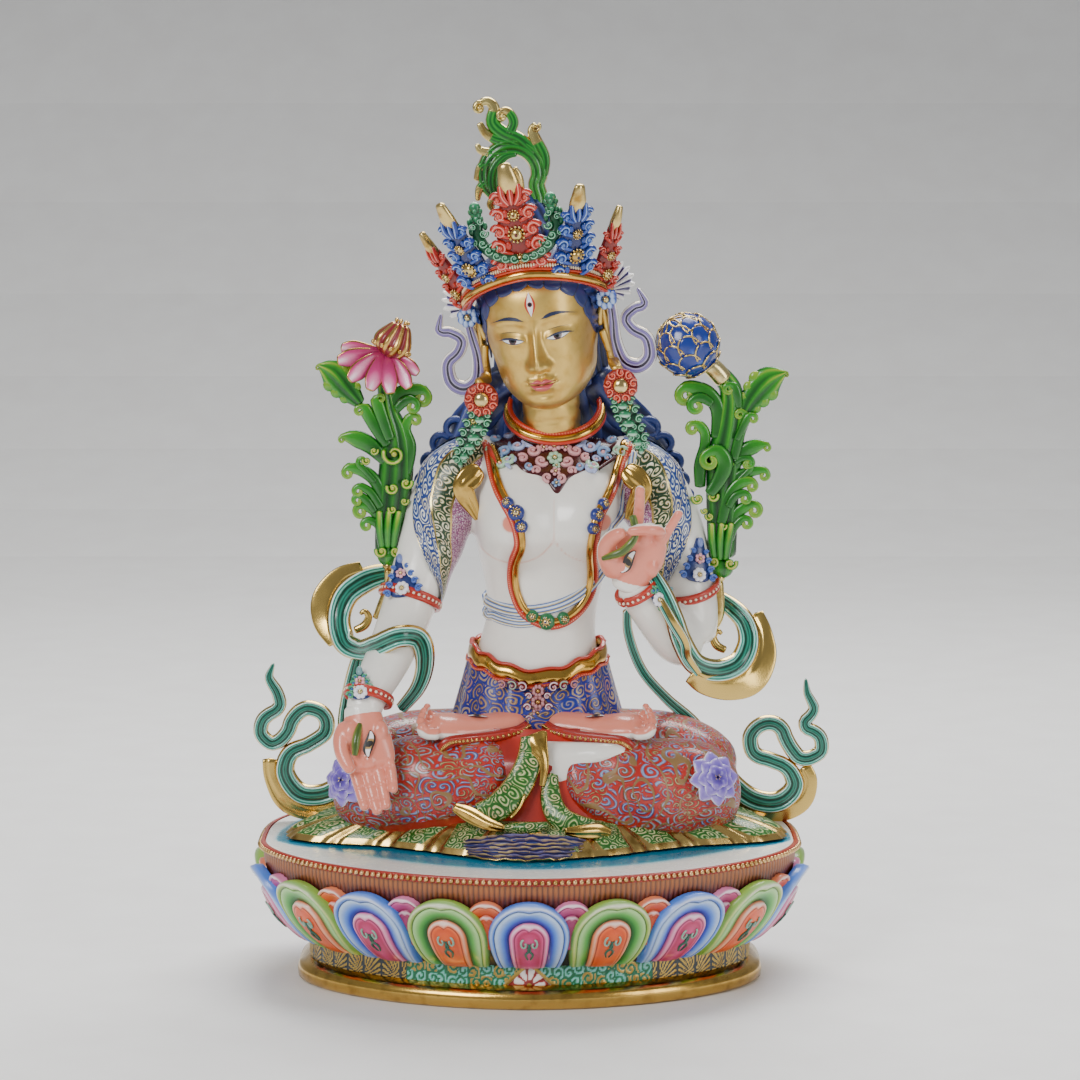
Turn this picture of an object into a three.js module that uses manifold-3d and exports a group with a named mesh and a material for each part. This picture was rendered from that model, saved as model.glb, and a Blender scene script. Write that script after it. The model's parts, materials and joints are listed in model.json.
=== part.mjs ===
// A painted and gilded Tara figure seated on a lotus pedestal, in millimetres, +Z up.
// The origin is the centre of the pedestal's underside, and the figure looks along -Y.
// Right and left are the figure's own, so its right hand, the lowered one, is on the -X side.
import * as THREE from "three";
import { mergeVertices } from "three/addons/utils/BufferGeometryUtils.js";
import Module from "manifold-3d";

const wasm = await Module();
wasm.setup();

// Driving dimensions of the pedestal
const PEDESTAL_HEIGHT = 81;
const RIM_WIDTH = 314;
const RIM_DEPTH = 220;
const FOOT_WIDTH = 268;
const FOOT_DEPTH = 164;
const FOOT_BAND_HEIGHT = 11;
const NECK_HEIGHT = 13;
const NECK_INSET = 7;
const RIM_BAND_HEIGHT = 4;
const RIM_OVERHANG = 4;
const PETAL_COUNT = 18;
const COLUMNS_PER_PETAL = 4;
const PETAL_SHOULDER = 0.78; // share of a petal's half width that is full before the seam
const SEAM_DEPTH = 0.8; // share of a petal's stand that the seam falls back by
const PETAL_THICKNESS = 4;
const PETAL_BULGE = 5;
const PETAL_FLARE = 6; // how far a petal's tip leans out past the seam beside it
const PETAL_TIP = 0.84; // share of the way from the neck to the rim that a petal's tip reaches
const PETAL_DROP = 0.34; // how much lower that share is at the seams
const FRONT_EXPONENT = 1.8;
const BACK_EXPONENT = 3.6;

// Driving dimensions of the figure, whose forms are shares of its own height
const FIGURE_HEIGHT = 424;
const GRID_HEIGHT = 424; // the figure is drawn on a grid of this many parts, seat to tip
const GRID = FIGURE_HEIGHT / GRID_HEIGHT;
const SEAT_MARGIN_SIDE = 14; // bare seat left between the hem and the pedestal's rim
const SEAT_MARGIN_BACK = 18;
const SEAT_MARGIN_FRONT = 48;

// Between pieces
const CLEARANCE = 0.3;
const GAP = CLEARANCE / GRID; // the same clearance, in grid parts

const UP = new THREE.Vector3(0, 0, 1);
const BACK = new THREE.Vector3(0, 1, 0);
const MIDLINE = 4; // grid x that the two knees mirror about
const radians = THREE.MathUtils.degToRad;

// A closed three.js geometry as a solid, with its faces turned outwards
function solid(geometry) {
  const bare = geometry.clone();
  bare.deleteAttribute("normal");
  bare.deleteAttribute("uv");
  const merged = mergeVertices(bare, 1e-3);
  const corners = [];
  const index = merged.index.array;
  for (let i = 0; i < index.length; i += 3) {
    const [a, b, c] = [index[i], index[i + 1], index[i + 2]];
    if (a !== b && b !== c && a !== c) corners.push(a, b, c);
  }
  const build = (order) =>
    new wasm.Manifold(
      new wasm.Mesh({
        numProp: 3,
        vertProperties: merged.attributes.position.array,
        triVerts: new Uint32Array(order),
      }),
    );
  const made = build(corners);
  return made.volume() < 0 ? build(corners.reverse()) : made;
}

function union(solids) {
  return wasm.Manifold.union(solids);
}

// The solids joined, with any closed hollow left between them filled
function filled(solids) {
  return union(union(solids).decompose().filter((shell) => shell.volume() > 0));
}

// The solid's faces as a three.js geometry
function geometryOf(shape) {
  const mesh = shape.getMesh();
  const geometry = new THREE.BufferGeometry();
  geometry.setAttribute("position", new THREE.BufferAttribute(mesh.vertProperties, 3));
  geometry.setIndex(new THREE.BufferAttribute(mesh.triVerts, 1));
  geometry.computeVertexNormals();
  return geometry;
}

// Moves every vertex of a geometry through a function of its old place
function remap(geometry, place) {
  const position = geometry.attributes.position;
  const p = new THREE.Vector3();
  for (let i = 0; i < position.count; i++) {
    p.fromBufferAttribute(position, i);
    const q = place(p);
    position.setXYZ(i, q.x, q.y, q.z);
  }
  return geometry;
}

// A limb along rows of [x, y, z, half width, half depth]. Depth is measured along `depth`,
// as far as the limb's own direction lets it, and width across both.
function limb(rows, { sides = 8, steps = rows.length - 1, depth = BACK, grow = 0 } = {}) {
  const path = new THREE.CatmullRomCurve3(
    rows.map(([x, y, z]) => new THREE.Vector3(x, y, z)), false, "centripetal");
  const girth = new THREE.CatmullRomCurve3(
    rows.map((row) => new THREE.Vector3(row[3], row[4], 0)), false, "catmullrom", 0.3);
  const tube = new THREE.CylinderGeometry(1, 1, 1, sides, steps);
  return solid(remap(tube, (p) => {
    const share = THREE.MathUtils.clamp(p.y + 0.5, 0, 1);
    const along = path.getTangent(share);
    const across = new THREE.Vector3().crossVectors(along, depth).normalize();
    const deep = new THREE.Vector3().crossVectors(across, along).normalize();
    const size = girth.getPoint(share);
    const past = Math.abs(p.y) > 0.4999 ? Math.sign(p.y) * grow : 0;
    return path.getPoint(share)
      .addScaledVector(along, past)
      .addScaledVector(across, p.x * (Math.max(size.x, 0.3) + grow))
      .addScaledVector(deep, p.z * (Math.max(size.y, 0.3) + grow));
  }));
}

function ball(x, y, z, rx, ry, rz, { sides = 10, rows = 6, grow = 0, matrix = null } = {}) {
  const sphere = new THREE.SphereGeometry(1, sides, rows);
  sphere.rotateX(Math.PI / 2);
  sphere.scale(rx + grow, ry + grow, rz + grow);
  if (matrix) sphere.applyMatrix4(matrix);
  sphere.translate(x, y, z);
  return solid(sphere);
}

// The pedestal's plan: a long half ellipse in front and a squarer half behind
function outline(angle, halfWidth, halfDepth) {
  const c = Math.cos(angle);
  const s = Math.sin(angle);
  const power = 2 / (s < 0 ? FRONT_EXPONENT : BACK_EXPONENT);
  return [
    halfWidth * Math.sign(c) * Math.abs(c) ** power,
    halfDepth * Math.sign(s) * Math.abs(s) ** power,
  ];
}

// The angle at each equal share of the rim's length, measured from the front's middle
const OUTLINE_STEPS = 720;
const angleAtShare = (() => {
  const angles = [];
  const lengths = [0];
  let last = null;
  for (let i = 0; i <= OUTLINE_STEPS; i++) {
    const angle = -Math.PI / 2 + (2 * Math.PI * i) / OUTLINE_STEPS;
    const [x, y] = outline(angle, RIM_WIDTH / 2, RIM_DEPTH / 2);
    if (last) lengths.push(lengths[i - 1] + Math.hypot(x - last[0], y - last[1]));
    angles.push(angle);
    last = [x, y];
  }
  const total = lengths[OUTLINE_STEPS];
  return (share) => {
    const wanted = (((share % 1) + 1) % 1) * total;
    let i = 1;
    while (lengths[i] < wanted) i++;
    const part = (wanted - lengths[i - 1]) / (lengths[i] - lengths[i - 1]);
    return angles[i - 1] + part * (angles[i] - angles[i - 1]);
  };
})();

const NECK_TOP = FOOT_BAND_HEIGHT + NECK_HEIGHT;
const RIM_FOOT = PEDESTAL_HEIGHT - RIM_BAND_HEIGHT;

// How far the petals stand out from the pedestal's core at a share of their height and at a
// place across them, where 0 is a petal's middle and 1 the seam to the next petal
function petalProud(rise, across) {
  const swell = Math.sin(Math.PI * rise ** 0.7);
  const stand = PETAL_THICKNESS + PETAL_BULGE * swell + PETAL_FLARE * rise ** 3;
  return stand * (1 - SEAM_DEPTH * across ** 4);
}

// Half width, half depth and height of each course of the pedestal at a place across its petal
function pedestalCourses(across) {
  const foot = [FOOT_WIDTH / 2, FOOT_DEPTH / 2];
  const rim = [RIM_WIDTH / 2, RIM_DEPTH / 2];
  const inset = (pair, by) => [pair[0] - by, pair[1] - by];
  const waist = inset(foot, NECK_INSET);
  const brow = inset(rim, RIM_OVERHANG);
  const tip = PETAL_TIP - PETAL_DROP * across ** 3;
  const petal = (rise) => {
    const share = 1 - (1 - rise * tip) ** 1.8;
    const proud = petalProud(rise, across);
    return [
      THREE.MathUtils.lerp(waist[0], brow[0], share) + proud,
      THREE.MathUtils.lerp(waist[1], brow[1], share) + proud,
      NECK_TOP + (RIM_FOOT - NECK_TOP) * rise * tip,
    ];
  };
  const tipCourse = petal(1);
  return [
    [...foot, 0],
    [...foot, FOOT_BAND_HEIGHT - 3],
    [...inset(foot, NECK_INSET - 2), FOOT_BAND_HEIGHT],
    [...waist, NECK_TOP - 1],
    petal(0.4),
    petal(0.75),
    tipCourse,
    [tipCourse[0] - 0.8 * PETAL_THICKNESS, tipCourse[1] - 0.8 * PETAL_THICKNESS, tipCourse[2] + 0.8],
    [...brow, RIM_FOOT],
    [...rim, RIM_FOOT + 0.5],
    [...rim, PEDESTAL_HEIGHT],
  ];
}

// The pedestal in one piece: a drum whose columns run up the middle, the sides and the seam of
// each petal
function lotusPedestal() {
  const columns = PETAL_COUNT * COLUMNS_PER_PETAL;
  const last = pedestalCourses(0).length - 1;
  const drum = new THREE.CylinderGeometry(1, 1, 1, columns, last);
  return solid(remap(drum, (p) => {
    const place = (Math.atan2(p.z, p.x) / (2 * Math.PI)) * PETAL_COUNT;
    const middle = Math.round(place);
    const column = 2 * Math.abs(place - middle);
    const across = column > 0.9 || column < 0.1 ? Math.round(column) : PETAL_SHOULDER;
    const turn = (middle + Math.sign(place - middle) * 0.5 * across) / PETAL_COUNT;
    const [halfWidth, halfDepth, z] = pedestalCourses(across)[Math.round((p.y + 0.5) * last)];
    const radius = Math.hypot(p.x, p.z);
    const [x, y] = outline(angleAtShare(turn), halfWidth * radius, halfDepth * radius);
    return new THREE.Vector3(x, y, z);
  }));
}

// Half width, back and front of the cloth spread on the seat, which follow the pedestal's top
const HEM_WIDTH = (RIM_WIDTH / 2 - SEAT_MARGIN_SIDE) / GRID;
const HEM_BACK = (RIM_DEPTH / 2 - SEAT_MARGIN_BACK) / GRID;
const HEM_FRONT = (RIM_DEPTH / 2 - SEAT_MARGIN_FRONT) / GRID;
const HEM_TONGUE = 36; // how far the folds in front reach past the hem beside them

// The cloth under the legs: a low wavy-edged cushion with a tongue of folds in front
function hem(grow) {
  const rows = [[1, 0.4], [1, 3], [0.86, 10], [0.5, 26]];
  const sides = 30;
  const drum = new THREE.CylinderGeometry(1, 1, 1, sides, rows.length - 1);
  return solid(remap(drum, (p) => {
    const [share, z] = rows[Math.round((p.y + 0.5) * (rows.length - 1))];
    const radius = Math.hypot(p.x, p.z) * share;
    const angle = Math.atan2(p.z, p.x);
    const wave = 1 + 0.025 * Math.cos(angle * 10) * share;
    const c = Math.cos(angle);
    const s = Math.sin(angle);
    const tongue = s < 0 ? Math.exp(-((c / 0.42) ** 2)) : 0;
    const x = HEM_WIDTH * Math.sign(c) * Math.abs(c) ** 0.85 * radius * wave;
    const front = HEM_FRONT - HEM_TONGUE * (1 - tongue);
    const y = s < 0 ? -front * Math.abs(s) ** 0.8 : HEM_BACK * s ** 0.7;
    return new THREE.Vector3(
      MIDLINE + x * (1 + grow / HEM_WIDTH),
      y * radius * wave + (s < 0 ? -grow : grow) * radius,
      z + (p.y > -0.5 ? grow : 0));
  }));
}

// The head's own frame: its place, nod, turn and tilt
const headMatrix = new THREE.Matrix4().compose(
  new THREE.Vector3(7, 19, 295),
  new THREE.Quaternion().setFromEuler(new THREE.Euler(radians(8), radians(-9), radians(-7), "YXZ")),
  new THREE.Vector3(1, 1, 1));

function inHead(x, y, z) {
  return new THREE.Vector3(x, y, z).applyMatrix4(headMatrix);
}

function headBall(x, y, z, rx, ry, rz, options = {}) {
  const turn = new THREE.Matrix4().extractRotation(headMatrix);
  return ball(...inHead(x, y, z), rx, ry, rz, { ...options, matrix: turn });
}

// Rows of a limb given in the head's frame, carried to the figure's
function headRows(rows) {
  return rows.map(([x, y, z, w, d]) => [...inHead(x, y, z), w, d]);
}

// Middle of each earring's rosette, which hangs in front of the ear's lobe
const EARRING_PLACE = { "-1": [-27.5, 8, 254], "1": [52, 8, 262] };

function head(grow) {
  const options = { grow, sides: 12, rows: 6 };
  const ear = (side) => {
    const [x, y, z] = EARRING_PLACE[side];
    return limb([
      ...headRows([
        [side * 33, 5, 9, 3, 4], [side * 36, 6, 2, 4, 7], [side * 36, 4, -12, 3.5, 6],
      ]),
      [x, y + 5, z + 4, 3.5, 4.5],
    ], { sides: 5, grow });
  };
  return [
    headBall(0, 4, 12, 36, 40, 41, options), // skull and the hair on it
    headBall(0, -3, -14, 30.5, 33, 28, options), // cheeks and jaw
    headBall(0, -35, -9, 4.5, 7, 8, { grow, sides: 6, rows: 4 }), // nose
    headBall(0, -23, -35, 12, 12, 8.5, { grow, sides: 8, rows: 4 }), // chin
    headBall(0, 12, 54, 17, 17, 20, { grow, sides: 8, rows: 5 }), // knot of hair
    limb([[13, 38, 220, 20, 17], [13, 34, 238, 17, 15.5], [12, 28, 262, 16.5, 16]], { sides: 10, grow }),
    ear(-1),
    ear(1),
  ];
}

// The dark hair down the back, ending in wavy locks behind each shoulder
function hairBehind(grow) {
  const lock = (side) => limb([
    [MIDLINE + 8 + side * 24, 50, 262, 16, 10], [MIDLINE + 9 + side * 48, 54, 234, 12, 8],
    [MIDLINE + 9 + side * 66, 55, 214, 9, 6], [MIDLINE + 9 + side * 79, 54, 197, 4, 4],
  ], { sides: 6, grow });
  return [
    limb([[10, 42, 312, 34, 22], [12, 50, 275, 32, 18], [13, 54, 240, 36, 14], [13, 56, 205, 40, 11]],
      { sides: 8, grow }),
    lock(-1),
    lock(1),
  ];
}

function torso(grow) {
  return [
    limb([
      [4, 38, 40, 58, 44], [4, 38, 66, 48, 40], [4.5, 37, 90, 40, 31], [5, 36, 106, 37, 28],
      [7, 35, 127, 34, 25], [8, 33, 148, 37, 26], [8.5, 32, 175, 41, 28], [10, 34, 202, 43, 27],
      [11, 36, 214, 38, 22], [12, 38, 224, 27, 17], [12.5, 38, 232, 20, 15],
    ], { sides: 12, grow }),
    ball(-8, 13, 183, 21, 17, 21, { sides: 8, grow }),
    ball(34, 13, 183, 21, 17, 21, { sides: 8, grow }),
  ];
}

// A hand: a palm along `fingers`, facing `palm`, and five fingers of given spread and bend
function hand(wrist, fingers, palm, side, spreads, bends, grow) {
  const reach = fingers.clone().normalize();
  const face = palm.clone().addScaledVector(reach, -palm.dot(reach)).normalize();
  const width = new THREE.Vector3().crossVectors(face, reach).multiplyScalar(side);
  const at = (a, b, c) => wrist.clone()
    .addScaledVector(width, a).addScaledVector(reach, b).addScaledVector(face, c);
  const row = (v, w, d) => [v.x, v.y, v.z, w, d];
  const parts = [limb([
    row(at(0, -3, 0), 10, 8), row(at(0, 8, 0), 12, 8), row(at(0, 22, 0), 14.5, 7.5),
    row(at(0, 34, 0), 14.5, 6), row(at(0, 40, 0), 13, 5),
  ], { sides: 6, depth: face, grow })];
  const lengths = [25, 28, 26, 20];
  spreads.forEach((spread, i) => {
    const root = -10.5 + 7 * i;
    const [first, second] = bends[i];
    const length = lengths[i];
    const points = [at(root, 36, 0)];
    const lean = radians(spread);
    let bend = 0;
    [0.4, 0.32, 0.28].forEach((share, joint) => {
      bend += joint === 0 ? radians(first) : radians(second);
      const last = points[points.length - 1];
      points.push(last.clone()
        .addScaledVector(width, Math.sin(lean) * Math.cos(bend) * length * share)
        .addScaledVector(reach, Math.cos(lean) * Math.cos(bend) * length * share)
        .addScaledVector(face, Math.sin(bend) * length * share));
    });
    parts.push(limb(points.map((p, n) => row(p, 3.9 - 0.45 * n, 3.9 - 0.45 * n)),
      { sides: 4, depth: face, grow }));
  });
  parts.push(limb([
    row(at(-9, 10, 1), 5, 5), row(at(-13, 20, 4), 5, 5), row(at(-11, 31, 8), 4, 4),
    row(at(-6, 38, 10), 2.6, 2.6),
  ], { sides: 5, depth: face, grow }));
  return parts;
}

const RIGHT_WRIST = new THREE.Vector3(-90, -24, 89);
const LEFT_WRIST = new THREE.Vector3(57, -14, 151);

function arms(grow) {
  const right = limb([
    [-18, 38, 222, 12, 14], [-36, 38, 212, 19, 18], [-47, 36, 197, 22, 20], [-57, 33, 174, 20.5, 19],
    [-65, 27, 150, 17.5, 17], [-71, 18, 130, 15.5, 15.5], [-79, 0, 110, 14, 14],
    [RIGHT_WRIST.x, RIGHT_WRIST.y, RIGHT_WRIST.z, 11, 10],
  ], { sides: 8, grow });
  const upper = limb([
    [44, 38, 222, 12, 14], [61, 38, 211, 19, 18], [73, 36, 195, 21.5, 20], [83, 33, 172, 20, 19],
    [90, 28, 147, 17.5, 17], [93, 22, 127, 16.5, 16], [92, 18, 113, 14, 14],
  ], { sides: 8, grow });
  const fore = limb([
    [96, 22, 110, 11, 11], [86, 13, 114, 16, 15], [75, 2, 128, 14, 13.5],
    [LEFT_WRIST.x, LEFT_WRIST.y, LEFT_WRIST.z, 11, 10],
  ], { sides: 8, depth: UP, grow });
  return [
    right, upper, fore,
    ...hand(RIGHT_WRIST, new THREE.Vector3(0, -0.34, -1), new THREE.Vector3(0, -1, 0), 1,
      [-6, -2, 3, 8], [[4, 6], [2, 6], [4, 8], [8, 10]], grow),
    ...hand(LEFT_WRIST, new THREE.Vector3(0.1, -0.22, 1), new THREE.Vector3(0.12, -1, 0), -1,
      [-8, 2, 14, 30], [[8, 6], [10, 30], [55, 55], [14, 12]], grow),
  ];
}

// One folded leg, seen on the +X side for `side` 1: thigh, shin and the foot that it carries
function leg(side, grow) {
  const x = (share) => MIDLINE + side * share;
  const foot = [
    limb([[x(10), 4, 66, 7, 11], [x(28), -3, 67, 7.5, 12.5], [x(54), -9, 66, 7, 13]],
      { sides: 6, grow }),
  ];
  for (let toe = 0; toe < 5; toe++) {
    foot.push(ball(x(57 - toe * 0.8), -19 + toe * 4.8, 67 + toe * 0.8, 7, 3, 4.5,
      { sides: 4, rows: 3, grow }));
  }
  return [
    limb([[x(0), 44, 46, 30, 34], [x(40), 38, 43, 27, 34], [x(74), 30, 43, 26, 32],
      [x(96), 20, 37, 24, 28], [x(107), 12, 32, 17, 20]], { sides: 8, grow }),
    limb([[x(113), 12, 28, 12, 14], [x(102), 6, 29, 23, 24], [x(82), -4, 30, 28, 24],
      [x(56), -10, 29, 26.5, 23], [x(32), -12, 27, 23, 20], [x(14), -12, 25, 17, 16]],
      { sides: 10, grow }),
    ...foot,
  ];
}

// The bare ankle that crosses in front, from the right leg's cuff up to the foot at the left
function ankle(grow) {
  return limb([
    [-14, -12, 24, 14, 12], [8, -16, 36, 15, 12], [28, -14, 50, 13, 11], [46, -8, 60, 10, 10],
  ], { sides: 8, grow });
}

let grownFigure = null;

function figure(grow = 0) {
  if (grow && grownFigure) return grownFigure;
  const made = filled([
    hem(grow), ...torso(grow), ...head(grow), ...hairBehind(grow), ...arms(grow),
    ...leg(-1, grow), ...leg(1, grow), ankle(grow),
  ]);
  if (grow) grownFigure = made;
  return made;
}

// A crown leaf in the head's frame: an upright pointed plaque with a waisted tip
function crownLeaf(azimuth, height, width, lean, low) {
  const turn = radians(azimuth);
  const reach = 43;
  const rows = [[0, 0.75], [0.3, 1], [0.6, 0.8], [0.74, 0.42], [0.9, 0.36], [1, 0.12]];
  return limb(headRows(rows.map(([share, girth]) => {
    const out = reach + share * height * Math.sin(radians(lean));
    return [out * Math.sin(turn), 4 - (out + 1) * Math.cos(turn),
      low + share * height * Math.cos(radians(lean)), (width / 2) * girth, 5 * Math.max(girth, 0.6)];
  })), { sides: 4, depth: inHead(Math.sin(turn), -Math.cos(turn), 0).sub(inHead(0, 0, 0)) });
}

// Height of the crown's band in the head's frame: it rises from the temples to the brow
function bandHeight(azimuth) {
  return 43 - 21 * Math.min(Math.abs(azimuth) / 75, 1.15) ** 1.7;
}

// The crown: a diadem that rises over the brow, five leaves with a scroll on each side of the
// middle one, and a fan, a flower and a ribbon at each ear
function crown() {
  const band = [];
  for (let azimuth = -84; azimuth <= 84; azimuth += 14) {
    const turn = radians(azimuth);
    band.push([42 * Math.sin(turn), 4 - 45 * Math.cos(turn), bandHeight(azimuth)]);
  }
  const ring = new THREE.CatmullRomCurve3(band.map(([x, y, z]) => inHead(x, y, z)));
  const strap = new THREE.CylinderGeometry(1, 1, 1, 4, band.length - 1);
  const centre = inHead(0, 4, 20);
  const parts = [solid(remap(strap, (p) => {
    const share = THREE.MathUtils.clamp(p.y + 0.5, 0, 1);
    const spot = ring.getPoint(share);
    const out = spot.clone().sub(centre).projectOnPlane(UP).normalize();
    return spot.addScaledVector(UP, p.x * 7).addScaledVector(out, p.z * 5);
  }))];
  parts.push(crownLeaf(0, 54, 27, 2, 44));
  for (const side of [-1, 1]) {
    parts.push(limb(headRows([
      [side * 4, -43, 50, 4, 4], [side * 15, -42, 52, 4.5, 4], [side * 22, -39, 62, 6, 4],
      [side * 21, -38, 74, 4, 3], [side * 22, -38, 82, 3, 3],
    ]), { sides: 4 }));
    parts.push(crownLeaf(side * 38, 53, 23, 21, 35));
    parts.push(crownLeaf(side * 68, 49, 15, 21, 22));
    parts.push(headBall(side * 40, -5, 13, 6, 6, 6.5, { sides: 6, rows: 4 }));
    parts.push(limb(headRows([
      [side * 41, -2, 14, 3, 3], [side * 45, 4, 21, 8, 2.5], [side * 47, 10, 27, 9, 2],
    ]), { sides: 4 }));
    parts.push(earRibbon(side));
  }
  return union(parts).subtract(figure(GAP));
}

// The ribbon that curls out beside each ear, in the head's frame
function earRibbon(side) {
  const rows = [
    [42, 14, -3, 3, 3], [41, -2, 3, 2.6, 3], [40, -16, 5, 3, 3], [43, -28, 6, 3.4, 3],
    [51, -32, 6, 3.4, 3], [58, -27, 6, 3.4, 3], [58, -16, 6, 3.2, 3], [51, -10, 6, 2.8, 3],
    [48, -3, 6, 2.6, 3], [54, 2, 6, 2.6, 3], [60, 4, 6, 2, 2.5], [57, 14, 6, 1.4, 2],
  ];
  return limb(headRows(rows.map(([x, z, y, w, d]) => [side * x, y, z, w, d])), { sides: 4 });
}

// The finial that rises from the hair knot: a leaf curled into a ring, with a crest and a tip
const FINIAL = { x: -10, y: 17, z: 382, radius: 16, width: 5, depth: 5 };

function hairFinial() {
  const { x, y, z, radius, width, depth } = FINIAL;
  const ring = [[x + 15, y, z - 26, 5, depth]];
  for (let turn = -30; turn <= 240; turn += 30) {
    const angle = radians(turn);
    const girth = width * (1 - 0.1 * Math.abs(turn / 90 - 1));
    ring.push([x + radius * Math.cos(angle), y, z + radius * Math.sin(angle), girth, depth]);
  }
  const crest = limb([
    [x + 8, y, z + 15, 5, depth], [x - 3, y, z + 21, 6, depth], [x - 11, y, z + 31, 6, depth],
    [x - 14, y, z + 40, 3.5, 4], [x - 18, y, z + 41, 2.5, 3],
  ], { sides: 4 });
  const tip = limb([
    [x + 16, y, z, 4, depth], [x + 17, y, z + 13, 4, depth], [x + 11, y, z + 26, 2.5, 3.5],
  ], { sides: 4 });
  const barbs = [150, 185, 225].map((turn) => {
    const [c, s] = [Math.cos(radians(turn)), Math.sin(radians(turn))];
    return limb([[x + 13 * c, y, z + 13 * s, 3, 4], [x + 21 * c, y, z + 21 * s, 3, 3]], { sides: 4 });
  });
  return union([limb(ring, { sides: 4 }), crest, tip, ...barbs]).subtract(figure(GAP));
}

// An earring: a rosette at the lobe and a leafy drop that lies towards the shoulder
function earring(side) {
  const [x, y, z] = EARRING_PLACE[side];
  const disc = new THREE.CylinderGeometry(9.5, 9.5, 6, 10);
  disc.translate(x, y, z);
  const drop = limb([
    [x + side * 1, y, z - 7, 8, 3.5], [x + side * 4, y + 3, z - 16, 8.5, 4],
    [x + side * 9, y + 7, z - 27, 6.5, 4], [x + side * 14, y + 10, z - 37, 2.5, 3],
  ], { sides: 6 });
  return keepLargest(union([solid(disc), drop]).subtract(figure(GAP)));
}

// Cuts can leave crumbs, so only the main body is kept
function keepLargest(shape) {
  return shape.decompose().reduce((a, b) => (b.volume() > a.volume() ? b : a));
}

// A scarf loop: it leaves the shoulder's back, swings out beside the elbow and goes round the
// forearm
function scarfLoop(side, grow = 0) {
  const paths = {
    "-1": [
      [-62, 50, 150, 3, 3], [-87, 44, 147, 6, 3], [-103, 38, 144, 8, 3.5], [-115, 32, 134, 9.5, 3.5],
      [-118, 27, 120, 9, 3.5], [-110, 20, 110, 8, 3.5], [-98, 8, 110, 5, 3.5], [-88, -8, 115, 5, 3.5],
      [-74, -14, 121, 5, 3.5], [-64, -6, 118, 5, 3.5], [-62, 2, 104, 4.5, 3.5], [-66, 8, 88, 4, 3.5],
      [-76, 10, 74, 3.5, 3],
    ],
    "1": [
      [64, -14, 166, 3, 2.5], [75, -18, 148, 4.5, 3], [82, -16, 132, 5.5, 3.5], [88, -10, 117, 6, 3.5],
      [96, 0, 102, 7, 3.5], [110, 10, 95, 9, 3.5], [124, 18, 98, 10, 3.5], [131, 24, 110, 9, 3.5],
      [129, 30, 122, 7, 3.5], [120, 38, 131, 5.5, 3.5], [107, 46, 136, 4, 3], [92, 50, 134, 3, 3],
    ],
  };
  return limb(paths[side], { sides: 5, grow });
}

// A scarf end: it falls behind the knee, swings out over the seat and rises in a curling flame
function scarfCurl(side) {
  const paths = {
    "-1": [
      [-97, 10, 112, 3, 3], [-102, 22, 92, 4, 3], [-107, 40, 66, 4.5, 3.5], [-108, 50, 42, 5.5, 4],
      [-117, 46, 18, 12.5, 7], [-135, 50, 17.5, 10.5, 5], [-146, 50, 28, 8, 4],
      [-143, 50, 42, 5.5, 4], [-130, 50, 47, 4.5, 4], [-119, 50, 54, 4.5, 4], [-121, 50, 64, 4.5, 4],
      [-131, 50, 68, 4.5, 4], [-139, 50, 62, 4.5, 4], [-143, 50, 53, 4.5, 4], [-151, 50, 47, 4.5, 4],
      [-159, 50, 53, 4.5, 4], [-157, 50, 63, 4.5, 4], [-147, 50, 69, 4, 4], [-149, 50, 79, 3.6, 3.5],
      [-153, 50, 85, 3, 3], [-150, 50, 95, 1, 2],
    ],
    "1": [
      [56, 2, 134, 2.5, 3], [57, 8, 118, 2.5, 3], [65, 17, 96, 2.5, 3], [79, 28, 78, 3, 3],
      [95, 38, 62, 3.5, 3], [109, 46, 42, 5, 3.5], [124, 50, 20, 8, 4], [141, 50, 12, 8, 4],
      [155, 50, 17, 7.5, 4], [157, 50, 28, 5, 4], [149, 50, 35, 4.5, 4], [136, 50, 38, 4.5, 4],
      [130, 50, 47, 4.5, 4], [135, 50, 58, 4.5, 4], [147, 50, 57, 4.5, 4], [153, 50, 46, 4.5, 4],
      [163, 50, 37, 4.5, 4], [173, 50, 44, 4.5, 4], [168, 50, 54, 4.5, 4], [160, 50, 59, 4, 3.5],
      [168, 50, 67, 3.4, 3], [163, 50, 77, 2.4, 2.5], [162, 50, 86, 1, 2],
    ],
  };
  return keepLargest(limb(paths[side], { sides: 4 })
    .subtract(figure(GAP)).subtract(scarfLoop(side, GAP)));
}

// Knob of each spray's stem, and the depth at which the spray stands
const SPRAY_KNOB = { "-1": [-82, 155], "1": [110, 148] };
const SPRAY_DEPTH = 30;
const FLOWER_PETALS = 8;

// The leaves of a spray: each row is [outwards from the knob, up from it, half width]
const SPRAY_LEAVES = [
  [[3, 17, 3], [5, 34, 3.5], [12, 42, 6], [19, 38, 7]],
  [[0, 34, 3], [4, 54, 4], [12, 60, 6], [18, 56, 5]],
  [[4, 54, 3], [11, 63, 4], [19, 65, 5.5], [27, 62, 3]],
  [[-8, 52, 2.5], [0, 65, 2.5], [-1, 74, 2.5], [-7, 73, 2.5]],
  [[-12, 55, 2.5], [-12, 75, 2.5], [-9, 86, 2.5], [-15, 90, 2.5], [-19, 86, 2.5]],
  [[4, 65, 2.5], [11, 75, 4.5], [18, 79, 4.5], [26, 79, 2]],
  [[5, 70, 3], [10, 87, 3], [14, 96, 5], [18, 105, 6], [29, 116, 7], [40, 121, 2.5]],
  [[-3, 81, 4], [-2, 99, 4], [-9, 109, 4], [-20, 111, 5], [-28, 109, 4.5]],
];

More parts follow.
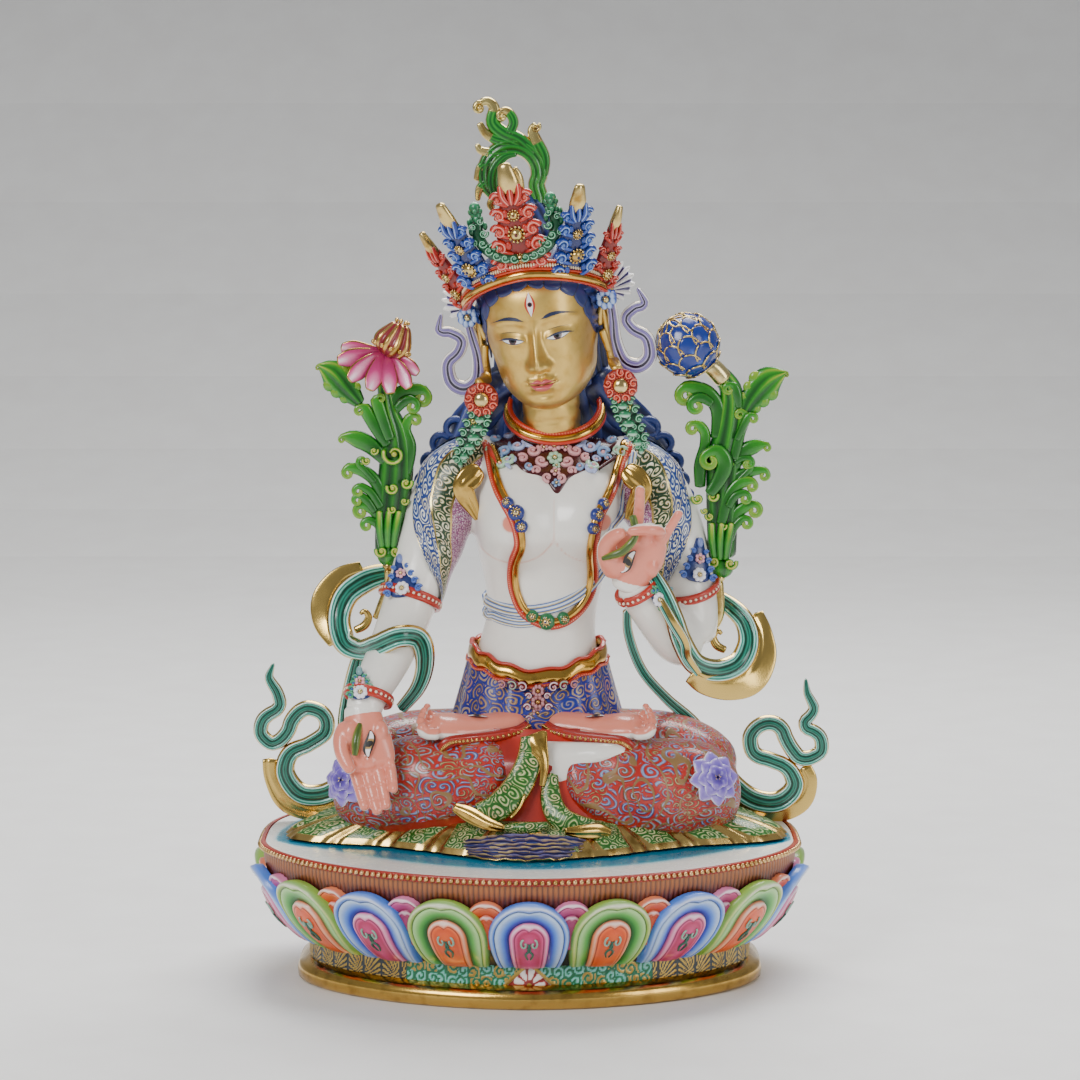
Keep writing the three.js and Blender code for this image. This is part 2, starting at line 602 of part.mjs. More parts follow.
// The opened flower over a spray: a skirt of drooping petals round a fluted pod
function flowerOpen(x, z) {
  const courses = [[5, -3, 0], [19, -11, 8], [20.5, -9, 8], [12, 2, 2], [4, 5, 0]];
  const skirt = new THREE.CylinderGeometry(1, 1, 1, FLOWER_PETALS * 2, courses.length - 1);
  return union([
    solid(remap(skirt, (p) => {
      const [reach, rise, notch] = courses[Math.round((p.y + 0.5) * (courses.length - 1))];
      const angle = Math.atan2(p.z, p.x);
      const edge = reach - notch * (0.5 - 0.5 * Math.cos(angle * FLOWER_PETALS));
      const radius = edge * Math.hypot(p.x, p.z);
      const out = radius * Math.cos(angle);
      return new THREE.Vector3(
        x - 2 + out, SPRAY_DEPTH + 0.85 * radius * Math.sin(angle), z + rise - 0.2 * out);
    })),
    ball(x + 6, SPRAY_DEPTH, z + 12, 11.5, 10, 10, { sides: 8, rows: 5 }),
  ]);
}

// A lotus spray: a stem from the arm, a cup, a stalk with leaves, and an open flower or a bud
function lotusSpray(side) {
  const [x, z] = SPRAY_KNOB[side];
  const y = SPRAY_DEPTH;
  const foot = side < 0
    ? [[-86, 26, 116, 3, 3], [-88, 28, 132, 3, 3]]
    : [[98, 22, 106, 3, 3], [109, 28, 116, 3, 3]];
  const stalk = limb([
    ...foot, [x, y, z, 3.5, 3.5], [x, y, z + 7, 7, 6], [x, y, z + 14, 7.5, 6.5], [x, y, z + 20, 5, 5],
    [x, y, z + 46, 8, 6], [x + 1, y, z + 70, 8, 6], [x + 3, y, z + 92, 6, 5],
  ], { sides: 5 });
  const leaves = SPRAY_LEAVES.map((rows) => limb(
    rows.map(([out, up, width]) => [x + side * out, y, z + up, width, 3.5]), { sides: 4 }));
  const flower = side < 0
    ? [limb([[x + 3, y, z + 90, 4.5, 4], [x, y, z + 124, 2.5, 3]], { sides: 4 }),
      flowerOpen(x - 1, z + 122)]
    : [limb([[x + 3, y, z + 90, 5, 4.5], [x + 2, y, z + 112, 4.5, 4], [x - 12, 27, z + 126, 4, 4]],
      { sides: 4 }),
      ball(x - 20, 25, z + 135, 18, 18, 18.5, { sides: 9, rows: 6 })];
  return keepLargest(union([stalk, ...leaves, ...flower])
    .subtract(figure(GAP)).subtract(scarfLoop(side, GAP)));
}

function paint(colour, roughness, metalness) {
  return new THREE.MeshStandardMaterial({ color: colour, roughness, metalness });
}

const PAINTS = {
  enamel: paint(0xf2ede2, 0.3, 0),
  lotus: paint(0x3f62b8, 0.35, 0),
  coral: paint(0xc8452c, 0.45, 0.1),
  leaf: paint(0x2c8a2a, 0.35, 0.1),
  teal: paint(0x1f8f78, 0.35, 0.1),
};

const part = new THREE.Group();
const seated = new THREE.Group();
seated.position.z = PEDESTAL_HEIGHT + CLEARANCE - 0.4 * GRID;
seated.scale.setScalar(GRID);
part.add(seated);

function add(group, name, shape, material) {
  const mesh = new THREE.Mesh(geometryOf(shape), material);
  mesh.name = name;
  group.add(mesh);
}

add(part, "lotus_pedestal", lotusPedestal(), PAINTS.lotus);
add(seated, "figure", figure(), PAINTS.enamel);
add(seated, "crown", keepLargest(crown()), PAINTS.coral);
add(seated, "hair_finial", keepLargest(hairFinial()), PAINTS.leaf);
for (const [side, name] of [[-1, "right"], [1, "left"]]) {
  add(seated, `${name}_earring`, earring(side), PAINTS.coral);
  add(seated, `${name}_lotus_spray`, lotusSpray(side), PAINTS.leaf);
  add(seated, `${name}_scarf_loop`, keepLargest(scarfLoop(side).subtract(figure(GAP))), PAINTS.teal);
  add(seated, `${name}_scarf_end`, scarfCurl(side), PAINTS.teal);
}

export default part;
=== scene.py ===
"""A painted and gilded Tara figure seated on a lotus pedestal, built round its solid model.

Everything is shaped in millimetres in the frame's own axes: the figure looks along -Y, and right
and left are its own, so its lowered right hand is on the -X side. Seated pieces are drawn on a
grid whose floor is just under the pedestal's top.
"""

import json
import math

import bmesh
import bpy
import numpy as np
from mathutils.bvhtree import BVHTree
from mathutils import Matrix, Vector

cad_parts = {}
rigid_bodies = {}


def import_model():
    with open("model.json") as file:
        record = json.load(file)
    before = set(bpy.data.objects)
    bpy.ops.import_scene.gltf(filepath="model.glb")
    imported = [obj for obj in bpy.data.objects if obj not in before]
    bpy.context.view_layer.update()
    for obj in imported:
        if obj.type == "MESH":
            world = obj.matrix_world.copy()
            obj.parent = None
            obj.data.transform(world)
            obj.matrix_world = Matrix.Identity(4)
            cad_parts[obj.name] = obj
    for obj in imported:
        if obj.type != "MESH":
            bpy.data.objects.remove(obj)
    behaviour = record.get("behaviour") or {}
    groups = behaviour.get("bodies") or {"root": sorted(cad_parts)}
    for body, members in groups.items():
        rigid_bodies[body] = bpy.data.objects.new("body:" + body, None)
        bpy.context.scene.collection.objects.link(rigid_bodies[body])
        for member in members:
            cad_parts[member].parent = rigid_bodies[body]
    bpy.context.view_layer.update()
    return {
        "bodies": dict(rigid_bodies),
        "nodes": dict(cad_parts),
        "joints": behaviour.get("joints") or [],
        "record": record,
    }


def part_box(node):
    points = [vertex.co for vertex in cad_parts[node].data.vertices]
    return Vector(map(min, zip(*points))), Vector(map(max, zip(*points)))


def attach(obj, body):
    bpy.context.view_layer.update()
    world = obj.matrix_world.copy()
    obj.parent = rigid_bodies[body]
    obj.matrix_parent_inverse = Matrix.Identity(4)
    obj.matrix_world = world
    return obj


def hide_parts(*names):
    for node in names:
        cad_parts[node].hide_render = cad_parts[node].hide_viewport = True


bl_info = {
    "name": "Painted Tara Figure",
    "version": (1, 0, 0),
    "blender": (4, 5, 0),
    "location": "View3D > Sidebar > Tara",
    "description": "Fine pieces, painted finishes and stage for a seated Tara figure",
    "category": "Object",
}

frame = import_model()

MM = 0.001
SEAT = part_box("lotus_pedestal")[1].z / MM
LIFT = SEAT - 0.1
BACK = (0.0, 1.0, 0.0)
UP = (0.0, 0.0, 1.0)
UP_VECTOR = Vector(UP)
INWARD = Vector(BACK)
SEAT_SHIFT = Vector((0, 0, LIFT))
RAY_START = 150
TAU = 2 * math.pi
SIDES = ((-1, "right"), (1, "left"))
PLAN_ANGLES = np.linspace(-math.pi / 2, 1.5 * math.pi, 1441)


# Numbers and curves


def smooth(low, high, value):
    """0 below low, 1 above high and an eased step between."""
    t = np.clip((np.asarray(value, float) - low) / (high - low), 0, 1)
    return t * t * (3 - 2 * t)


def mix(a, b, share):
    return a + (b - a) * share


def bell(value, width):
    """1 at zero, falling to nothing past about two widths."""
    return np.exp(-((value / width) ** 2))


def ribbed(angle):
    """1 at each whole turn and 0 half way between."""
    return 0.5 + 0.5 * np.cos(angle)


def signed_power(value, power):
    """A power of the value's size, with the value's own sign."""
    return np.sign(value) * abs(value) ** power


def mirrored(rows, side, middle=0.0):
    """Rows whose x is counted from the middle towards one side."""
    return [(middle + side * x, *rest) for x, *rest in rows]


def moved(rows, x, y, z):
    """Rows counted from x, y and z."""
    return [(x + a, y + b, z + c, *rest) for a, b, c, *rest in rows]


def circle(x, y, z, radius, count, start=0.0):
    """Points round x, z at equal distances, and their angles."""
    for k in range(count):
        angle = TAU * (k + start) / count
        yield (x + radius * math.cos(angle), y, z + radius * math.sin(angle)), angle


def chance(x, y, seed):
    """A fixed number from 0 to 1 for each whole x and y."""
    wave = np.sin(x * 12.9898 + y * 78.233 + seed * 37.719) * 43758.5453
    return wave - np.floor(wave)


def spline(rows, share):
    """The rows' values at each share of the way along, by a smooth curve through them."""
    rows = np.asarray(rows, float)
    place = np.clip(share, 0, 1) * (len(rows) - 1)
    step = np.minimum(place.astype(int), len(rows) - 2)
    t = (place - step)[:, None]
    a, b, c, d = (rows[np.clip(step + k, 0, len(rows) - 1)] for k in (-1, 0, 1, 2))
    return b + 0.5 * t * (c - a + t * (2 * a - 5 * b + 4 * c - d + t * (3 * (b - c) + d - a)))


def unit(vectors):
    return vectors / np.maximum(np.linalg.norm(vectors, axis=-1, keepdims=True), 1e-9)


def even(rows):
    """The same curve by rows at equal distances, so that a share is a share of its length."""
    dense = spline(rows, np.linspace(0, 1, 400))
    steps = np.linalg.norm(np.diff(dense[:, :3], axis=0), axis=1)
    length = np.concatenate([[0], np.cumsum(steps)])
    wanted = np.linspace(0, length[-1], max(len(rows) * 3, 12))
    return np.stack([np.interp(wanted, length, column) for column in dense.T], axis=1)


def path_length(rows):
    dense = spline(rows, np.linspace(0, 1, 200))[:, :3]
    return float(np.linalg.norm(np.diff(dense, axis=0), axis=1).sum())


def arc(x, y, z, radius, start, turns, count, girth, shrink, flat):
    """Rows of a spiral in the XZ plane round x, z, that closes in to shrink of its radius."""
    rows = []
    for i in range(count + 1):
        share = i / count
        angle = math.radians(start) + share * turns * TAU
        reach = radius * mix(1, shrink, share)
        width = girth * mix(1, 0.55, share)
        rows.append((x + reach * math.cos(angle), y, z + reach * math.sin(angle), width, flat))
    return rows


def scrolls(x, y, cell, pitch, seed):
    """Packed spirals on a plane: the relief from 0 to 1 and a tone for each spiral."""
    column, row = np.floor(x / cell), np.floor(y / cell)
    best = np.full(x.shape, 1e9)
    second = best.copy()
    spiral = np.zeros((4,) + x.shape)
    for i in (-1, 0, 1):
        for j in (-1, 0, 1):
            a, b, c = (chance(column + i, row + j, seed + k) for k in (0, 1, 2))
            dx = x - (column + i + 0.2 + 0.6 * a) * cell
            dy = y - (row + j + 0.2 + 0.6 * b) * cell
            away = np.hypot(dx, dy)
            near = away < best
            second = np.where(near, best, np.minimum(second, away))
            best = np.where(near, away, best)
            spiral = np.where(near, np.stack([dx, dy, c, np.sign(a - b)]), spiral)
    turn = np.arctan2(spiral[1], spiral[0]) / TAU * spiral[3] + spiral[2]
    phase = (turn + best / pitch) % 1
    ridge = smooth(0.12, 0.34, phase) * (1 - smooth(0.66, 0.88, phase))
    ridge = np.maximum(ridge, 1 - smooth(0.1, 0.24, best / pitch))
    return ridge * smooth(0.02, 0.1, (second - best) / cell), spiral[2]


# Shapes


class Piece:
    """One piece while it is shaped, with the marks that its paint reads at each vertex."""

    def __init__(self, lift=LIFT):
        self.bm = bmesh.new()
        self.bm.loops.layers.uv.new("UVMap")
        layers = self.bm.verts.layers.float
        self.marks = {name: layers.new(name) for name in ("shade", "gilt", "tone")}
        self.lift = lift

    def mark(self, verts, values, *grid):
        """Sets each mark to one number, or to a function's value at each point of the grid."""
        for name, value in values.items():
            layer = self.marks[name]
            numbers = value(*grid) if callable(value) else np.full(len(verts), float(value))
            for vert, number in zip(verts, np.broadcast_to(numbers, len(verts)).tolist()):
                vert[layer] = number

    def sheet(self, across, along, place, turn=None, cloth=None, **marks):
        """A grid of u across and v along, each from 0 to 1, put in place by place(u, v). With
        cloth, its UV map is in millimetres over that width and height."""
        verts = bmesh.ops.create_grid(
            self.bm, x_segments=across, y_segments=along, size=0.5, calc_uvs=True)["verts"]
        u = np.round(np.array([vert.co.x for vert in verts]) + 0.5, 6)
        v = np.round(np.array([vert.co.y for vert in verts]) + 0.5, 6)
        points = place(u, v)
        if turn is not None:
            points = points @ np.array(turn.to_3x3()).T + np.array(turn.translation)
        for vert, point in zip(verts, points.tolist()):
            vert.co = point
        self.mark(verts, marks, u, v)
        if cloth is not None:
            layer = self.bm.loops.layers.uv.active
            for vert, a, b in zip(verts, (u * cloth[0]).tolist(), (v * cloth[1]).tolist()):
                for loop in vert.link_loops:
                    loop[layer].uv = (a, b)
        bmesh.ops.remove_doubles(self.bm, verts=verts, dist=1e-4)
        return self

    def limb(self, rows, across=12, along=None, turn=None, cloth=None, **marks):
        """A rounded limb along rows of x, y, z, half width, half depth."""
        options = {key: marks.pop(key) for key in ("depth", "section", "blunt") if key in marks}
        along = along or max(6, 3 * len(rows))
        return self.sheet(across, along, limb_place(rows, **options), turn=turn, cloth=cloth, **marks)

    def ball(self, centre, radii, across=14, along=9, turn=None, **marks):
        """A ball with one radius, or with one for each axis."""
        middle = np.array(centre, float)

        def place(u, v):
            polar, angle = math.pi * (v - 0.5), TAU * u
            flat = np.cos(polar)
            return middle + np.stack(
                [flat * np.cos(angle), flat * np.sin(angle), np.sin(polar)], axis=1) * radii

        return self.sheet(across, along, place, turn=turn, **marks)

    def beads(self, points, radius, detail=1, **marks):
        """A small bead at each point."""
        for point in np.asarray(points, float).tolist():
            place = Matrix.Translation(point)
            if detail > 1:
                verts = bmesh.ops.create_uvsphere(
                    self.bm, u_segments=7, v_segments=5, radius=radius, matrix=place)["verts"]
            else:
                verts = bmesh.ops.create_icosphere(
                    self.bm, subdivisions=1, radius=radius, matrix=place)["verts"]
            self.mark(verts, marks)
        return self

    def finish(self, name, paint, slot, *nodes, shell=0.0):
        """Turns the shape into the finished object that stands for the solids named."""
        if shell:
            bmesh.ops.recalc_face_normals(self.bm, faces=self.bm.faces)
            bmesh.ops.solidify(self.bm, geom=self.bm.faces, thickness=shell)
        bmesh.ops.recalc_face_normals(self.bm, faces=self.bm.faces)
        bmesh.ops.translate(self.bm, vec=(0, 0, self.lift), verts=self.bm.verts)
        bmesh.ops.scale(self.bm, vec=(MM, MM, MM), verts=self.bm.verts)
        mesh = bpy.data.meshes.new(name)
        self.bm.to_mesh(mesh)
        self.bm.free()
        return settle(mesh, name, paint, nodes)


def settle(mesh, name, paint, nodes):
    """Puts a mesh in the scene as a piece of the object."""
    for polygon in mesh.polygons:
        polygon.use_smooth = True
    mesh.materials.append(paint)
    piece = bpy.data.objects.new(name, mesh)
    bpy.context.scene.collection.objects.link(piece)
    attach(piece, "root")
    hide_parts(*nodes)
    return piece


def limb_place(rows, depth=BACK, section=None, blunt=0.5):
    """place(u, v) of a limb. Its ends close over a length of blunt times their own girth."""
    rows = even(rows)
    length = path_length(rows)
    close = [max(rows[i][3:5].max() * blunt / length, 1e-4) for i in (0, -1)]

    def place(u, v):
        v = end_steps(v, close)
        spots = spline(rows, v)
        along = unit(spline(rows, v + 0.004)[:, :3] - spline(rows, v - 0.004)[:, :3])
        side = unit(np.cross(along, depth))
        deep = np.cross(side, along)
        a, b = section(u, v) if section else (np.cos(TAU * u), np.sin(TAU * u))
        end = np.minimum(v / close[0], (1 - v) / close[1])
        girth = np.sqrt(np.clip(1 - (1 - np.clip(end, 0, 1)) ** 2, 0, 1))
        return (spots[:, :3] + side * (a * spots[:, 3] * girth)[:, None]
                + deep * (b * spots[:, 4] * girth)[:, None])

    return place


def end_steps(v, close):
    """Moves the first and last few steps of v into the rounded ends."""
    eased = 0.5 - 0.5 * np.cos(math.pi * v)
    share = min(1.0, 8 * max(close))
    return mix(v, eased, share)


def remeshed(piece, voxel, rounds):
    """The piece's overlapping shapes as one skin, smoothed: its mesh, in millimetres."""
    bmesh.ops.recalc_face_normals(piece.bm, faces=piece.bm.faces)
    mesh = bpy.data.meshes.new("skin")
    piece.bm.to_mesh(mesh)
    piece.bm.free()
    rough = bpy.data.objects.new("skin", mesh)
    bpy.context.scene.collection.objects.link(rough)
    skin = rough.modifiers.new("Skin", "REMESH")
    skin.mode = "VOXEL"
    skin.voxel_size = voxel
    soften = rough.modifiers.new("Soften", "SMOOTH")
    soften.factor = 0.5
    soften.iterations = rounds
    depsgraph = bpy.context.evaluated_depsgraph_get()
    made = bpy.data.meshes.new_from_object(rough.evaluated_get(depsgraph))
    bpy.data.objects.remove(rough)
    return made


def vertex_vectors(mesh, name):
    values = np.empty(len(mesh.vertices) * 3, np.float32)
    mesh.vertices.foreach_get(name, values)
    return values.reshape(-1, 3).astype(float)


def finish_skin(mesh, name, paint, slot, *nodes, change=None, **marks):
    """Finishes a remeshed skin: change(points, normals) moves it, and each mark paints it."""
    points, normals = vertex_vectors(mesh, "co"), vertex_vectors(mesh, "normal")
    for mark, paint_at in marks.items():
        layer = mesh.attributes.new(mark, "FLOAT", "POINT")
        layer.data.foreach_set("value", paint_at(points, normals).astype(np.float32))
    if change is not None:
        points = change(points, normals)
    points = (points + (0, 0, LIFT)) * MM
    mesh.vertices.foreach_set("co", points.ravel())
    mesh.update()
    mesh.materials.clear()
    return settle(mesh, name, paint, nodes)


# Paint


class Value:
    """A socket that takes Python's operators and adds the Math nodes for them."""

    def __init__(self, paint, socket):
        self.paint = paint
        self.socket = socket

    def math(self, operation, *others):
        return self.paint.node("ShaderNodeMath", {"operation": operation}, [self, *others])

    def __add__(self, other):
        return self.math("ADD", other)

    __radd__ = __add__

    def __mul__(self, other):
        return self.math("MULTIPLY", other)

    __rmul__ = __mul__

    def __sub__(self, other):
        return self.math("SUBTRACT", other)

    def __rsub__(self, other):
        return self.paint.node("ShaderNodeMath", {"operation": "SUBTRACT"}, [other, self])

    def __truediv__(self, other):
        return self.math("DIVIDE", other)

    def step(self, low, high):
        """0 below low, 1 above high and an eased step between."""
        return self.paint.node(
            "ShaderNodeMapRange", {"interpolation_type": "SMOOTHSTEP"}, [self, low, high])


WARP = 3.2
COAT_ROUGHNESS = 0.12


class Paint:
    """A material and the nodes of its finish."""

    def __init__(self, name):
        self.material = bpy.data.materials.new(name)
        self.material.use_nodes = True
        self.tree = self.material.node_tree
        self.tree.nodes.clear()
        self.shader = self.tree.nodes.new("ShaderNodeBsdfPrincipled")
        output = self.tree.nodes.new("ShaderNodeOutputMaterial")
        self.tree.links.new(self.shader.outputs["BSDF"], output.inputs["Surface"])
        self.object_place = None

    def connect(self, socket, value):
        if isinstance(value, Value):
            self.tree.links.new(value.socket, socket)
        else:
            socket.default_value = value

    def node(self, kind, settings, values=(), output=0):
        """Adds a node. Its settings come first, then the values or links of its sockets."""
        node = self.tree.nodes.new(kind)
        for name, setting in settings.items():
            setattr(node, name, setting)
        pairs = values.items() if isinstance(values, dict) else enumerate(values)
        for key, value in pairs:
            self.connect(node.inputs[key], value)
        return Value(self, node.outputs[output])

    def place(self):
        if self.object_place is None:
            self.object_place = self.node("ShaderNodeTexCoord", {}, output="Object")
        return self.object_place

    def mark(self, name):
        return self.node("ShaderNodeAttribute", {"attribute_name": name}, output="Fac")

    def noise(self, size, detail=3.0):
        """Soft mottling with patches of about size millimetres."""
        return self.node("ShaderNodeTexNoise", {}, {
            "Vector": self.place(), "Scale": 1 / (size * MM), "Detail": detail})

    def other(self, value, output):
        """Another output of the node that a value comes from."""
        return Value(self, value.socket.node.outputs[output])

    def over_cloth(self):
        return self.node("ShaderNodeUVMap", {"uv_map": "UVMap"}, output="UV")

    def scrollwork(self, cell, pitch, ground, crests, line, mask=1.0):
        """Raised scrolls over the UV map: their colour and relief. Each spiral takes one of the
        crests over the ground, with a fine line along its inner edge."""
        bend = self.node("ShaderNodeTexNoise", {"noise_dimensions": "2D"}, {
            "Vector": self.over_cloth(), "Scale": 0.11, "Detail": 1.0}, output="Color")
        place = self.node("ShaderNodeVectorMath", {"operation": "MULTIPLY_ADD"}, [
            bend, (WARP, WARP, 0), self.over_cloth()])
        where = {"Vector": place, "Scale": 1 / cell, "Randomness": 0.85}
        flat = {"voronoi_dimensions": "2D"}
        spot = self.node("ShaderNodeTexVoronoi", flat, where, output="Position")
        edge = self.node("ShaderNodeTexVoronoi", {**flat, "feature": "DISTANCE_TO_EDGE"}, where,
                         output="Distance").step(0.02, 0.09)
        red = self.node("ShaderNodeSeparateColor", {}, [self.other(spot, "Color")], output="Red")
        green = self.other(red, "Green")
        away = self.node("ShaderNodeVectorMath", {"operation": "SUBTRACT"}, [place, spot])
        right = self.node("ShaderNodeSeparateXYZ", {}, [away], output="X")
        turn = self.other(right, "Y").math("ARCTAN2", right) / TAU
        reach = self.node("ShaderNodeVectorMath", {"operation": "LENGTH"}, [away], output="Value")
        hand = green.math("GREATER_THAN", 0.5) * 2 - 1
        phase = (turn * hand + reach / pitch + green * 9).math("FRACT")
        ridge = phase.step(0.08, 0.28) * (1 - phase.step(0.56, 0.78))
        ridge = ridge.math("MAXIMUM", 1 - (reach / pitch).step(0.18, 0.32)) * edge * mask
        colour = self.ramp(ridge, ground)
        crest = self.ramp(red, crests, "CONSTANT")
        colour = self.blend(colour, crest, ridge.step(0.4, 0.7))
        light = phase.step(0.3, 0.36) * (1 - phase.step(0.44, 0.52)) * edge * mask
        return self.blend(colour, rgba(line), light), ridge

    def blend(self, a, b, factor, kind="MIX"):
        """Colour a changed towards b."""
        return self.node(
            "ShaderNodeMix", {"data_type": "RGBA", "blend_type": kind},
            {0: factor, 6: a, 7: b}, output=2)

    def ramp(self, value, stops, kind="LINEAR"):
        """A colour for each value, from stops of a position and a hue."""
        ramp = self.node("ShaderNodeValToRGB", {}, [value])
        elements = ramp.socket.node.color_ramp.elements
        ramp.socket.node.color_ramp.interpolation = kind
        while len(elements) < len(stops):
            elements.new(1.0)
        for element, (position, hue) in zip(elements, stops):
            element.position = position
            element.color = rgba(hue)
        return ramp

    def worked(self, colour, strokes):
        """The colour made lighter or darker by strokes round 1."""
        grey = self.node("ShaderNodeCombineXYZ", {}, [strokes, strokes, strokes])
        return self.blend(colour, grey, 1.0, "MULTIPLY")

    def surface(self, colour, roughness, metal, relief, depth, coat=0.0):
        """Joins the finish to the shader. Relief is a height of up to depth millimetres."""
        self.connect(self.shader.inputs["Base Color"], colour)
        self.connect(self.shader.inputs["Roughness"], roughness)
        self.connect(self.shader.inputs["Metallic"], metal)
        self.shader.inputs["Coat Weight"].default_value = coat
        self.shader.inputs["Coat Roughness"].default_value = COAT_ROUGHNESS
        bump = self.node("ShaderNodeBump", {}, {
            "Strength": 1.0, "Distance": depth * MM, "Height": relief})
        self.connect(self.shader.inputs["Normal"], bump)
        return self.material


def rgba(hue):
    """A colour picked on screen, as the linear numbers that paint is mixed in."""
    parts = [int(hue[i:i + 2], 16) / 255 for i in (0, 2, 4)]
    return (*((c / 12.92) if c <= 0.04045 else ((c + 0.055) / 1.055) ** 2.4 for c in parts), 1.0)


def painted(name, stops, accents=None, painted_light=None, gold="d9b45c", gloss=0.3, mottling=0.16,
            gold_gloss=0.24, grain=0.03, worn="a8823a", scroll=None):
    """Hand-laid paint. Stops colour it by the shade mark, accents colour crests by tone, a wash
    lies over it by tone, and gold leaf, worn in patches, covers it by the gilt mark. Scroll is
    the cell, pitch and line hue of scroll-work where the shade mark is 1."""
    paint = Paint(name)
    shade = paint.mark("shade")
    patches = paint.noise(7)
    fine = paint.noise(1.1, 2.0)
    relief = fine + paint.noise(0.5) * 0.5
    if scroll:
        colour, ridge = paint.scrollwork(*scroll[:2], stops, accents, scroll[2], shade)
        relief = relief + ridge * 12 * (1 - paint.mark("gilt").step(0.2, 0.5))
    else:
        colour = paint.ramp(shade, stops)
        if accents:
            crest = paint.ramp(paint.mark("tone"), accents, "CONSTANT")
            colour = paint.blend(colour, crest, shade.step(0.45, 0.75))
    # Painted light in one hue, laid over the colour by the tone mark: a painted highlight on the
    # petals, painted shade between the drum's ribs.
    if painted_light:
        colour = paint.blend(colour, rgba(painted_light), paint.mark("tone"))
    strokes = (patches - 0.5) * mottling * 2 + (fine - 0.5) * mottling + 1
    colour = paint.worked(colour, strokes)
    gilt = paint.mark("gilt").step(0.4, 0.6)
    leaf = paint.blend(rgba(gold), rgba(worn), patches.step(0.45, 0.75))
    colour = paint.blend(colour, leaf, gilt)
    roughness = (gold_gloss - gloss) * gilt + gloss + (patches - 0.5) * 0.12
    return paint.surface(colour, roughness, gilt, relief, grain, coat=0.3)


def banded(name, stops, edge, gold="c9a95c"):
    """Paint in bands along a limb, from its middle at 0 to its edges at 1, which are gilt."""
    paint = Paint(name)
    around = paint.node("ShaderNodeSeparateXYZ", {}, [paint.over_cloth()], output="X")
    middle = (around * TAU).math("COSINE").math("ABSOLUTE")
    patches = paint.noise(7)
    fine = paint.noise(1.1, 2.0)
    colour = paint.ramp(middle + (patches - 0.5) * 0.08, stops)
    colour = paint.worked(colour, (patches - 0.5) * 0.3 + (fine - 0.5) * 0.16 + 1)
    gilt = middle.step(edge, edge + 0.02).math("MAXIMUM", paint.mark("gilt").step(0.4, 0.6))
    colour = paint.blend(colour, rgba(gold), gilt)
    return paint.surface(colour, (patches - 0.5) * 0.12 + 0.22, gilt, fine, 0.03, coat=0.3)


# Pedestal


class PedestalSettings(bpy.types.PropertyGroup):
    """Sizes of the lotus pedestal."""

    rim_width: bpy.props.FloatProperty(
        name="Rim width", description="Width over the rim, in millimetres", default=314)
    rim_depth: bpy.props.FloatProperty(
        name="Rim depth", description="Depth over the rim, in millimetres", default=220)
    foot_width: bpy.props.FloatProperty(
        name="Foot width", description="Width of the gilt foot, in millimetres", default=268)
    foot_depth: bpy.props.FloatProperty(
        name="Foot depth", description="Depth of the gilt foot, in millimetres", default=164)
    petals: bpy.props.IntProperty(
        name="Petals", description="Main petals round the drum", default=18, min=4)
    beads: bpy.props.IntProperty(
        name="Beads", description="Beads round the rim", default=240, min=12)
    ribs: bpy.props.IntProperty(
        name="Ribs", description="Ribs round the drum under the rim", default=290, min=12)


CARVED_LENGTH = 700.0
CARVED_FOOT = 12.6
CARVED_TOP = 24.0
CARVED_INSET = 7.0
FAN_WIDTH = 12.5
BROW_INSET = 4
DRUM_TOP = 77.0
PETAL_TIP = 0.84
FRONT_POWER = 2 / 1.8
BACK_POWER = 2 / 3.6


def plan(angle, half_width, half_depth):
    """The D-shaped plan: a long half ellipse in front and a squarer half behind."""
    c, s = np.cos(angle), np.sin(angle)
    power = np.where(s < 0, FRONT_POWER, BACK_POWER)
    return half_width * signed_power(c, power), half_depth * signed_power(s, power)


def rim_turn(share):
    """The plan's angle at a share of the rim's length, counted from the front's middle."""
    size = bpy.context.scene.tara_pedestal
    x, y = plan(PLAN_ANGLES, size.rim_width / 2, size.rim_depth / 2)
    length = np.concatenate([[0], np.cumsum(np.hypot(np.diff(x), np.diff(y)))])
    return np.interp(share % 1, length / length[-1], PLAN_ANGLES)


def around(share, half_width, half_depth, z):
    """Points at shares of the way round the pedestal's plan."""
    x, y = plan(rim_turn(share), half_width, half_depth)
    return np.stack([x, y, np.broadcast_to(z, x.shape)], axis=1)


def profile(v, rows):
    """Values of a sharp-cornered profile, whose rows are half width, half depth and height."""
    rows = np.array(rows, float)
    steps = np.concatenate([[0], np.cumsum(np.linalg.norm(np.diff(rows, axis=0), axis=1) + 1e-6)])
    return [np.interp(v * steps[-1], steps, column) for column in rows.T]


def foot_size(inset):
    size = bpy.context.scene.tara_pedestal
    return size.foot_width / 2 - inset, size.foot_depth / 2 - inset


def rim_size(inset=0.0):
    size = bpy.context.scene.tara_pedestal
    return size.rim_width / 2 - inset, size.rim_depth / 2 - inset


def turned_ring(piece, across, along, rows, **marks):
    """A profile swept round the pedestal's plan."""
    def place(u, v):
        half_width, half_depth, z = profile(v, rows)
        return around(u, half_width, half_depth, z)

    return piece.sheet(across, along, place, **marks)


def pedestal_foot():
    piece = Piece(0)
    rows = [(*foot_size(inset), z) for inset, z in (
        (2, 0.0), (0.7, 0.4), (0, 1.6), (-0.6, 5.5), (0, 9.4), (0.9, 10.6), (2.6, 11.1), (4.4, 11.2),
        (4.2, 12.2), (4.8, 13.0), (6.4, 13.2), (9, 13.2))]
    turned_ring(piece, 190, 40, [(0.01, 0.01, 0.0), *rows], gilt=1, shade=0.5)
    piece.finish("pedestal_foot", painted(
        "foot_gilding", [(0, "c9a24a"), (1, "e2c06a")], gold_gloss=0.2, gold="c8a04c"),
        "gilding", "lotus_pedestal")


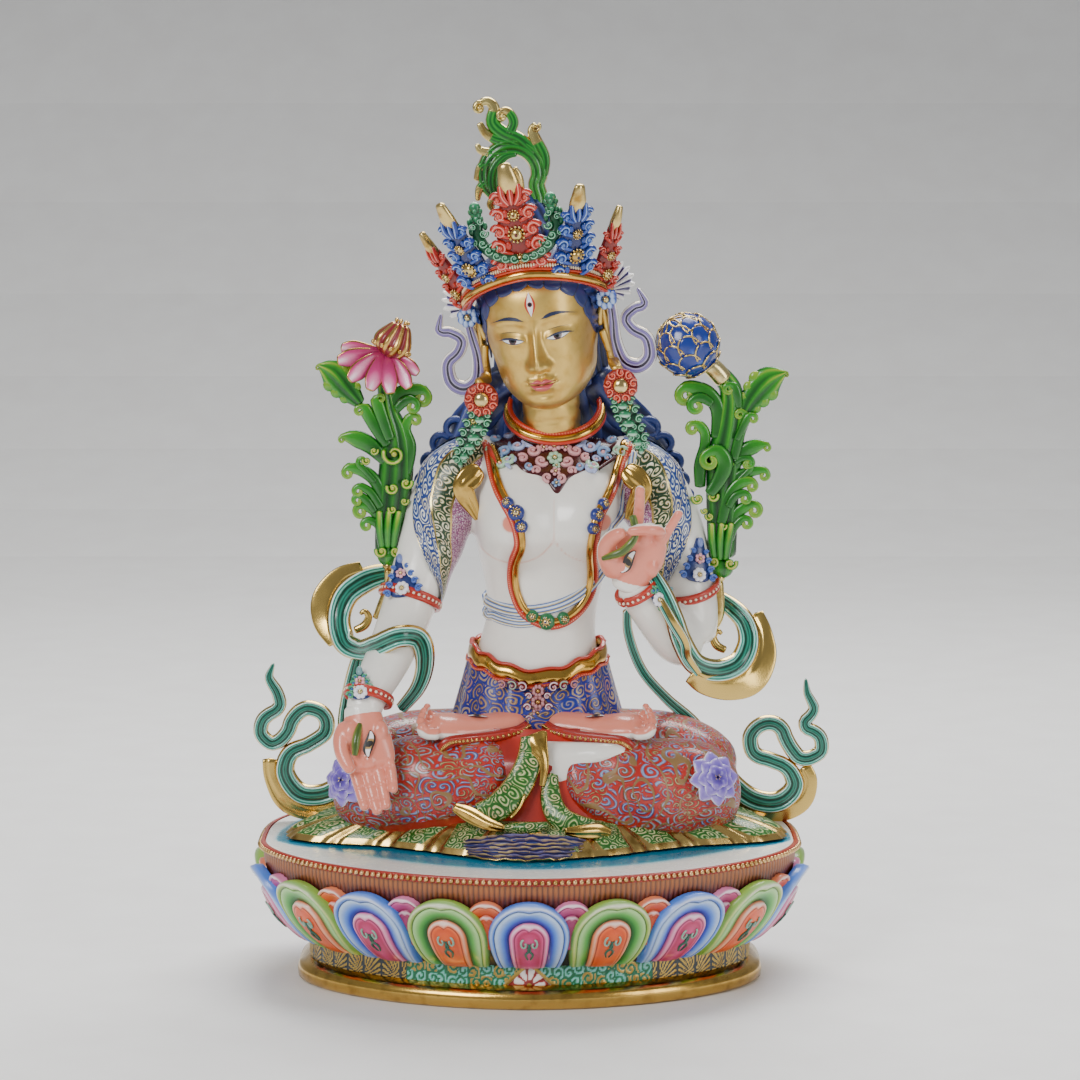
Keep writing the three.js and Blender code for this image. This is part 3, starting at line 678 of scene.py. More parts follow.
def carved_relief(share, height):
    """The carved band's relief and paint: leafy scrolls in front, engraved fans at the sides
    and behind, and half a flower in a triangle in the front's middle."""
    along = ((share + 0.5) % 1 - 0.5) * CARVED_LENGTH
    rise = height * 11.5
    curls, tone = scrolls(along + 40, rise * 0.98 + 1.2, 6.4, 2.5, 5)
    cell = np.floor(along / FAN_WIDTH)
    across = along - cell * FAN_WIDTH
    ray = np.degrees(np.arctan2(rise + 1.5, np.abs(across - FAN_WIDTH * (cell % 2)) + 0.5))
    fans = smooth(0.25, 0.6, ribbed(ray / 90 * TAU * 8))
    fans = fans * (smooth(0.4, 1.2, across) * smooth(0.4, 1.2, FAN_WIDTH - across))
    front = smooth(72, 70, abs(along))
    reach = 13.0 * (1 - height) + 0.5
    inside = smooth(reach, reach - 1.2, abs(along))
    frame_line = smooth(1.6, 1.0, abs(abs(along) - reach - 0.6))
    spoke = np.degrees(np.arctan2(rise - 0.5, along))
    away = np.hypot(along, rise - 0.5)
    petal = smooth(0.1, 0.5, ribbed(spoke / 180 * TAU * 4.5)) * smooth(9.2, 8.2, away)
    petal = petal * smooth(2.6, 3.4, away)
    return front, curls, tone, fans, inside, frame_line, petal, away


def pedestal_carved_band():
    piece = Piece(0)

    def place(u, v):
        front, curls, _, fans, inside, frame_line, petal, away = carved_relief(u, v)
        relief = mix(fans * 0.55, curls * 0.8, front)
        relief = mix(relief, petal * 0.8 + bell(away, 2.0), inside)
        relief = np.maximum(relief, frame_line * 0.9 * front)
        relief = relief * smooth(0, 0.08, v) * smooth(1, 0.92, v)
        half_width, half_depth = foot_size(CARVED_INSET)
        height = mix(CARVED_FOOT, CARVED_TOP + 1.4, v)
        return around(u, half_width + relief, half_depth + relief, height)

    def shade(u, v):
        front, curls, _, fans, inside, _, petal, _ = carved_relief(u, v)
        value = mix(0.02 + 0.1 * fans, 0.3 + 0.18 * curls, front)
        return mix(value, 0.62 + 0.34 * petal, inside)

    def gilt(u, v):
        front, curls, tone, fans, inside, frame_line, _, away = carved_relief(u, v)
        rays = fans * (1 - front)
        lines = frame_line * front
        stems = front * curls * (tone > 0.62) * (1 - inside)
        return np.maximum(np.maximum(rays, lines), np.maximum(stems, bell(away, 1.6) * inside))

    piece.sheet(800, 15, place, shade=shade, gilt=gilt, tone=lambda u, v: carved_relief(u, v)[2])
    paint = painted(
        "carved_band_paint",
        [(0.0, "16202a"), (0.14, "2c3a30"), (0.28, "0c5c3c"), (0.36, "127a4a"), (0.42, "57b7a4"),
         (0.5, "9ad8cf"), (0.6, "7d1d1c"), (0.7, "b03028"), (0.8, "f2ded8"), (1.0, "fbf3ee")],
        gold="b89a50", gold_gloss=0.38)
    piece.finish("carved_band", paint, "lotus_paint", "lotus_pedestal")


def drum_reach(rise):
    """How far the drum has spread from its waist to its brow, at a share of its height."""
    return 1 - (1 - rise) ** 1.8


def pedestal_drum():
    """The ribbed drum behind the petals and the red fillet that carries the beads."""
    piece = Piece(0)
    size = bpy.context.scene.tara_pedestal
    ribs = size.ribs
    brow = rim_size(BROW_INSET)
    waist = foot_size(CARVED_INSET)

    def place(u, v):
        rise = v ** 0.8
        share = drum_reach(rise)
        rib = ribbed(TAU * ribs * u)
        stand = 0.75 * rib ** 0.7 * smooth(0.55, 0.7, rise) * smooth(1.0, 0.97, rise)
        half_width = mix(waist[0], brow[0], share) + stand
        half_depth = mix(waist[1], brow[1], share) + stand
        return around(u, half_width, half_depth, mix(CARVED_TOP, DRUM_TOP, rise))

    # Painted shade between the ribs: the tone mark lays a dark hue into the grooves.
    def tone(u, v):
        return (1 - ribbed(TAU * ribs * u)) ** 2 * 0.75

    piece.sheet(ribs * 4, 9, place, shade=lambda u, v: v, tone=tone)
    # Dark low down and orange-brown towards the top, with the painted shade between the ribs.
    paint = painted(
        "drum_paint", [(0, "1a0c14"), (0.62, "2a0f18"), (0.78, "6a2a1c"), (0.9, "a35a24"),
                       (1.0, "b46a2c")], painted_light="2a1216", gloss=0.4)
    piece.finish("ribbed_drum", paint, "lotus_paint", "lotus_pedestal")

    edge = Piece(0)
    rows = [(*rim_size(inset), z) for inset, z in (
        (5, 76.6), (2.6, 76.8), (1.6, 77.3), (2.2, 79.0), (1.8, 80.5), (2.4, 81.0), (4.2, 81.0))]
    turned_ring(edge, 360, 14, rows, shade=0.5)
    edge.finish("rim_fillet", painted(
        "fillet_paint", [(0, "8e1d12"), (1, "b5301c")], gloss=0.35), "red_paint", "lotus_pedestal")

    row = Piece(0)
    count = size.beads
    points = around(np.arange(count) / count, *rim_size(1.5), 78.9)
    row.beads(points, 1.55, detail=2, gilt=1)
    row.finish("rim_beads", painted(
        "bead_gilding", [(0, "b98a4a"), (1, "e8c98a")], gold="dcb27a", gold_gloss=0.3),
        "gilding", "lotus_pedestal")


ARCH_FOOT = 0.46
RINGS = [0.0, 0.1, 0.2, 0.29, 0.34, 0.355, 0.37, 0.4, 0.44, 0.485, 0.5, 0.515,
         0.55, 0.62, 0.69, 0.76, 0.81, 0.827, 0.84, 0.855, 0.88, 0.92, 0.96, 0.99,
         1.0, 1.0]


# Hues of each petal's rim, band, painted shade in the groove, lip and tongue
PETAL_HUES = {
    "blue": (("0c1440", "4a7fe0", "a9c6f2", "5a8ae6"), ("1f3fc0", "5b8fe8", "b9d3f4"),
             "0d1a70", ("e0609a", "f4a9c6"), ("6a1030", "d84c86", "b8285a")),
    "green": (("0f3a14", "8fb84a", "c6d47c", "7cae3c"), ("1d7a28", "58b048", "a9d88a"),
              "0c4a1a", ("f07a48", "f8b290"), ("8a1e0c", "f0682e", "e0501c")),
    "pink": (("5c1030", "e888b4", "f6c2d6", "d8609a"), ("b03a72", "c44a82", "d0588e"),
             "a02c64", ("b43a70", "c04a7c"), ("8c2452", "b03a6c", "a03064")),
    "coral": (("7a1c0c", "f08a5c", "f8c0a0", "e8683a"), ("d8501e", "e05a28", "ec7040"),
              "c84a1c", ("dc5c2c", "e0683a"), ("a83412", "d8501e", "c84816")),
}


def petal_paint(name, rim, band, deep, lip, face):
    """Nested colours of a petal from its tongue's middle out to its rim."""
    # The stop at 0.5 is painted shade in the groove between the tongue and the band.
    stops = [(0.0, face[1]), (0.26, face[2]), (0.33, face[1]), (0.355, face[0]), (0.385, lip[0]),
             (0.43, lip[1]), (0.48, lip[0]), (0.5, deep), (0.57, band[0]), (0.66, band[1]),
             (0.79, band[2]), (0.83, band[2]), (0.842, rim[0]), (0.862, rim[1]), (0.92, rim[2]),
             (0.97, rim[3]), (1.0, rim[1])]
    # The tone mark lays a near-white painted highlight over the tops of the rim and the lip.
    return painted(name, stops, painted_light="f4f1f2", gloss=0.32, mottling=0.1)


def petal(piece, middle, width, low, high, back, stand, flat=1.0):
    """One petal: an arch of nested ridges laid over the drum, with a rolled rim and a tongue."""
    rows = np.array(RINGS)
    waist, brow = foot_size(CARVED_INSET), rim_size(BROW_INSET)
    side = 0.27

    def arch(u, v):
        row = np.round(v * (len(RINGS) - 1)).astype(int)
        ring = rows[row]
        turn = np.clip((u - side) / (1 - 2 * side), 0, 1) * math.pi
        leg = np.where(u < side, u / side, np.where(u > 1 - side, (1 - u) / side, 1.0))
        s = -np.cos(turn) * ring
        h = ARCH_FOOT * leg + (1 - ARCH_FOOT) * np.sin(turn) * ring
        return s * (1 - 0.13 * (1 - leg) ** 2), h, ring, row

    def dip(s, ring):
        """The ogee: at the top's middle the inner lines turn down in a shallow point."""
        return bell(s / np.maximum(ring, 0.2), 0.2)

    def place(u, v):
        s, h, ring, row = arch(u, v)
        top = smooth(ARCH_FOOT, ARCH_FOOT + 0.4 * ring + 0.01, h)
        h = h - dip(s, ring) * top * (
            0.05 * bell(ring - 0.84, 0.09) + 0.055 * bell(ring - 0.37, 0.07))
        tongue = np.sqrt(np.clip(1 - (ring / 0.5) ** 2, 0, 1))
        face = smooth(0.355, 0.32, ring)
        relief = 3.2 * tongue - 0.7 * face * smooth(0, 0.2, h)
        relief += 2.4 * smooth(0.5, 0.83, ring) * (ring < 0.84) + 2.4 * (ring >= 0.84)
        relief -= 1.1 * bell(ring - 0.842, 0.014) + 1.0 * bell(ring - 0.5, 0.03)
        relief -= 0.6 * bell(ring - 0.36, 0.014)
        relief += 1.1 * bell(ring - 0.92, 0.06) * (0.4 + 0.9 * top)
        skirt = np.where(row == len(RINGS) - 1, 7.0, 2.4 * smooth(0.95, 1.0, ring))
        rise = mix(low, high, h)
        swell = np.sin(math.pi * np.clip(rise, 0, 1) ** 0.7)
        proud = (2.2 + 4.6 * swell + 4.6 * rise ** 3) * stand + relief * flat - skirt - back
        proud -= 2.0 * np.abs(s) ** 4 * stand
        share = drum_reach(rise * PETAL_TIP)
        lean = np.maximum(proud, -3)
        return around(
            middle + s * width, mix(waist[0], brow[0], share) + lean,
            mix(waist[1], brow[1], share) + lean,
            CARVED_TOP + (DRUM_TOP - CARVED_TOP) * rise * PETAL_TIP)

    # The tone mark: a painted highlight along the top of the rim and of the lip.
    def tone(u, v):
        _, h, ring, _ = arch(u, v)
        top = smooth(ARCH_FOOT + 0.1, 1.0, h)
        rim_light = 0.62 * bell(ring - 0.92, 0.035) * top
        lip_light = 0.6 * bell(ring - 0.435, 0.03) * smooth(ARCH_FOOT, ARCH_FOOT + 0.25, h)
        return rim_light + lip_light

    piece.sheet(46, len(RINGS) - 1, place, shade=lambda u, v: arch(u, v)[2], tone=tone)


def petal_ornament(piece, middle, width):
    """The small scroll in relief on a petal's tongue."""
    waist, brow = foot_size(CARVED_INSET), rim_size(BROW_INSET)

    def spot(s, rise, out):
        share = drum_reach(rise * PETAL_TIP)
        swell = math.sin(math.pi * rise ** 0.7)
        proud = 4.0 + 4.6 * swell + 4.6 * rise ** 3 + out
        return around(
            np.array([middle + s * width]), mix(waist[0], brow[0], share) + proud,
            mix(waist[1], brow[1], share) + proud,
            CARVED_TOP + (DRUM_TOP - CARVED_TOP) * rise * PETAL_TIP)[0]

    for side in (-1, 1):
        rows = []
        for i in range(12):
            t = i / 11
            angle = math.radians(90 - 330 * t)
            reach = mix(0.085, 0.03, t)
            s = side * (0.02 + 0.1 + reach * math.cos(angle))
            rise = 0.42 + 0.9 * reach * math.sin(angle)
            rows.append((*spot(s, rise, 1.0), 0.62, 0.62))
        piece.limb(rows, across=6, along=16, shade=0.8, depth=UP)
        stem = [(*spot(side * s, rise, out), w, d) for s, rise, out, w, d in (
            (0.02, 0.16, 0.9, 0.5, 0.5), (0.09, 0.26, 1.1, 0.75, 0.7), (-0.03, 0.34, 1.2, 0.7, 0.7),
            (0.04, 0.44, 1.1, 0.4, 0.4))]
        piece.limb(stem, across=6, along=12, shade=0.3, depth=UP)


def pedestal_petals():
    count = bpy.context.scene.tara_pedestal.petals
    half = 0.5 / count
    blue, green, pink, coral, scroll = (Piece(0) for _ in range(5))
    for k in range(count):
        petal(blue if k % 2 == 0 else green, k / count, half * 0.985, 0.0, 1.0, 0.0, 1.0)
        petal_ornament(scroll, k / count, half)
        petal(pink if k % 2 == 0 else coral, (k + 0.5) / count, half * 0.56, 0.3, 0.985, 2.5, 0.82,
              flat=0.7)
    for piece, hue, part in ((blue, "blue", "petal"), (green, "green", "petal"),
                             (pink, "pink", "tip"), (coral, "coral", "tip")):
        paint = petal_paint(f"{hue}_{part}_paint", *PETAL_HUES[hue])
        name = f"{hue}_petals" if part == "petal" else f"{hue}_petal_tips"
        piece.finish(name, paint, "lotus_paint", "lotus_pedestal")
    scroll.finish("petal_ornaments", painted(
        "petal_ornament_paint", [(0, "0c3c34"), (0.4, "2c6a54"), (0.8, "8fb8a4"), (1, "c8ddd0")],
        gloss=0.3), "lotus_paint", "lotus_pedestal")


SEAT_INSET = 3.6


def pedestal_seat():
    """The white seat, with a teal wash round the hem and a red line at its edge."""
    piece = Piece(0)
    half_width, half_depth = rim_size(SEAT_INSET)

    def reach(v):
        return 1 - (1 - v) ** 1.5

    def place(u, v):
        share = np.where(v < 0.999, reach(v), 1.0)
        edge = smooth(0.985, 1.0, share)
        return around(u, half_width * share, half_depth * share, 80.9 - 0.5 * edge)

    edge = hem_edge(np.linspace(-math.pi, math.pi, 721))
    bearing = np.arctan2(edge[:, 1], edge[:, 0])
    order = np.argsort(bearing)
    edge_reach = np.hypot(edge[:, 0], edge[:, 1])

    def tone(u, v):
        """1 at the hem, falling to 0 part of the way from there to the rim."""
        x, y = plan(rim_turn(u), half_width, half_depth)
        hem_share = np.interp(
            np.arctan2(y, x), bearing[order], edge_reach[order], period=TAU) / np.hypot(x, y)
        return smooth(0.62, 0.3, (reach(v) - hem_share) / (1 - hem_share))

    piece.sheet(200, 40, place, shade=lambda u, v: reach(v), tone=tone)
    paint = Paint("seat_enamel")
    # The tone mark is a painted shadow of the cloth on the seat: the white turns teal towards the hem.
    painted_light = paint.mark("tone")
    patches = paint.noise(9)
    wobble = (patches - 0.5) * 0.1
    teal = paint.ramp(painted_light + wobble * painted_light, [
        (0, "f3f1ea"), (0.3, "ddeaec"), (0.55, "8fcbdc"), (0.72, "3a9dba"), (1.0, "1d83a6")])
    line = paint.mark("shade").step(0.9905, 0.993)
    colour = paint.blend(teal, rgba("b03024"), line)
    colour = paint.worked(colour, (paint.noise(2) - 0.5) * 0.05 + 1)
    paint.surface(colour, patches * 0.1 + 0.22, 0.0, patches, 0.06, coat=0.3)
    piece.finish("white_seat", paint.material, "white_enamel", "lotus_pedestal")


# Seat cloth, legs and drapes

SIDE_MARGIN = 14.0
BACK_MARGIN = 18.0
FRONT_MARGIN = 48.0
TONGUE = 36.0
MIDLINE = 4.0
HEM_FOLDS = 22

BROCADE = [(0, "b3251a"), (0.4, "8e2a26"), (1, "8a6a5c")]
BROCADE_CRESTS = [(0, "5f6f9c"), (0.2, "84653e"), (0.4, "7786ac"), (0.58, "46568a"),
                  (0.74, "735036"), (0.88, "94765a")]
HEM_GREEN = [(0, "1d5a12"), (0.4, "3f8a24"), (1, "93a85c")]
HEM_CRESTS = [(0, "a3b478"), (0.3, "6f9a4c"), (0.6, "bdb47c"), (0.85, "94804a")]
HEM_SCROLL = (6.4, 2.1, "d3d29a")


def hem_edge(angle, share=1.0):
    """The plan of the cloth's edge on the seat at each angle round the midline."""
    half_width, half_depth = rim_size()
    c, s = np.cos(angle), np.sin(angle)
    tongue = np.where(s < 0, bell(c, 0.42), 0.0)
    wave = 1 + 0.012 * np.cos(angle * 10) * share
    front = half_depth - FRONT_MARGIN - TONGUE * (1 - tongue)
    x = (half_width - SIDE_MARGIN) * signed_power(c, 0.85) * wave
    y = np.where(s < 0, -front * abs(s) ** 0.8, (half_depth - BACK_MARGIN) * abs(s) ** 0.7) * wave
    return np.stack([MIDLINE + x * share, y * share], axis=1)


def hem_turn(share):
    """The angle at a share of the hem's length, from the front's middle."""
    edge = hem_edge(PLAN_ANGLES)
    length = np.concatenate([[0], np.cumsum(np.linalg.norm(np.diff(edge, axis=0), axis=1))])
    return np.interp(share % 1, length / length[-1], PLAN_ANGLES)


def hem():
    """The cloth spread over the seat: scroll-work panels between gilt turned folds."""
    piece = Piece()

    def swing(u):
        """0 along a turned fold, 1 along the middle of a panel."""
        return abs((u * HEM_FOLDS + 0.5) % 1 - 0.5) * 2

    def place(u, v):
        away = swing(u)
        panel = smooth(0.3, 0.62, away)
        ridge = bell(away, 0.16)
        share = mix(0.6, 1.0, v) + (0.02 * panel - 0.012 + 0.012 * ridge) * v
        edge = hem_edge(hem_turn(u), share)
        z = mix(18, 1.4, v ** 2.0) + (2.2 * panel + 1.6 * ridge) * v * smooth(1.02, 0.85, v)
        z = z + 0.7 * bell(v - 0.95, 0.04)
        return np.stack([edge[:, 0], edge[:, 1], z], axis=1)

    def gilt(u, v):
        turned = 0.5 + (0.46 * smooth(0.1, 1.0, v) - swing(u)) * 7
        return np.clip(np.maximum(turned, 0.5 + (v - 0.945) * 30), 0, 1)

    piece.sheet(528, 20, place, cloth=(760, 46), shade=1, gilt=gilt)
    piece.sheet(60, 4, lambda u, v: np.column_stack(
        [hem_edge(TAU * u, 0.62 * v), mix(18.5, 17.5, v)]), shade=0)
    paint = painted("hem_paint", HEM_GREEN, HEM_CRESTS, gloss=0.3, scroll=HEM_SCROLL, gold="d3b065",
                    worn="8d6a2c")
    piece.finish("seat_hem", paint, "green_paint", "figure")


def cuff_distance(points):
    """How far a point of the trouser cloth is outside its plain cuff, in millimetres."""
    drop = np.where(points[:, 0] > MIDLINE, 5.0, 0.0)
    reach = np.interp(points[:, 2] + drop, [13, 20, 26.5, 35, 44, 55, 66],
                      [90, 48, 31.5, 21, 15, 13, 13])
    return abs(points[:, 0] - MIDLINE) - reach


def brocade_paint():
    """Scroll-work beyond the plain red cuff, by the distance that the tone mark holds."""
    paint = Paint("brocade_paint")
    beyond = paint.mark("tone").step(-0.5, 0.5)
    patches = paint.noise(14)
    fine = paint.noise(1.1, 2.0)
    colour, ridge = paint.scrollwork(8.4, 2.3, BROCADE, BROCADE_CRESTS, "94a4cc", beyond)
    small, fine_ridge = paint.scrollwork(5.0, 1.8, BROCADE, BROCADE_CRESTS, "b8a070", beyond)
    pick = patches.step(0.5, 0.56)
    colour = paint.blend(colour, small, pick)
    ridge = ridge * (1 - pick) + fine_ridge * pick
    sweep = (paint.noise(24, 0.5) * 7).math("FRACT")
    stem = sweep.step(0.36, 0.42) * (1 - sweep.step(0.52, 0.58)) * beyond
    colour = paint.blend(colour, rgba("8a6a40"), stem)
    ridge = ridge * (1 - stem) + stem * 0.8
    plain = paint.ramp(patches, [(0.3, "a31f14"), (0.7, "be2d1c")])
    colour = paint.blend(plain, colour, beyond)
    colour = paint.worked(colour, (patches - 0.5) * 0.5 + (fine - 0.5) * 0.2 + 1)
    roughness = (patches - 0.5) * 0.1 + 0.3
    return paint.surface(colour, roughness, 0.0, ridge * 12 + fine, 0.04, coat=0.3)


def legs():
    """The folded legs in red brocade, each with a plain cuff."""
    piece = Piece()
    for side in (-1, 1):
        shin = limb_place(mirrored([
            (114, 10, 28, 13, 15), (102, 5, 29, 23.5, 24), (82, -5, 30, 28, 25),
            (56, -11, 31, 30, 24), (32, -13, 31, 29, 21), (12, -12, 29, 24, 17)], side, MIDLINE))
        thigh = limb_place(mirrored([
            (0, 44, 46, 30, 34), (40, 38, 43, 27, 34), (74, 30, 43, 26, 32), (96, 20, 37, 24, 28),
            (108, 12, 32, 17, 20)], side, MIDLINE))

        def raised(u, v, shin=shin):
            points = shin(u, v)
            centre = points.mean(axis=0)
            away = cuff_distance(points)
            step = 1.2 * smooth(-1.0, 0.6, away) + 0.8 * bell(away + 7, 2.5)
            fold = np.sin(points[:, 0] * 0.16 + points[:, 2] * 0.1)
            step = step + 0.9 * fold * smooth(0, 8, away)
            outward = unit(np.column_stack([
                (points[:, 0] - centre[0]) * 0.15, points[:, 1] - centre[1] + 4,
                points[:, 2] - centre[2]]))
            return points + outward * step[:, None]

        piece.sheet(96, 86, raised, cloth=(165, 115),
                    tone=lambda u, v, place=shin: np.clip(cuff_distance(place(u, v)), -20, 20))
        piece.sheet(60, 48, thigh, cloth=(180, 120), tone=20)
    piece.finish("brocade_legs", brocade_paint(), "red_paint", "figure")


def knee_flowers():
    """A violet peony on each knee, with white edges to its petals."""
    piece = Piece()
    cloth = surface_of("brocade_legs")

    def shade(u, v):
        rim = smooth(0.7, 0.97, abs(np.cos(TAU * u))) * smooth(0.3, 0.6, v)
        return np.clip(
            0.1 + 0.42 * smooth(0.2, 0.85, v) + 0.75 * rim + 0.5 * smooth(0.88, 1.0, v), 0, 1)

    for x, z, size in ((104.5, 40, 14.6), (-104, 38, 14)):
        frame = outward_frame(cloth, x, z, 0.4)
        for petals, reach, width, out in (
                (8, 1.0, 0.34, 0.0), (7, 0.74, 0.29, 1.8), (5, 0.46, 0.24, 3.4)):
            for _, angle in circle(0, 0, 0, 1, petals, 0.5 * (petals % 2)):
                rows = [(r * size * reach * math.cos(angle), -out - lift,
                         r * size * reach * math.sin(angle), w * size * width, 1.1)
                        for r, lift, w in ((0.1, 1.0, 0.3), (0.5, 1.6, 0.9), (0.78, 1.7, 1.0),
                                           (0.94, 1.0, 0.62), (1.1, 0.2, 0.08))]
                piece.limb(rows, across=10, along=10, turn=frame, blunt=0.4, shade=shade)
        for spot, _ in circle(0, -5.0, 0, 1.6, 7):
            piece.ball(spot, 0.8, 6, 4, turn=frame, gilt=1)
    piece.finish("knee_flowers", painted(
        "peony_paint", [(0, "3a2678"), (0.35, "6a52b4"), (0.7, "a68fd8"), (0.9, "f0ecfa"),
                        (1, "ffffff")], gloss=0.3), "lotus_paint", "figure")


def front_drape():
    """Between the legs: red cloth under two scroll-work bands, gilt folds and a pleated swag."""
    cloth, bands, folds, swag = Piece(), Piece(), Piece(), Piece()

    def behind(u, v):
        x = MIDLINE + (u - 0.5) * 84
        z = mix(3, 67, v)
        y = -27 + 9 * abs((u - 0.5) * 2) ** 2 - 16 * (1 - v) ** 1.6 + 12 * smooth(0.7, 1.0, v)
        return np.column_stack([x, y, z])

    cloth.sheet(30, 24, behind, shade=lambda u, v: 0.5 + 0.5 * np.sin(u * 26 + v * 4))
    cloth.limb([(-2.4, -41, 35, 0.8, 0.8), (-5.5, -44, 27.5, 0.9, 0.9), (-11, -47, 21.5, 0.8, 0.8)],
               across=8, along=14, gilt=1)
    cloth.finish("front_cloth", painted(
        "plain_red_paint", [(0, "9c2014"), (1, "be2e1c")], gloss=0.32), "red_paint", "figure")
    for rows in (
            [(0, -29, 66, 5.0, 2.2), (0, -32, 53.5, 7.2, 2.4), (-3.6, -35, 43.5, 8.0, 2.6),
             (-9.6, -39, 34.4, 8.4, 2.8), (-18.8, -43, 27.0, 8.0, 2.8), (-30, -44, 23.5, 6, 2.6)],
            [(13.8, -33, 45, 2.6, 1.6), (12.0, -36, 37, 5.4, 2.4), (13, -40, 28.4, 6.6, 2.6),
             (17.4, -44, 21.6, 7.0, 2.8), (24.4, -46, 17.8, 7.0, 2.8), (37, -44, 15.5, 5, 2.4)],
            [(-15, -50, 17, 1.6, 2), (-7, -53, 17.4, 3.4, 3), (3, -54, 18, 3.4, 3),
             (10, -51, 19, 1.6, 2)]):
        bands.limb(rows, across=24, along=50, cloth=(30, path_length(rows)), depth=(0, 1, -0.15),
                   blunt=0.2, shade=1,
                   gilt=lambda u, v: np.clip(0.5 + (abs(np.cos(TAU * u)) - 0.88) * 9, 0, 1))
    bands.finish("drape_borders", painted(
        "drape_border_paint", HEM_GREEN, HEM_CRESTS, gloss=0.3, scroll=(5.6, 1.9, "d3d29a"),
        gold="d8b668"), "green_paint", "figure")

    def turned(u, v):
        return np.cos(TAU * u), np.sin(TAU * u) * (0.7 + 0.3 * np.cos(np.cos(TAU * u) * 5))

    for rows in (
            [(1.4, -29, 67.0, 9.0, 1.6), (3.6, -31.5, 62.0, 7.4, 1.8), (7.2, -34, 55.5, 3.8, 1.6),
             (8.4, -36, 48.5, 2.4, 1.4), (7.0, -38, 38.5, 1.4, 1.0)],
            [(-43, -42, 27.5, 2.4, 1.2), (-34, -46, 24.0, 4.6, 1.6), (-24, -50, 19.5, 3.8, 1.6),
             (-14, -53, 17.0, 2.0, 1.2)],
            [(20, -53, 15.5, 2.0, 1.2), (29, -51, 15.0, 3.6, 1.6), (39, -47, 14.5, 4.2, 1.6),
             (46, -43, 12.0, 2.4, 1.2)]):
        folds.limb(rows, across=24, along=36, depth=(0, 1, -0.15), section=turned, blunt=0.3, gilt=1)

    def swag_pleat(side, v):
        return v * 6.2 + 0.16 * np.sin(side * 13 + v * 5) + 0.12 * np.sin(side * 29 - v * 9)

    def hanging(u, v):
        side = (u - 0.5) * 2
        full = 1 - abs(side) ** 2.4
        ripple = np.cos(TAU * swag_pleat(side, v)) * (0.25 + 0.75 * full)
        x = -2 + 39 * side + 0.8 * np.sin(v * 30)
        y = -(41 + 22 * full ** 0.8 + 3.5 * v + 0.9 * ripple)
        z = mix(7.5 + 8.5 * full, 1.6, v ** 0.9) + 0.6 * ripple * smooth(1, 0.9, v)
        return np.column_stack([x, y, z])

    # The shade mark follows the pleats: dark blue in their valleys as painted shade, lighter on their
    # crests, where the tone mark picks a hue for each stripe.
    swag.sheet(80, 56, hanging,
               shade=lambda u, v: ribbed(TAU * swag_pleat((u - 0.5) * 2, v)),
               tone=lambda u, v: chance(np.floor(v * 12.4), np.floor(u * 9 + v * 2), 5),
               gilt=lambda u, v: np.clip(0.5 + (v - 0.93) * 26, 0, 1))
    folds.finish("gilt_folds", painted("turned_fold_gold", GILT_SKIN, gold="d0a954", worn="8a6526",
                                       gold_gloss=0.2), "gilding", "figure")
    swag.finish("pleated_swag", painted(
        "swag_paint", [(0, "141f5c"), (0.35, "43386a"), (0.6, "8d7468"), (1, "c2a878")],
        [(0, "a2866c"), (0.35, "26387e"), (0.55, "bfa26a"), (0.8, "6e6290")], gold="dcbc70",
        mottling=0.4), "lotus_paint", "figure")


# Body, hands and feet

WHITE = [(0, "f3efe6"), (0.25, "f3efe6"), (0.4, "efd9cc"), (0.5, "e6a894"), (0.56, "e98f78"),
         (1, "ea8a72")]


def skin_paint(name):
    """Porcelain-white enamel with a pink blush in its creases and salmon palms and soles."""
    return painted(name, WHITE, gloss=0.24, mottling=0.035, grain=0.015)


BOXY_POWER = 0.88


def torso_place(u, v):
    """The torso's surface with the bust, the hollow of the throat and the belly."""
    rows = [(4, 38, 52, 52, 40), (4.2, 38, 70, 46, 37), (4.5, 37, 90, 40, 31), (5, 36, 106, 34.6, 28),
            (7, 35, 127, 31.6, 25), (8, 33, 148, 34.6, 26), (8.5, 32, 175, 40.4, 28),
            (10, 34, 200, 43.5, 27), (11, 36, 213, 39, 22), (12, 38, 224, 27, 17),
            (12.5, 38, 234, 18, 15)]

    def boxy(u, v):
        return [signed_power(turn, BOXY_POWER) for turn in (np.cos(TAU * u), np.sin(TAU * u))]

    points = limb_place(rows, section=boxy, blunt=0.2)(u, v)
    x, y, z = points.T
    front = smooth(0.1, 0.7, -(y - 34) / 26)
    push = np.zeros(len(u))
    for centre in (-9.5, 37.5):
        dx, dz = (x - centre) / 23.0, (z - 181)
        dz = np.where(dz < 0, dz / 19.5, dz / 31.0)
        push = push + 16.5 * np.exp(-(dx * dx + dz * dz) ** 1.35)
    push = push - 1.4 * bell(x - 13.7, 3.0) * bell(z - 186, 20)
    push = push + 2.2 * bell(x - 7, 20) * bell(z - 118, 16)
    push = push - 1.2 * bell(x - 6.5, 2.0) * bell(z - 128, 16)
    push = push + 1.5 * bell(abs(x - 12) - 22, 14) * bell(z - 213, 3.5)
    return points - np.column_stack([0 * x, push * front, 0 * x])


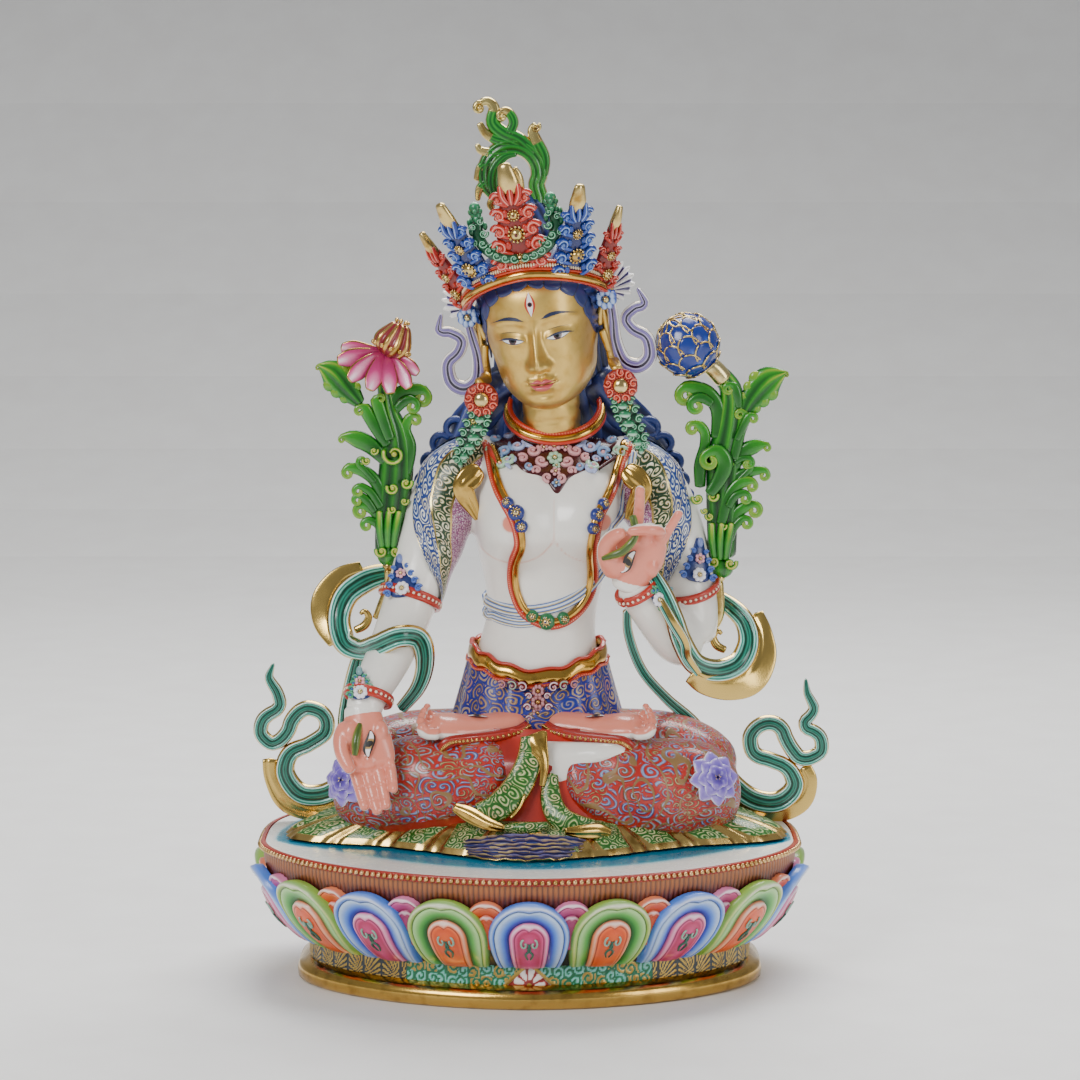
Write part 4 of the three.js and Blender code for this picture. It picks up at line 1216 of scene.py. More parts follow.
def arm_rows():
    right = [(-16, 38, 220, 12, 14), (-36, 38, 211, 18.5, 18), (-47, 36, 196, 21, 20),
             (-56.5, 33, 174, 19, 19), (-64, 27, 150, 16.6, 17), (-71, 18, 130, 15, 15.5),
             (-80, 0, 108, 13.6, 14), (-91.5, -21, 87, 10.8, 9.8), (-95.5, -28, 76, 10.4, 8.8)]
    upper = [(42, 38, 220, 12, 14), (61, 38, 210, 18.5, 18), (73, 36, 194, 20.5, 20),
             (83, 33, 172, 19, 19), (90, 28, 147, 17, 17), (93, 22, 127, 16.2, 16),
             (92, 17, 111, 14.5, 14.5)]
    fore = [(95, 20, 111, 12, 13), (86, 12, 115, 15.4, 15), (75, 1, 128, 13.6, 13.5),
            (60, -12, 147, 10.8, 10), (57, -14, 152, 10.4, 9.4)]
    return right, upper, fore


def body():
    piece = Piece()
    piece.sheet(80, 80, torso_place)
    right, upper, fore = arm_rows()
    piece.limb(right, across=40, along=90)
    piece.limb(upper, across=40, along=70)
    piece.limb(fore, across=40, along=50, depth=UP)
    piece.limb([(-46, 38, 203, 14, 15), (-22, 37, 213, 14, 16), (12, 36, 217, 15, 17),
                (46, 37, 213, 14, 16), (70, 37, 203, 14, 15)], across=40, along=60)
    piece.limb([(-14, -14, 25, 15, 12), (8, -19, 36, 16, 12), (28, -16, 46, 14, 11),
                (50, -9, 56, 6, 8)], across=40, along=50)
    piece.limb([(4, -18, 46, 15, 11), (14, -18, 47, 14.5, 11), (28, -20, 51.5, 9.5, 9),
                (42, -23, 54.5, 6.2, 7.5), (56, -22, 56.5, 3.8, 5.5)], across=40, along=50, depth=BACK)
    skin = remeshed(piece, 2.15, 3)

    def blush(points, normals):
        x, y, z = points.T
        front = y < 20
        value = np.zeros(len(x))
        for centre in (-10.6, 41.9):
            away = np.hypot(x - centre, z - 184.5)
            value = np.maximum(value, np.clip(0.5 + (4.6 - away) * 0.22, 0, 0.9) * front)
        for centre in (-9.5, 37.5):
            dx, dz = (x - centre) / 24.0, (z - 181) / np.where(z < 181, 20.5, 34)
            ring = abs(np.sqrt(dx * dx + dz * dz) - 1.0)
            low = smooth(8, -6, z - 181)
            value = np.maximum(value, 0.46 * bell(ring, 0.055) * low * front)
        cleft = 0.4 * bell(x - 13.7, 1.0) * smooth(168, 174, z) * smooth(205, 196, z) * front
        return np.maximum(value, cleft)

    finish_skin(skin, "body", skin_paint("white_enamel_skin"), "white_enamel", "figure", shade=blush)


def hand_frame(wrist, fingers, palm, side):
    """at(a, b, c) of a hand: a across the palm away from the thumb, b along it, c out of it."""
    wrist = np.array(wrist, float)
    reach = unit(np.array(fingers, float))
    palm = np.array(palm, float)
    face = unit(palm - reach * palm.dot(reach))
    width = np.cross(face, reach) * side

    def at(a, b, c):
        return wrist + width * a + reach * b + face * c

    return at, reach, face


# Each hand: wrist, way of the fingers, way of the palm, side, palm, fingers, thumb, eye and stem
HANDS = {
    "right_hand": (
        (-95, -26, 79.5), (0.17, -0.34, -1), (0, -1, 0), 1,
        ((0, -5, 0, 9.6, 8), (0, 6, 0, 11.5, 8), (0.3, 16, 0, 13.8, 7.6), (0.6, 27, 0, 14.2, 6.4),
         (0.6, 34.5, 0, 13, 5)),
        (((-9.8, 25, 0), (-9.4, 33, 0.6), (-8.2, 42, 1.6), (-7.2, 50, 2.8), (-6.2, 57, 4.4)),
         ((-3, 25, 0), (-2.6, 34, 0.4), (-1.6, 44, 1.2), (-0.6, 53, 2.4), (0.4, 60.5, 4.2)),
         ((4.2, 25, 0), (4.2, 33.5, 0.6), (4.8, 43, 1.6), (5.4, 51.5, 3), (5.8, 58.5, 5)),
         ((10.8, 22, 0), (11.0, 29.5, 1), (11.4, 37, 2.2), (11.4, 44, 3.8), (11.2, 50, 5.8))),
        ((-8, 6, 1, 6), (-12.8, 14, 3.4, 5.8), (-14.2, 22, 6, 4.6), (-12.6, 29, 8, 3.9),
         (-10, 35, 9, 3.2)),
        ((1.8, 20.5), 98, 8.4),
        ((-1.6, 8, 7, 1.4), (-3.6, 13, 9, 2.2), (-5.6, 19, 9.8, 2.4), (-7.2, 26, 9, 1.6))),
    "left_hand": (
        (57, -14.5, 151), (0.27, -0.2, 1), (0.05, -1, 0), -1,
        ((0, -5, 0, 9.6, 8), (0, 5, 0, 11.5, 8.2), (0, 14, 0, 15, 7.8), (0.6, 24, 0, 14.6, 6.8),
         (1, 32, 0, 12.6, 5.2)),
        (((-3.6, 26, -1), (-4.6, 34, -2), (-6.2, 43, -1.6), (-8.0, 51, -0.4), (-9.8, 58, 1.6)),
         ((1.6, 27, 0), (2.6, 35, 2.6), (1.0, 37.4, 8), (-4.2, 36.4, 10.6), (-8, 35.4, 9)),
         ((6.2, 26, 0), (8.0, 33, 3.2), (6.6, 37.6, 8.8), (0.6, 38, 12.6), (-5.6, 36, 13),
          (-10.6, 33.6, 12)),
         ((9.8, 23, 0), (11.0, 30, 1.4), (12.6, 37.5, 2.4), (14.2, 44, 2.8), (16, 50.5, 2.4))),
        ((-7, 4, 2, 7), (-15, 12, 4, 6.8), (-19, 20.5, 6, 5.4), (-17, 28, 9, 4.4),
         (-12, 33.4, 11.4, 3.4)),
        ((-5.4, 15.4), 67, 9.2),
        ((-20.5, 13.4, 10, 1.2), (-15.6, 17.6, 12, 2.1), (-10.8, 21.4, 12.6, 2.5),
         (-7.2, 27.4, 12.6, 2.4), (-5.6, 32.6, 11, 1.8), (-8, 38.6, 9, 2.2), (-10.4, 42.4, 7, 2.0))),
}


def hands():
    """The lowered open hand and the raised hand, with salmon palms."""
    for name, (wrist, fingers, palm, side, middle, digits, thumb, eye, stem) in HANDS.items():
        at, reach, face = hand_frame(wrist, fingers, palm, side)
        piece = Piece()
        piece.limb([(*at(a, b, c), w, d) for a, b, c, w, d in middle], across=26, along=30,
                   depth=face, blunt=0.35)
        for a, b, c, size in ((-8, 13, 3.6, 7), (8.2, 14, 2.8, 6), (0, 30, 2.4, 5.4)):
            piece.ball(at(a, b, c), (size * 0.9, size * 0.9, size * 1.2), across=14, along=10)
        for points, thick in zip(digits, (3.3, 3.4, 3.3, 2.9)):
            shares = np.linspace(0, 1, len(points))
            girths = thick * np.interp(shares, [0, 0.3, 0.6, 1], [1.12, 1.0, 0.96, 0.84])
            piece.limb([(*at(*point), g, g * 0.94) for point, g in zip(points, girths)],
                       across=12, along=30, depth=face, blunt=0.9)
        piece.limb([(*at(a, b, c), g, g) for a, b, c, g in thumb], across=14, along=30, depth=face,
                   blunt=0.8)
        skin = remeshed(piece, 0.84, 1)

        def salmon(points, normals, at=at, reach=reach, face=face):
            away = (points - at(0, 0, 0)) @ reach
            facing = normals @ face
            return np.clip(0.5 + (facing - 0.3) * 1.7, 0, 1) * smooth(2.0, 3.0, away)

        def creases(points, normals, at=at, reach=reach, face=face):
            away = (points - at(0, 0, 0)) @ reach
            deep = (0.5 * bell(away - 34.5, 0.8) + 0.4 * bell(away - 43.5, 0.7)
                    + 0.35 * bell(away - 51.5, 0.7))
            return points - normals * (deep * smooth(0.4, 0.8, normals @ face))[:, None]

        finish_skin(skin, name, skin_paint(f"{name}_enamel"), "white_enamel", "figure",
                    shade=salmon, change=creases)
        painted_eye(f"{name}_eye", at, *eye)
        held = Piece()
        held.limb([(*at(a, b, c), g, g * 0.9) for a, b, c, g in stem], across=14, along=36, blunt=0.3,
                  shade=lambda u, v: ribbed(2 * TAU * u),
                  gilt=lambda u, v: smooth(0.2, 0.7, np.sin(TAU * u + 0.6)))
        held.finish(f"{name}_stem", painted(
            "stem_paint", [(0, "38521a"), (1, "87963a")], gold="c2ad58"), "green_paint", "figure")


def painted_eye(name, at, middle, turn, height, size=1.0):
    """An eye painted on a palm or a sole, laid on as a thin raised patch."""
    eye = Piece()
    turn = math.radians(turn)

    def patch(u, v):
        t = (u - 0.5) * 2
        lid = 3.1 * (1 - t * t) ** 0.8
        return t * 8 * size, (v - 0.5) * 2 * lid * size + 1.1 * size * np.sin(t * 2.6)

    def place(u, v):
        along, across = patch(u, v)
        a = middle[0] + along * math.cos(turn) - across * math.sin(turn)
        b = middle[1] + along * math.sin(turn) + across * math.cos(turn)
        lift = height + 0.5 * (1 - ((u - 0.5) * 2) ** 2) - 0.012 * (a - middle[0]) ** 2
        return np.array([at(p, q, r) for p, q, r in zip(a, b, lift)])

    def shade(u, v):
        away = np.hypot((u - 0.5) * 16, (v - 0.5) * 5.2)
        line = np.maximum(smooth(0.68, 0.8, v), 0.9 * smooth(0.24, 0.12, v))
        line = np.maximum(line, smooth(0.86, 0.94, abs(u - 0.5) * 2))
        return np.maximum(np.maximum(0.5 * smooth(3.4, 3.0, away), line), smooth(2.0, 1.6, away))

    eye.sheet(34, 18, place, shade=shade)
    eye.finish(name, painted(
        "painted_eye", [(0, "f6f2f4"), (0.3, "e6cfd2"), (0.5, "b08a4a"), (0.62, "5a3a20"),
                        (0.8, "14100e"), (1, "0c0a0a")], mottling=0.04), "white_enamel", "figure")


def feet():
    """The two feet with upturned salmon soles, curled toes and beaded anklets."""
    piece = Piece()
    roll = (0, 1, 0.22)
    for side in (-1, 1):
        piece.limb(mirrored([
            (6, 3, 66.5, 5.4, 8.5), (13, 2, 67.5, 7.0, 10.4), (24, -1, 67.5, 6.0, 10.4),
            (36, -5, 67, 5.6, 11), (48, -9, 67.5, 6.8, 12.8), (57, -11, 68, 6.4, 12.4),
            (61, -11, 68, 5, 11)], side, MIDLINE), across=30, along=50, depth=roll)
        for toe, (out, girth, lift) in enumerate((
                (59.5, 3.8, 4.6), (61, 2.9, 5.6), (60.5, 2.7, 6.2), (59.5, 2.6, 6.4), (58, 2.4, 6.2))):
            y, z = -22.5 + toe * 5.7, 65.6 + toe * 1.5
            piece.limb(mirrored([
                (out - 5, y, z, girth, girth), (out + 2.6, y - 0.4, z + 0.6, girth, girth),
                (out + 5.4, y - 0.6, z + lift * 0.6, girth * 0.96, girth),
                (out + 3.8, y - 0.4, z + lift + 1.6, girth * 0.8, girth * 0.9)], side, MIDLINE),
                across=12, along=18, blunt=0.8)
    skin = remeshed(piece, 1.0, 1)

    def salmon(points, normals):
        up = normals[:, 2] - 0.25 * normals[:, 1]
        return np.clip(0.5 + (up - 0.3) * 1.8, 0, 1)

    finish_skin(skin, "feet", skin_paint("foot_enamel"), "white_enamel", "figure", shade=salmon)
    anklets = Piece()
    for side, word in SIDES:
        rows = [(MIDLINE + side * a, b, c, 2.3, 2.3) for a, b, c in (
            (4, -8, 68), (10, -13, 65), (24, -16.5, 62.5), (38, -20, 61.5), (48, -23.5, 61),
            (53, -24, 58), (56, -20, 54))]
        anklets.limb(rows, across=10, along=44, shade=0.6)
        path = spline([(r[0], r[1] - 2.2, r[2] + 0.2) for r in rows], np.linspace(0, 1, 30))
        anklets.beads(path, 1.3, gilt=0.8, shade=0.4)
        under = [(r[0], r[1] + 1.6, r[2], 3.8, 1.6) for r in rows]
        anklets.limb(under, across=10, along=30, shade=0.2)

        def sole(a, b, c, side=side):
            return np.array([MIDLINE + side * (34 + a), -5 + b * 0.97, 71 + c + b * 0.1])

        painted_eye(f"{word}_sole_eye", sole, (0, -1), 0, 2.2, 0.8)
    anklets.finish("anklets", painted("anklet_paint", [(0, "8e1d14"), (1, "b8301e")], gold="c89a58"),
                   "red_paint", "figure")


# Head, face and hair

HEAD = (Matrix.Translation((7, 19, 295)) @ Matrix.Rotation(math.radians(-9), 4, "Y")
        @ Matrix.Rotation(math.radians(8), 4, "X") @ Matrix.Rotation(math.radians(-7), 4, "Z"))
EAR_LINE = 6.0
EARRING_PLACE = {-1: (-27.5, 8, 254), 1: (52, 8, 262)}
HEAD_ROWS = np.array([
    (-45, 4, -16, -6), (-43.4, 11, -23, 0), (-39.5, 18.5, -29.5, 4), (-33, 24.2, -33.2, 10),
    (-26, 27.4, -34.8, 17), (-17, 29, -35.8, 27), (-7, 31, -36.4, 35), (3, 32.6, -36.8, 40),
    (14, 34, -36.8, 42), (26, 32.5, -34.5, 40), (35, 27.5, -28.5, 33), (43, 20, -18, 24),
    (48.5, 11, -8, 15), (50.5, 3, 2, 8)], float)
GILT_SKIN = [(0, "a8823c"), (1, "dcb967")]


def head_size(z):
    """The head's half width, front and back at each height."""
    dense = spline(HEAD_ROWS, np.linspace(0, 1, 500))
    return [np.interp(z, dense[:, 0], dense[:, k]) for k in (1, 2, 3)]


def spot(x, z, at_x, at_z, width, height):
    """1 at one place of the face, falling away over a width and a height."""
    return np.exp(-((x - at_x) / width) ** 2 - ((z - at_z) / height) ** 2)


def eye_lids(across):
    """The heights of the upper and the lower lid's edge, from the inner corner at -1 to 1."""
    rise = 0.5 * across
    return 1.3 + 1.15 * (1 - across ** 2) + rise, 1.3 - 1.75 * (1 - across ** 2) + rise


def mouth_line(side):
    return -25.4 + 1.0 * (side / 8.5) ** 2


def face_relief(x, z):
    """How far the calm, even face stands out of the plain head at x and z."""
    side = abs(x)
    brow = 9.5 + 3.4 * np.sin(math.pi * np.clip((side - 2) / 24, 0, 1))
    out = 1.0 * bell(z - brow + 0.8, 2.4) * smooth(2, 8, side) * smooth(27, 20, side)
    out -= 2.5 * spot(side, z, 13.5, 4.5, 9.5, 5.5)
    out -= 1.2 * spot(side, z, 4.5, 4.5, 2.6, 5.0)
    out += 3.2 * spot(side, z, 13.2, 1.6, 7.6, 4.6)
    upper, lower = eye_lids(np.clip((side - 13) / 6.8, -1, 1))
    inside = smooth(7.2, 6.4, abs(side - 13))
    out += 0.55 * bell(z - upper - 0.6, 0.7) * inside
    out += 0.35 * bell(z - lower + 0.6, 0.7) * inside
    out -= 0.5 * bell(z - upper - 3.6, 0.6) * smooth(8.5, 6, abs(side - 13))
    ridge = np.interp(z, [-19, -17.5, -16, -13, -10, -5, 0, 4, 8, 12],
                      [0, 4.4, 8.6, 10.4, 9.6, 6.6, 3.8, 2.1, 1.0, 0])
    breadth = np.interp(z, [-19, -15, -11, -5, 2, 9], [3.6, 4.3, 3.9, 3.0, 2.7, 3.4])
    out += ridge * np.exp(-(side / breadth) ** 2)
    out += 3.4 * spot(side, z, 5.2, -14.6, 2.3, 2.7)
    out -= 1.6 * spot(side, z, 2.7, -18.0, 1.4, 1.2)
    out += 1.5 * spot(side, z, 17, -11, 9, 9)
    out += 2.6 * spot(x, z, 0, -25, 12, 7.5)
    line = mouth_line(side)
    wide = smooth(9.4, 6.5, side)
    bow = 0.7 * bell(side - 2.6, 1.8) - 0.5 * bell(side, 1.3)
    out += 2.1 * bell(z - line - 1.7 - bow * 0.5, 1.35) * wide
    out += 2.5 * bell(z - line + 2.2, 1.8) * smooth(8.0, 3.5, side)
    out -= 1.9 * bell(z - line, 0.55) * smooth(9.6, 8.4, side)
    out -= 0.9 * spot(side, z, 9.8, -24.2, 1.6, 1.8)
    out -= 0.7 * spot(x, z, 0, -20.6, 1.3, 2.2)
    out -= 1.5 * spot(x, z, 0, -32.2, 7.5, 2.2)
    return out + 2.6 * spot(x, z, 0, -37, 8.5, 4.6)


def face_front(x, z):
    """The depth of the face's surface at x and z."""
    width, front, _ = head_size(z)
    across = np.clip(abs(x) / width, 0, 0.999) ** (1 / 0.9)
    ahead = np.sqrt(1 - across ** 2)
    return EAR_LINE - (EAR_LINE - front) * ahead ** 0.85 - face_relief(x, z) * smooth(0.12, 0.5, ahead)


def head_place(u, v):
    s = 2 * u - 1
    turn = math.pi * (0.48 * s + 0.52 * s ** 3)
    z = mix(HEAD_ROWS[0, 0] + 0.05, HEAD_ROWS[-1, 0] - 0.05, v)
    width, front, back = head_size(z)
    across, ahead = np.sin(turn), np.cos(turn)
    x = width * signed_power(across, 0.9)
    y = np.where(ahead > 0, EAR_LINE - (EAR_LINE - front) * abs(ahead) ** 0.85,
                 EAR_LINE + (back - EAR_LINE) * abs(ahead))
    y = y - face_relief(x, z) * smooth(0.12, 0.5, ahead)
    return np.stack([x, y, z], axis=1)


def head():
    piece = Piece()
    piece.sheet(168, 132, head_place, turn=HEAD, gilt=1, shade=1)

    def ringed(u, v):
        place = limb_place([(13, 38, 216, 22, 18), (13, 35, 232, 17.5, 16), (12.5, 31, 248, 16.6, 16),
                            (11, 27, 266, 17, 17)])
        points = place(u, v)
        level = points[:, 2] - 0.12 * (points[:, 0] - 13) + 0.25 * (points[:, 1] - 32)
        groove = sum(bell(level - at, 0.9) for at in (228, 236.5, 245))
        middle = np.array([12.5, 33, 0.0])
        outward = unit((points - middle) * (1, 1, 0))
        return points - outward * (0.9 * groove)[:, None]

    piece.sheet(48, 50, ringed, gilt=1, shade=1)
    for side in (-1, 1):
        hang = HEAD.inverted() @ Vector(EARRING_PLACE[side])
        lobe = (hang.x, hang.y + 1.0, hang.z + 9)
        bowl = mirrored([(32, 4, 12, 2, 3), (35.5, 6, 8, 2.6, 6.5), (36.2, 6, -4, 2.4, 6.2),
                         (36, 5, -15, 2.2, 4.8), (36.5, 4, -26, 2.3, 3.8)], side)
        rim = mirrored([(33, 0, -4), (34.5, -1.5, 4), (36.3, 1.5, 12), (37.6, 7, 14.5), (38.8, 12, 9),
                        (38.8, 12.2, -1), (38.2, 10, -12), (38.2, 7.4, -24)], side)
        rim.append((lobe[0] + side * 0.6, lobe[1] + 2.6, lobe[2]))
        lip = mirrored(
            [(34, -0.5, -6, 2.2, 2.2), (35, 0, -12, 2.2, 2.2), (36, 1, -20, 1.6, 1.6)], side)
        for rows, across, along in (([*bowl, (*lobe, 2.3, 3.4)], 22, 40),
                                    ([(*spot, 1.7, 1.5) for spot in rim], 12, 60), (lip, 12, 16)):
            piece.limb(rows, across=across, along=along, turn=HEAD, gilt=1, shade=1)
    paint = painted("gilt_skin", GILT_SKIN, gold="e0bb66", worn="d3aa55",
                    gold_gloss=0.43, mottling=0.03, grain=0.01)
    piece.finish("head", paint, "gilding", "figure")


def face_patch(piece, along, across, curve, lift=0.1, **marks):
    """A thin layer of paint on the face: curve(u, v) gives its x and z."""
    def place(u, v):
        x, z = curve(u, v)
        return np.stack([x, face_front(x, z) - lift, z], axis=1)

    piece.sheet(along, across, place, turn=HEAD, **marks)


def face_paint():
    """The painted eyes, brows, mouth and the third eye."""
    eyes, lines, mouth = Piece(), Piece(), Piece()
    for side in (-1, 1):
        def opening(u, v):
            t = 2 * u - 1
            upper, lower = eye_lids(t)
            return side * (13 + 6.6 * t), mix(lower, upper, v)

        def eye_shade(u, v):
            x, z = opening(u, v)
            away = np.hypot(abs(x) - 12.9, z - 1.7)
            iris = smooth(2.5, 2.2, away)
            pupil = smooth(1.3, 1.1, away)
            corner = 0.22 * smooth(0.75, 1.0, abs(2 * u - 1))
            return np.maximum(np.maximum(0.55 * iris, pupil), corner)

        face_patch(eyes, 64, 20, opening, shade=eye_shade)

        def lash(u, v):
            t = mix(-1.06, 1.32, u)
            upper = eye_lids(np.clip(t, -1.1, 1.1))[0] - 0.5 * smooth(1, 1.3, t)
            thick = 1.05 * smooth(0, 0.3, u) * smooth(1.0, 0.75, u) + 0.16
            return side * (13 + 6.6 * t), upper + (v - 0.35) * thick

        def lower_line(u, v):
            t = mix(-0.95, 1.05, u)
            lower = eye_lids(np.clip(t, -1, 1))[1]
            thick = 0.34 * smooth(0, 0.3, u) * smooth(1.0, 0.7, u) + 0.05
            return side * (13 + 6.6 * t), lower + (v - 0.6) * thick

        def brow(u, v):
            reach = mix(4.6, 25, u)
            height = 10.2 + 4.0 * np.sin(math.pi * np.clip((reach - 2) / 25, 0, 1) ** 0.9)
            thick = 1.9 * smooth(0, 0.22, u) * smooth(1.0, 0.35, u) + 0.12
            return side * reach, height + (v - 0.5) * thick

        def fold(u, v):
            t = mix(-0.8, 1.1, u)
            upper = eye_lids(np.clip(t, -1, 1.1))[0]
            return side * (13 + 6.8 * t), upper + 3.4 + (v - 0.5) * 0.28 * np.sin(math.pi * u)

        for curve in (lash, lower_line, brow, fold):
            face_patch(lines, 60, 3, curve, lift=0.16, shade=0.9)

    def third(u, v):
        t = 2 * u - 1
        return (v - 0.5) * 6.2 * (1 - abs(t) ** 1.7), 21 + 6.8 * t

    def third_shade(u, v):
        x, z = third(u, v)
        away = np.hypot(x, z - 21)
        edge = smooth(0.22, 0.34, abs(v - 0.5))
        return np.maximum(np.maximum(0.55 * smooth(1.5, 1.3, away), smooth(0.8, 0.65, away)),
                          0.42 * edge)

    face_patch(eyes, 40, 16, third, lift=0.14, shade=third_shade)

    def lips(u, v):
        t = 2 * u - 1
        side = abs(t) * 8.6
        line = mouth_line(side)
        taper = np.clip(1 - abs(t) ** 2.4, 0, 1)
        bow = 0.75 * bell(side - 2.4, 1.9) - 0.55 * bell(side, 1.2)
        top = line + (2.7 + bow) * taper
        low = line - 4.2 * np.clip(1 - abs(t) ** 2.0, 0, 1) * taper
        return t * 8.6, mix(low, top, v)

    def lip_shade(u, v):
        x, z = lips(u, v)
        return 1 - 0.9 * bell(z - mouth_line(abs(x)), 0.45)

    face_patch(mouth, 60, 36, lips, lift=0.12, shade=lip_shade)
    eyes.finish("painted_eyes", painted(
        "eye_paint", [(0, "f2f3f4"), (0.2, "ded3cb"), (0.36, "c0402e"), (0.46, "b8392a"),
                      (0.52, "4a3a38"), (0.62, "2c2a38"), (0.85, "10131c"), (1, "090a10")],
        gloss=0.18, mottling=0.03), "white_enamel", "figure")
    lines.finish("brows_and_lashes", painted(
        "line_paint", [(0, "10182a"), (1, "1a2748")], gloss=0.4), "white_enamel", "figure")
    mouth.finish("painted_lips", painted(
        "lip_paint", [(0, "6e1f1e"), (1, "c2545a")], gloss=0.3, mottling=0.08), "red_paint", "figure")


def hair():
    """The combed hair with its scalloped fringe, the topknot, the back hair and the locks."""
    piece = Piece()
    lobes_in_all = 14
    centre = np.array([0.0, 4.0, 9.0])
    radii = np.array([36.6, 42.8, 46.2])

    def cap(u, v):
        angle = TAU * u
        up = np.sin(angle)
        edge = np.where(
            up > 0, mix(64, 42, smooth(0, 1, up)), mix(64, 118, smooth(0.12, 0.75, -up)))
        tilt = mix(np.radians(edge), math.pi, v ** 1.1)
        strands = 0.55 * np.sin(angle * 46 + 3 * np.sin(v * 9))
        way = np.stack(
            [np.sin(tilt) * np.cos(angle), -np.cos(tilt), np.sin(tilt) * np.sin(angle)], axis=1)
        squeeze = np.where(way[:, 2] < 0, 0.93, 1.0)
        return centre + way * radii * squeeze[:, None] + way * strands[:, None]

    # The shade mark follows the strands: painted shade in the grooves between them.
    piece.sheet(220, 30, cap, turn=HEAD,
                shade=lambda u, v: 0.5 + 0.5 * np.sin(TAU * u * 46 + 3 * np.sin(v * 9)))
    inner, outer = (even([*half, middle, *mirrored(half[::-1], -1)]) for half, middle in (
        ([(31.6, -15), (30.4, -7), (29.2, 3), (27.2, 13), (22.5, 21.5), (15, 26.5), (7, 28.8)],
         (0, 30.6)),
        ([(32.2, -15), (32.6, -7), (33.4, 3), (33.8, 14), (31.5, 28), (24, 38), (12, 43)],
         (0, 44.5))))

    def fringe(u, v):
        lobe = np.sin(math.pi * lobes_in_all * u)
        lobes = abs(lobe) ** 0.55 * smooth(0.12, 0.2, abs(u - 0.5) * -1 + 0.5)
        share = mix(-0.13 * lobes + 0.06, 1.0, v)
        points = mix(spline(inner, u), spline(outer, u), share[:, None])
        x, z = points.T
        thick = 2.0 * np.sqrt(np.clip(v / 0.14, 0, 1)) - 0.5 - 0.35 * bell(lobe, 0.12)
        return np.stack([x, face_front(x, z) - thick, z], axis=1)

    # Darker between the fringe's lobes, where it dips: painted shade.
    piece.sheet(280, 12, fringe, turn=HEAD,
                shade=lambda u, v: 0.5 - 0.5 * bell(np.sin(math.pi * lobes_in_all * u), 0.1))

    def combed(rows, count, depth, **options):
        def strand(u, v):
            return TAU * (u * count + 0.6 * np.sin(v * 7))

        def section(u, v):
            ripple = 1 + depth * np.cos(strand(u, v))
            return np.cos(TAU * u) * ripple, np.sin(TAU * u) * ripple

        # Darker in the grooves between the strands: painted shade.
        piece.limb(rows, section=section, shade=lambda u, v: ribbed(strand(u, v)), **options)

    combed([(0, 8, 44, 17, 17), (0, 11, 56, 17.5, 17.5), (0, 14, 68, 14, 14), (0, 15, 76, 6, 6)],
           20, 0.035, across=120, along=14, turn=HEAD)
    combed([(10, 42, 312, 34, 20), (12, 50, 278, 32, 17), (13, 54, 240, 36, 13.5),
            (13, 57, 206, 40, 10), (13, 58, 196, 36, 5)], 30, 0.03, across=150, along=22)
    middle = 13
    for side in (-1, 1):
        for rows in (
                [(22, 46, 264, 12, 8), (42, 50, 242, 11, 7), (58, 50, 224, 9, 6), (70, 50, 206, 7, 5),
                 (77, 50, 196, 3, 3)],
                [(16, 48, 262, 10, 7), (34, 54, 230, 10, 7), (50, 54, 210, 8, 5),
                 (62, 53, 196, 3, 3)]):
            combed(mirrored(rows, side, middle), 6, 0.12, across=30, along=28)
        for x, z, size in (
                (57, 233, 6.5), (65, 224, 6.5), (71, 213, 6), (75, 202, 5.5), (79, 194, 4)):
            lock = arc(middle + side * x, 47, z, size, 90 + side * 60, -side * 0.95, 9, size * 0.36,
                       0.35, 2.6)
            # The locks are lighter on their fronts: a painted highlight.
            piece.limb(lock, across=8, along=22,
                       shade=lambda u, v: smooth(-0.2, 0.9, -np.sin(TAU * u)))
    piece.finish("hair", painted("hair_paint", [(0, "0c1233"), (0.5, "1b2a63"), (1, "2c4186")],
                                 gloss=0.42, mottling=0.12), "lotus_paint", "figure")


# Crown, finial and earrings

RED_CARVING = [(0, "5e0d0a"), (0.3, "a8241a"), (0.74, "c43a28"), (0.9, "dc7864"), (1, "f3c6b8")]
BLUE_CARVING = [(0, "0a1444"), (0.3, "1a3484"), (0.74, "2c56ac"), (0.9, "7da2da"), (1, "dce8f6")]
GREEN_CARVING = [(0, "06281a"), (0.3, "125c34"), (0.74, "2b8458"), (0.9, "8cc8a4"), (1, "e2f2e0")]


def crest(u, v):
    """The light that the painter laid along the front of a curl."""
    return 0.3 + 0.7 * bell(u % 1 - 0.75, 0.06)


def tipped(u, v):
    """Lighter towards the top."""
    return 0.3 + 0.7 * smooth(0.4, 0.9, v)


def curl(piece, x, y, z, radius, start, turns, girth, turn=None, **marks):
    """A spiral with a ball in its middle."""
    # By default the shade mark is the painted highlight along the curl's front.
    marks = {"shade": crest, **marks}
    rows = arc(x, y, z, radius, start, turns, 10, girth, 0.3, girth * 1.15)
    piece.limb(rows, across=8, along=16, turn=turn, **marks)
    gilt = {key: mark for key, mark in marks.items() if key == "gilt"}
    piece.ball((x, y - 0.3, z), girth, 8, 6, turn=turn, shade=0.8, **gilt)


def jewel(piece, x, y, z, radius, turn=None, beads=12):
    """A gilt boss in a ring of small beads, with a dark pit in its middle."""
    for point, _ in circle(x, y, z, radius, beads):
        piece.ball(point, radius * 0.2, 6, 4, turn=turn, gilt=1)
    boss = (radius * 0.82, radius * 0.62, radius * 0.82)
    piece.ball((x, y + 0.2, z), boss, 14, 8, turn=turn, gilt=1)
    piece.ball((x, y - radius * 0.5, z), radius * 0.24, 8, 6, turn=turn, shade=0, gilt=0)


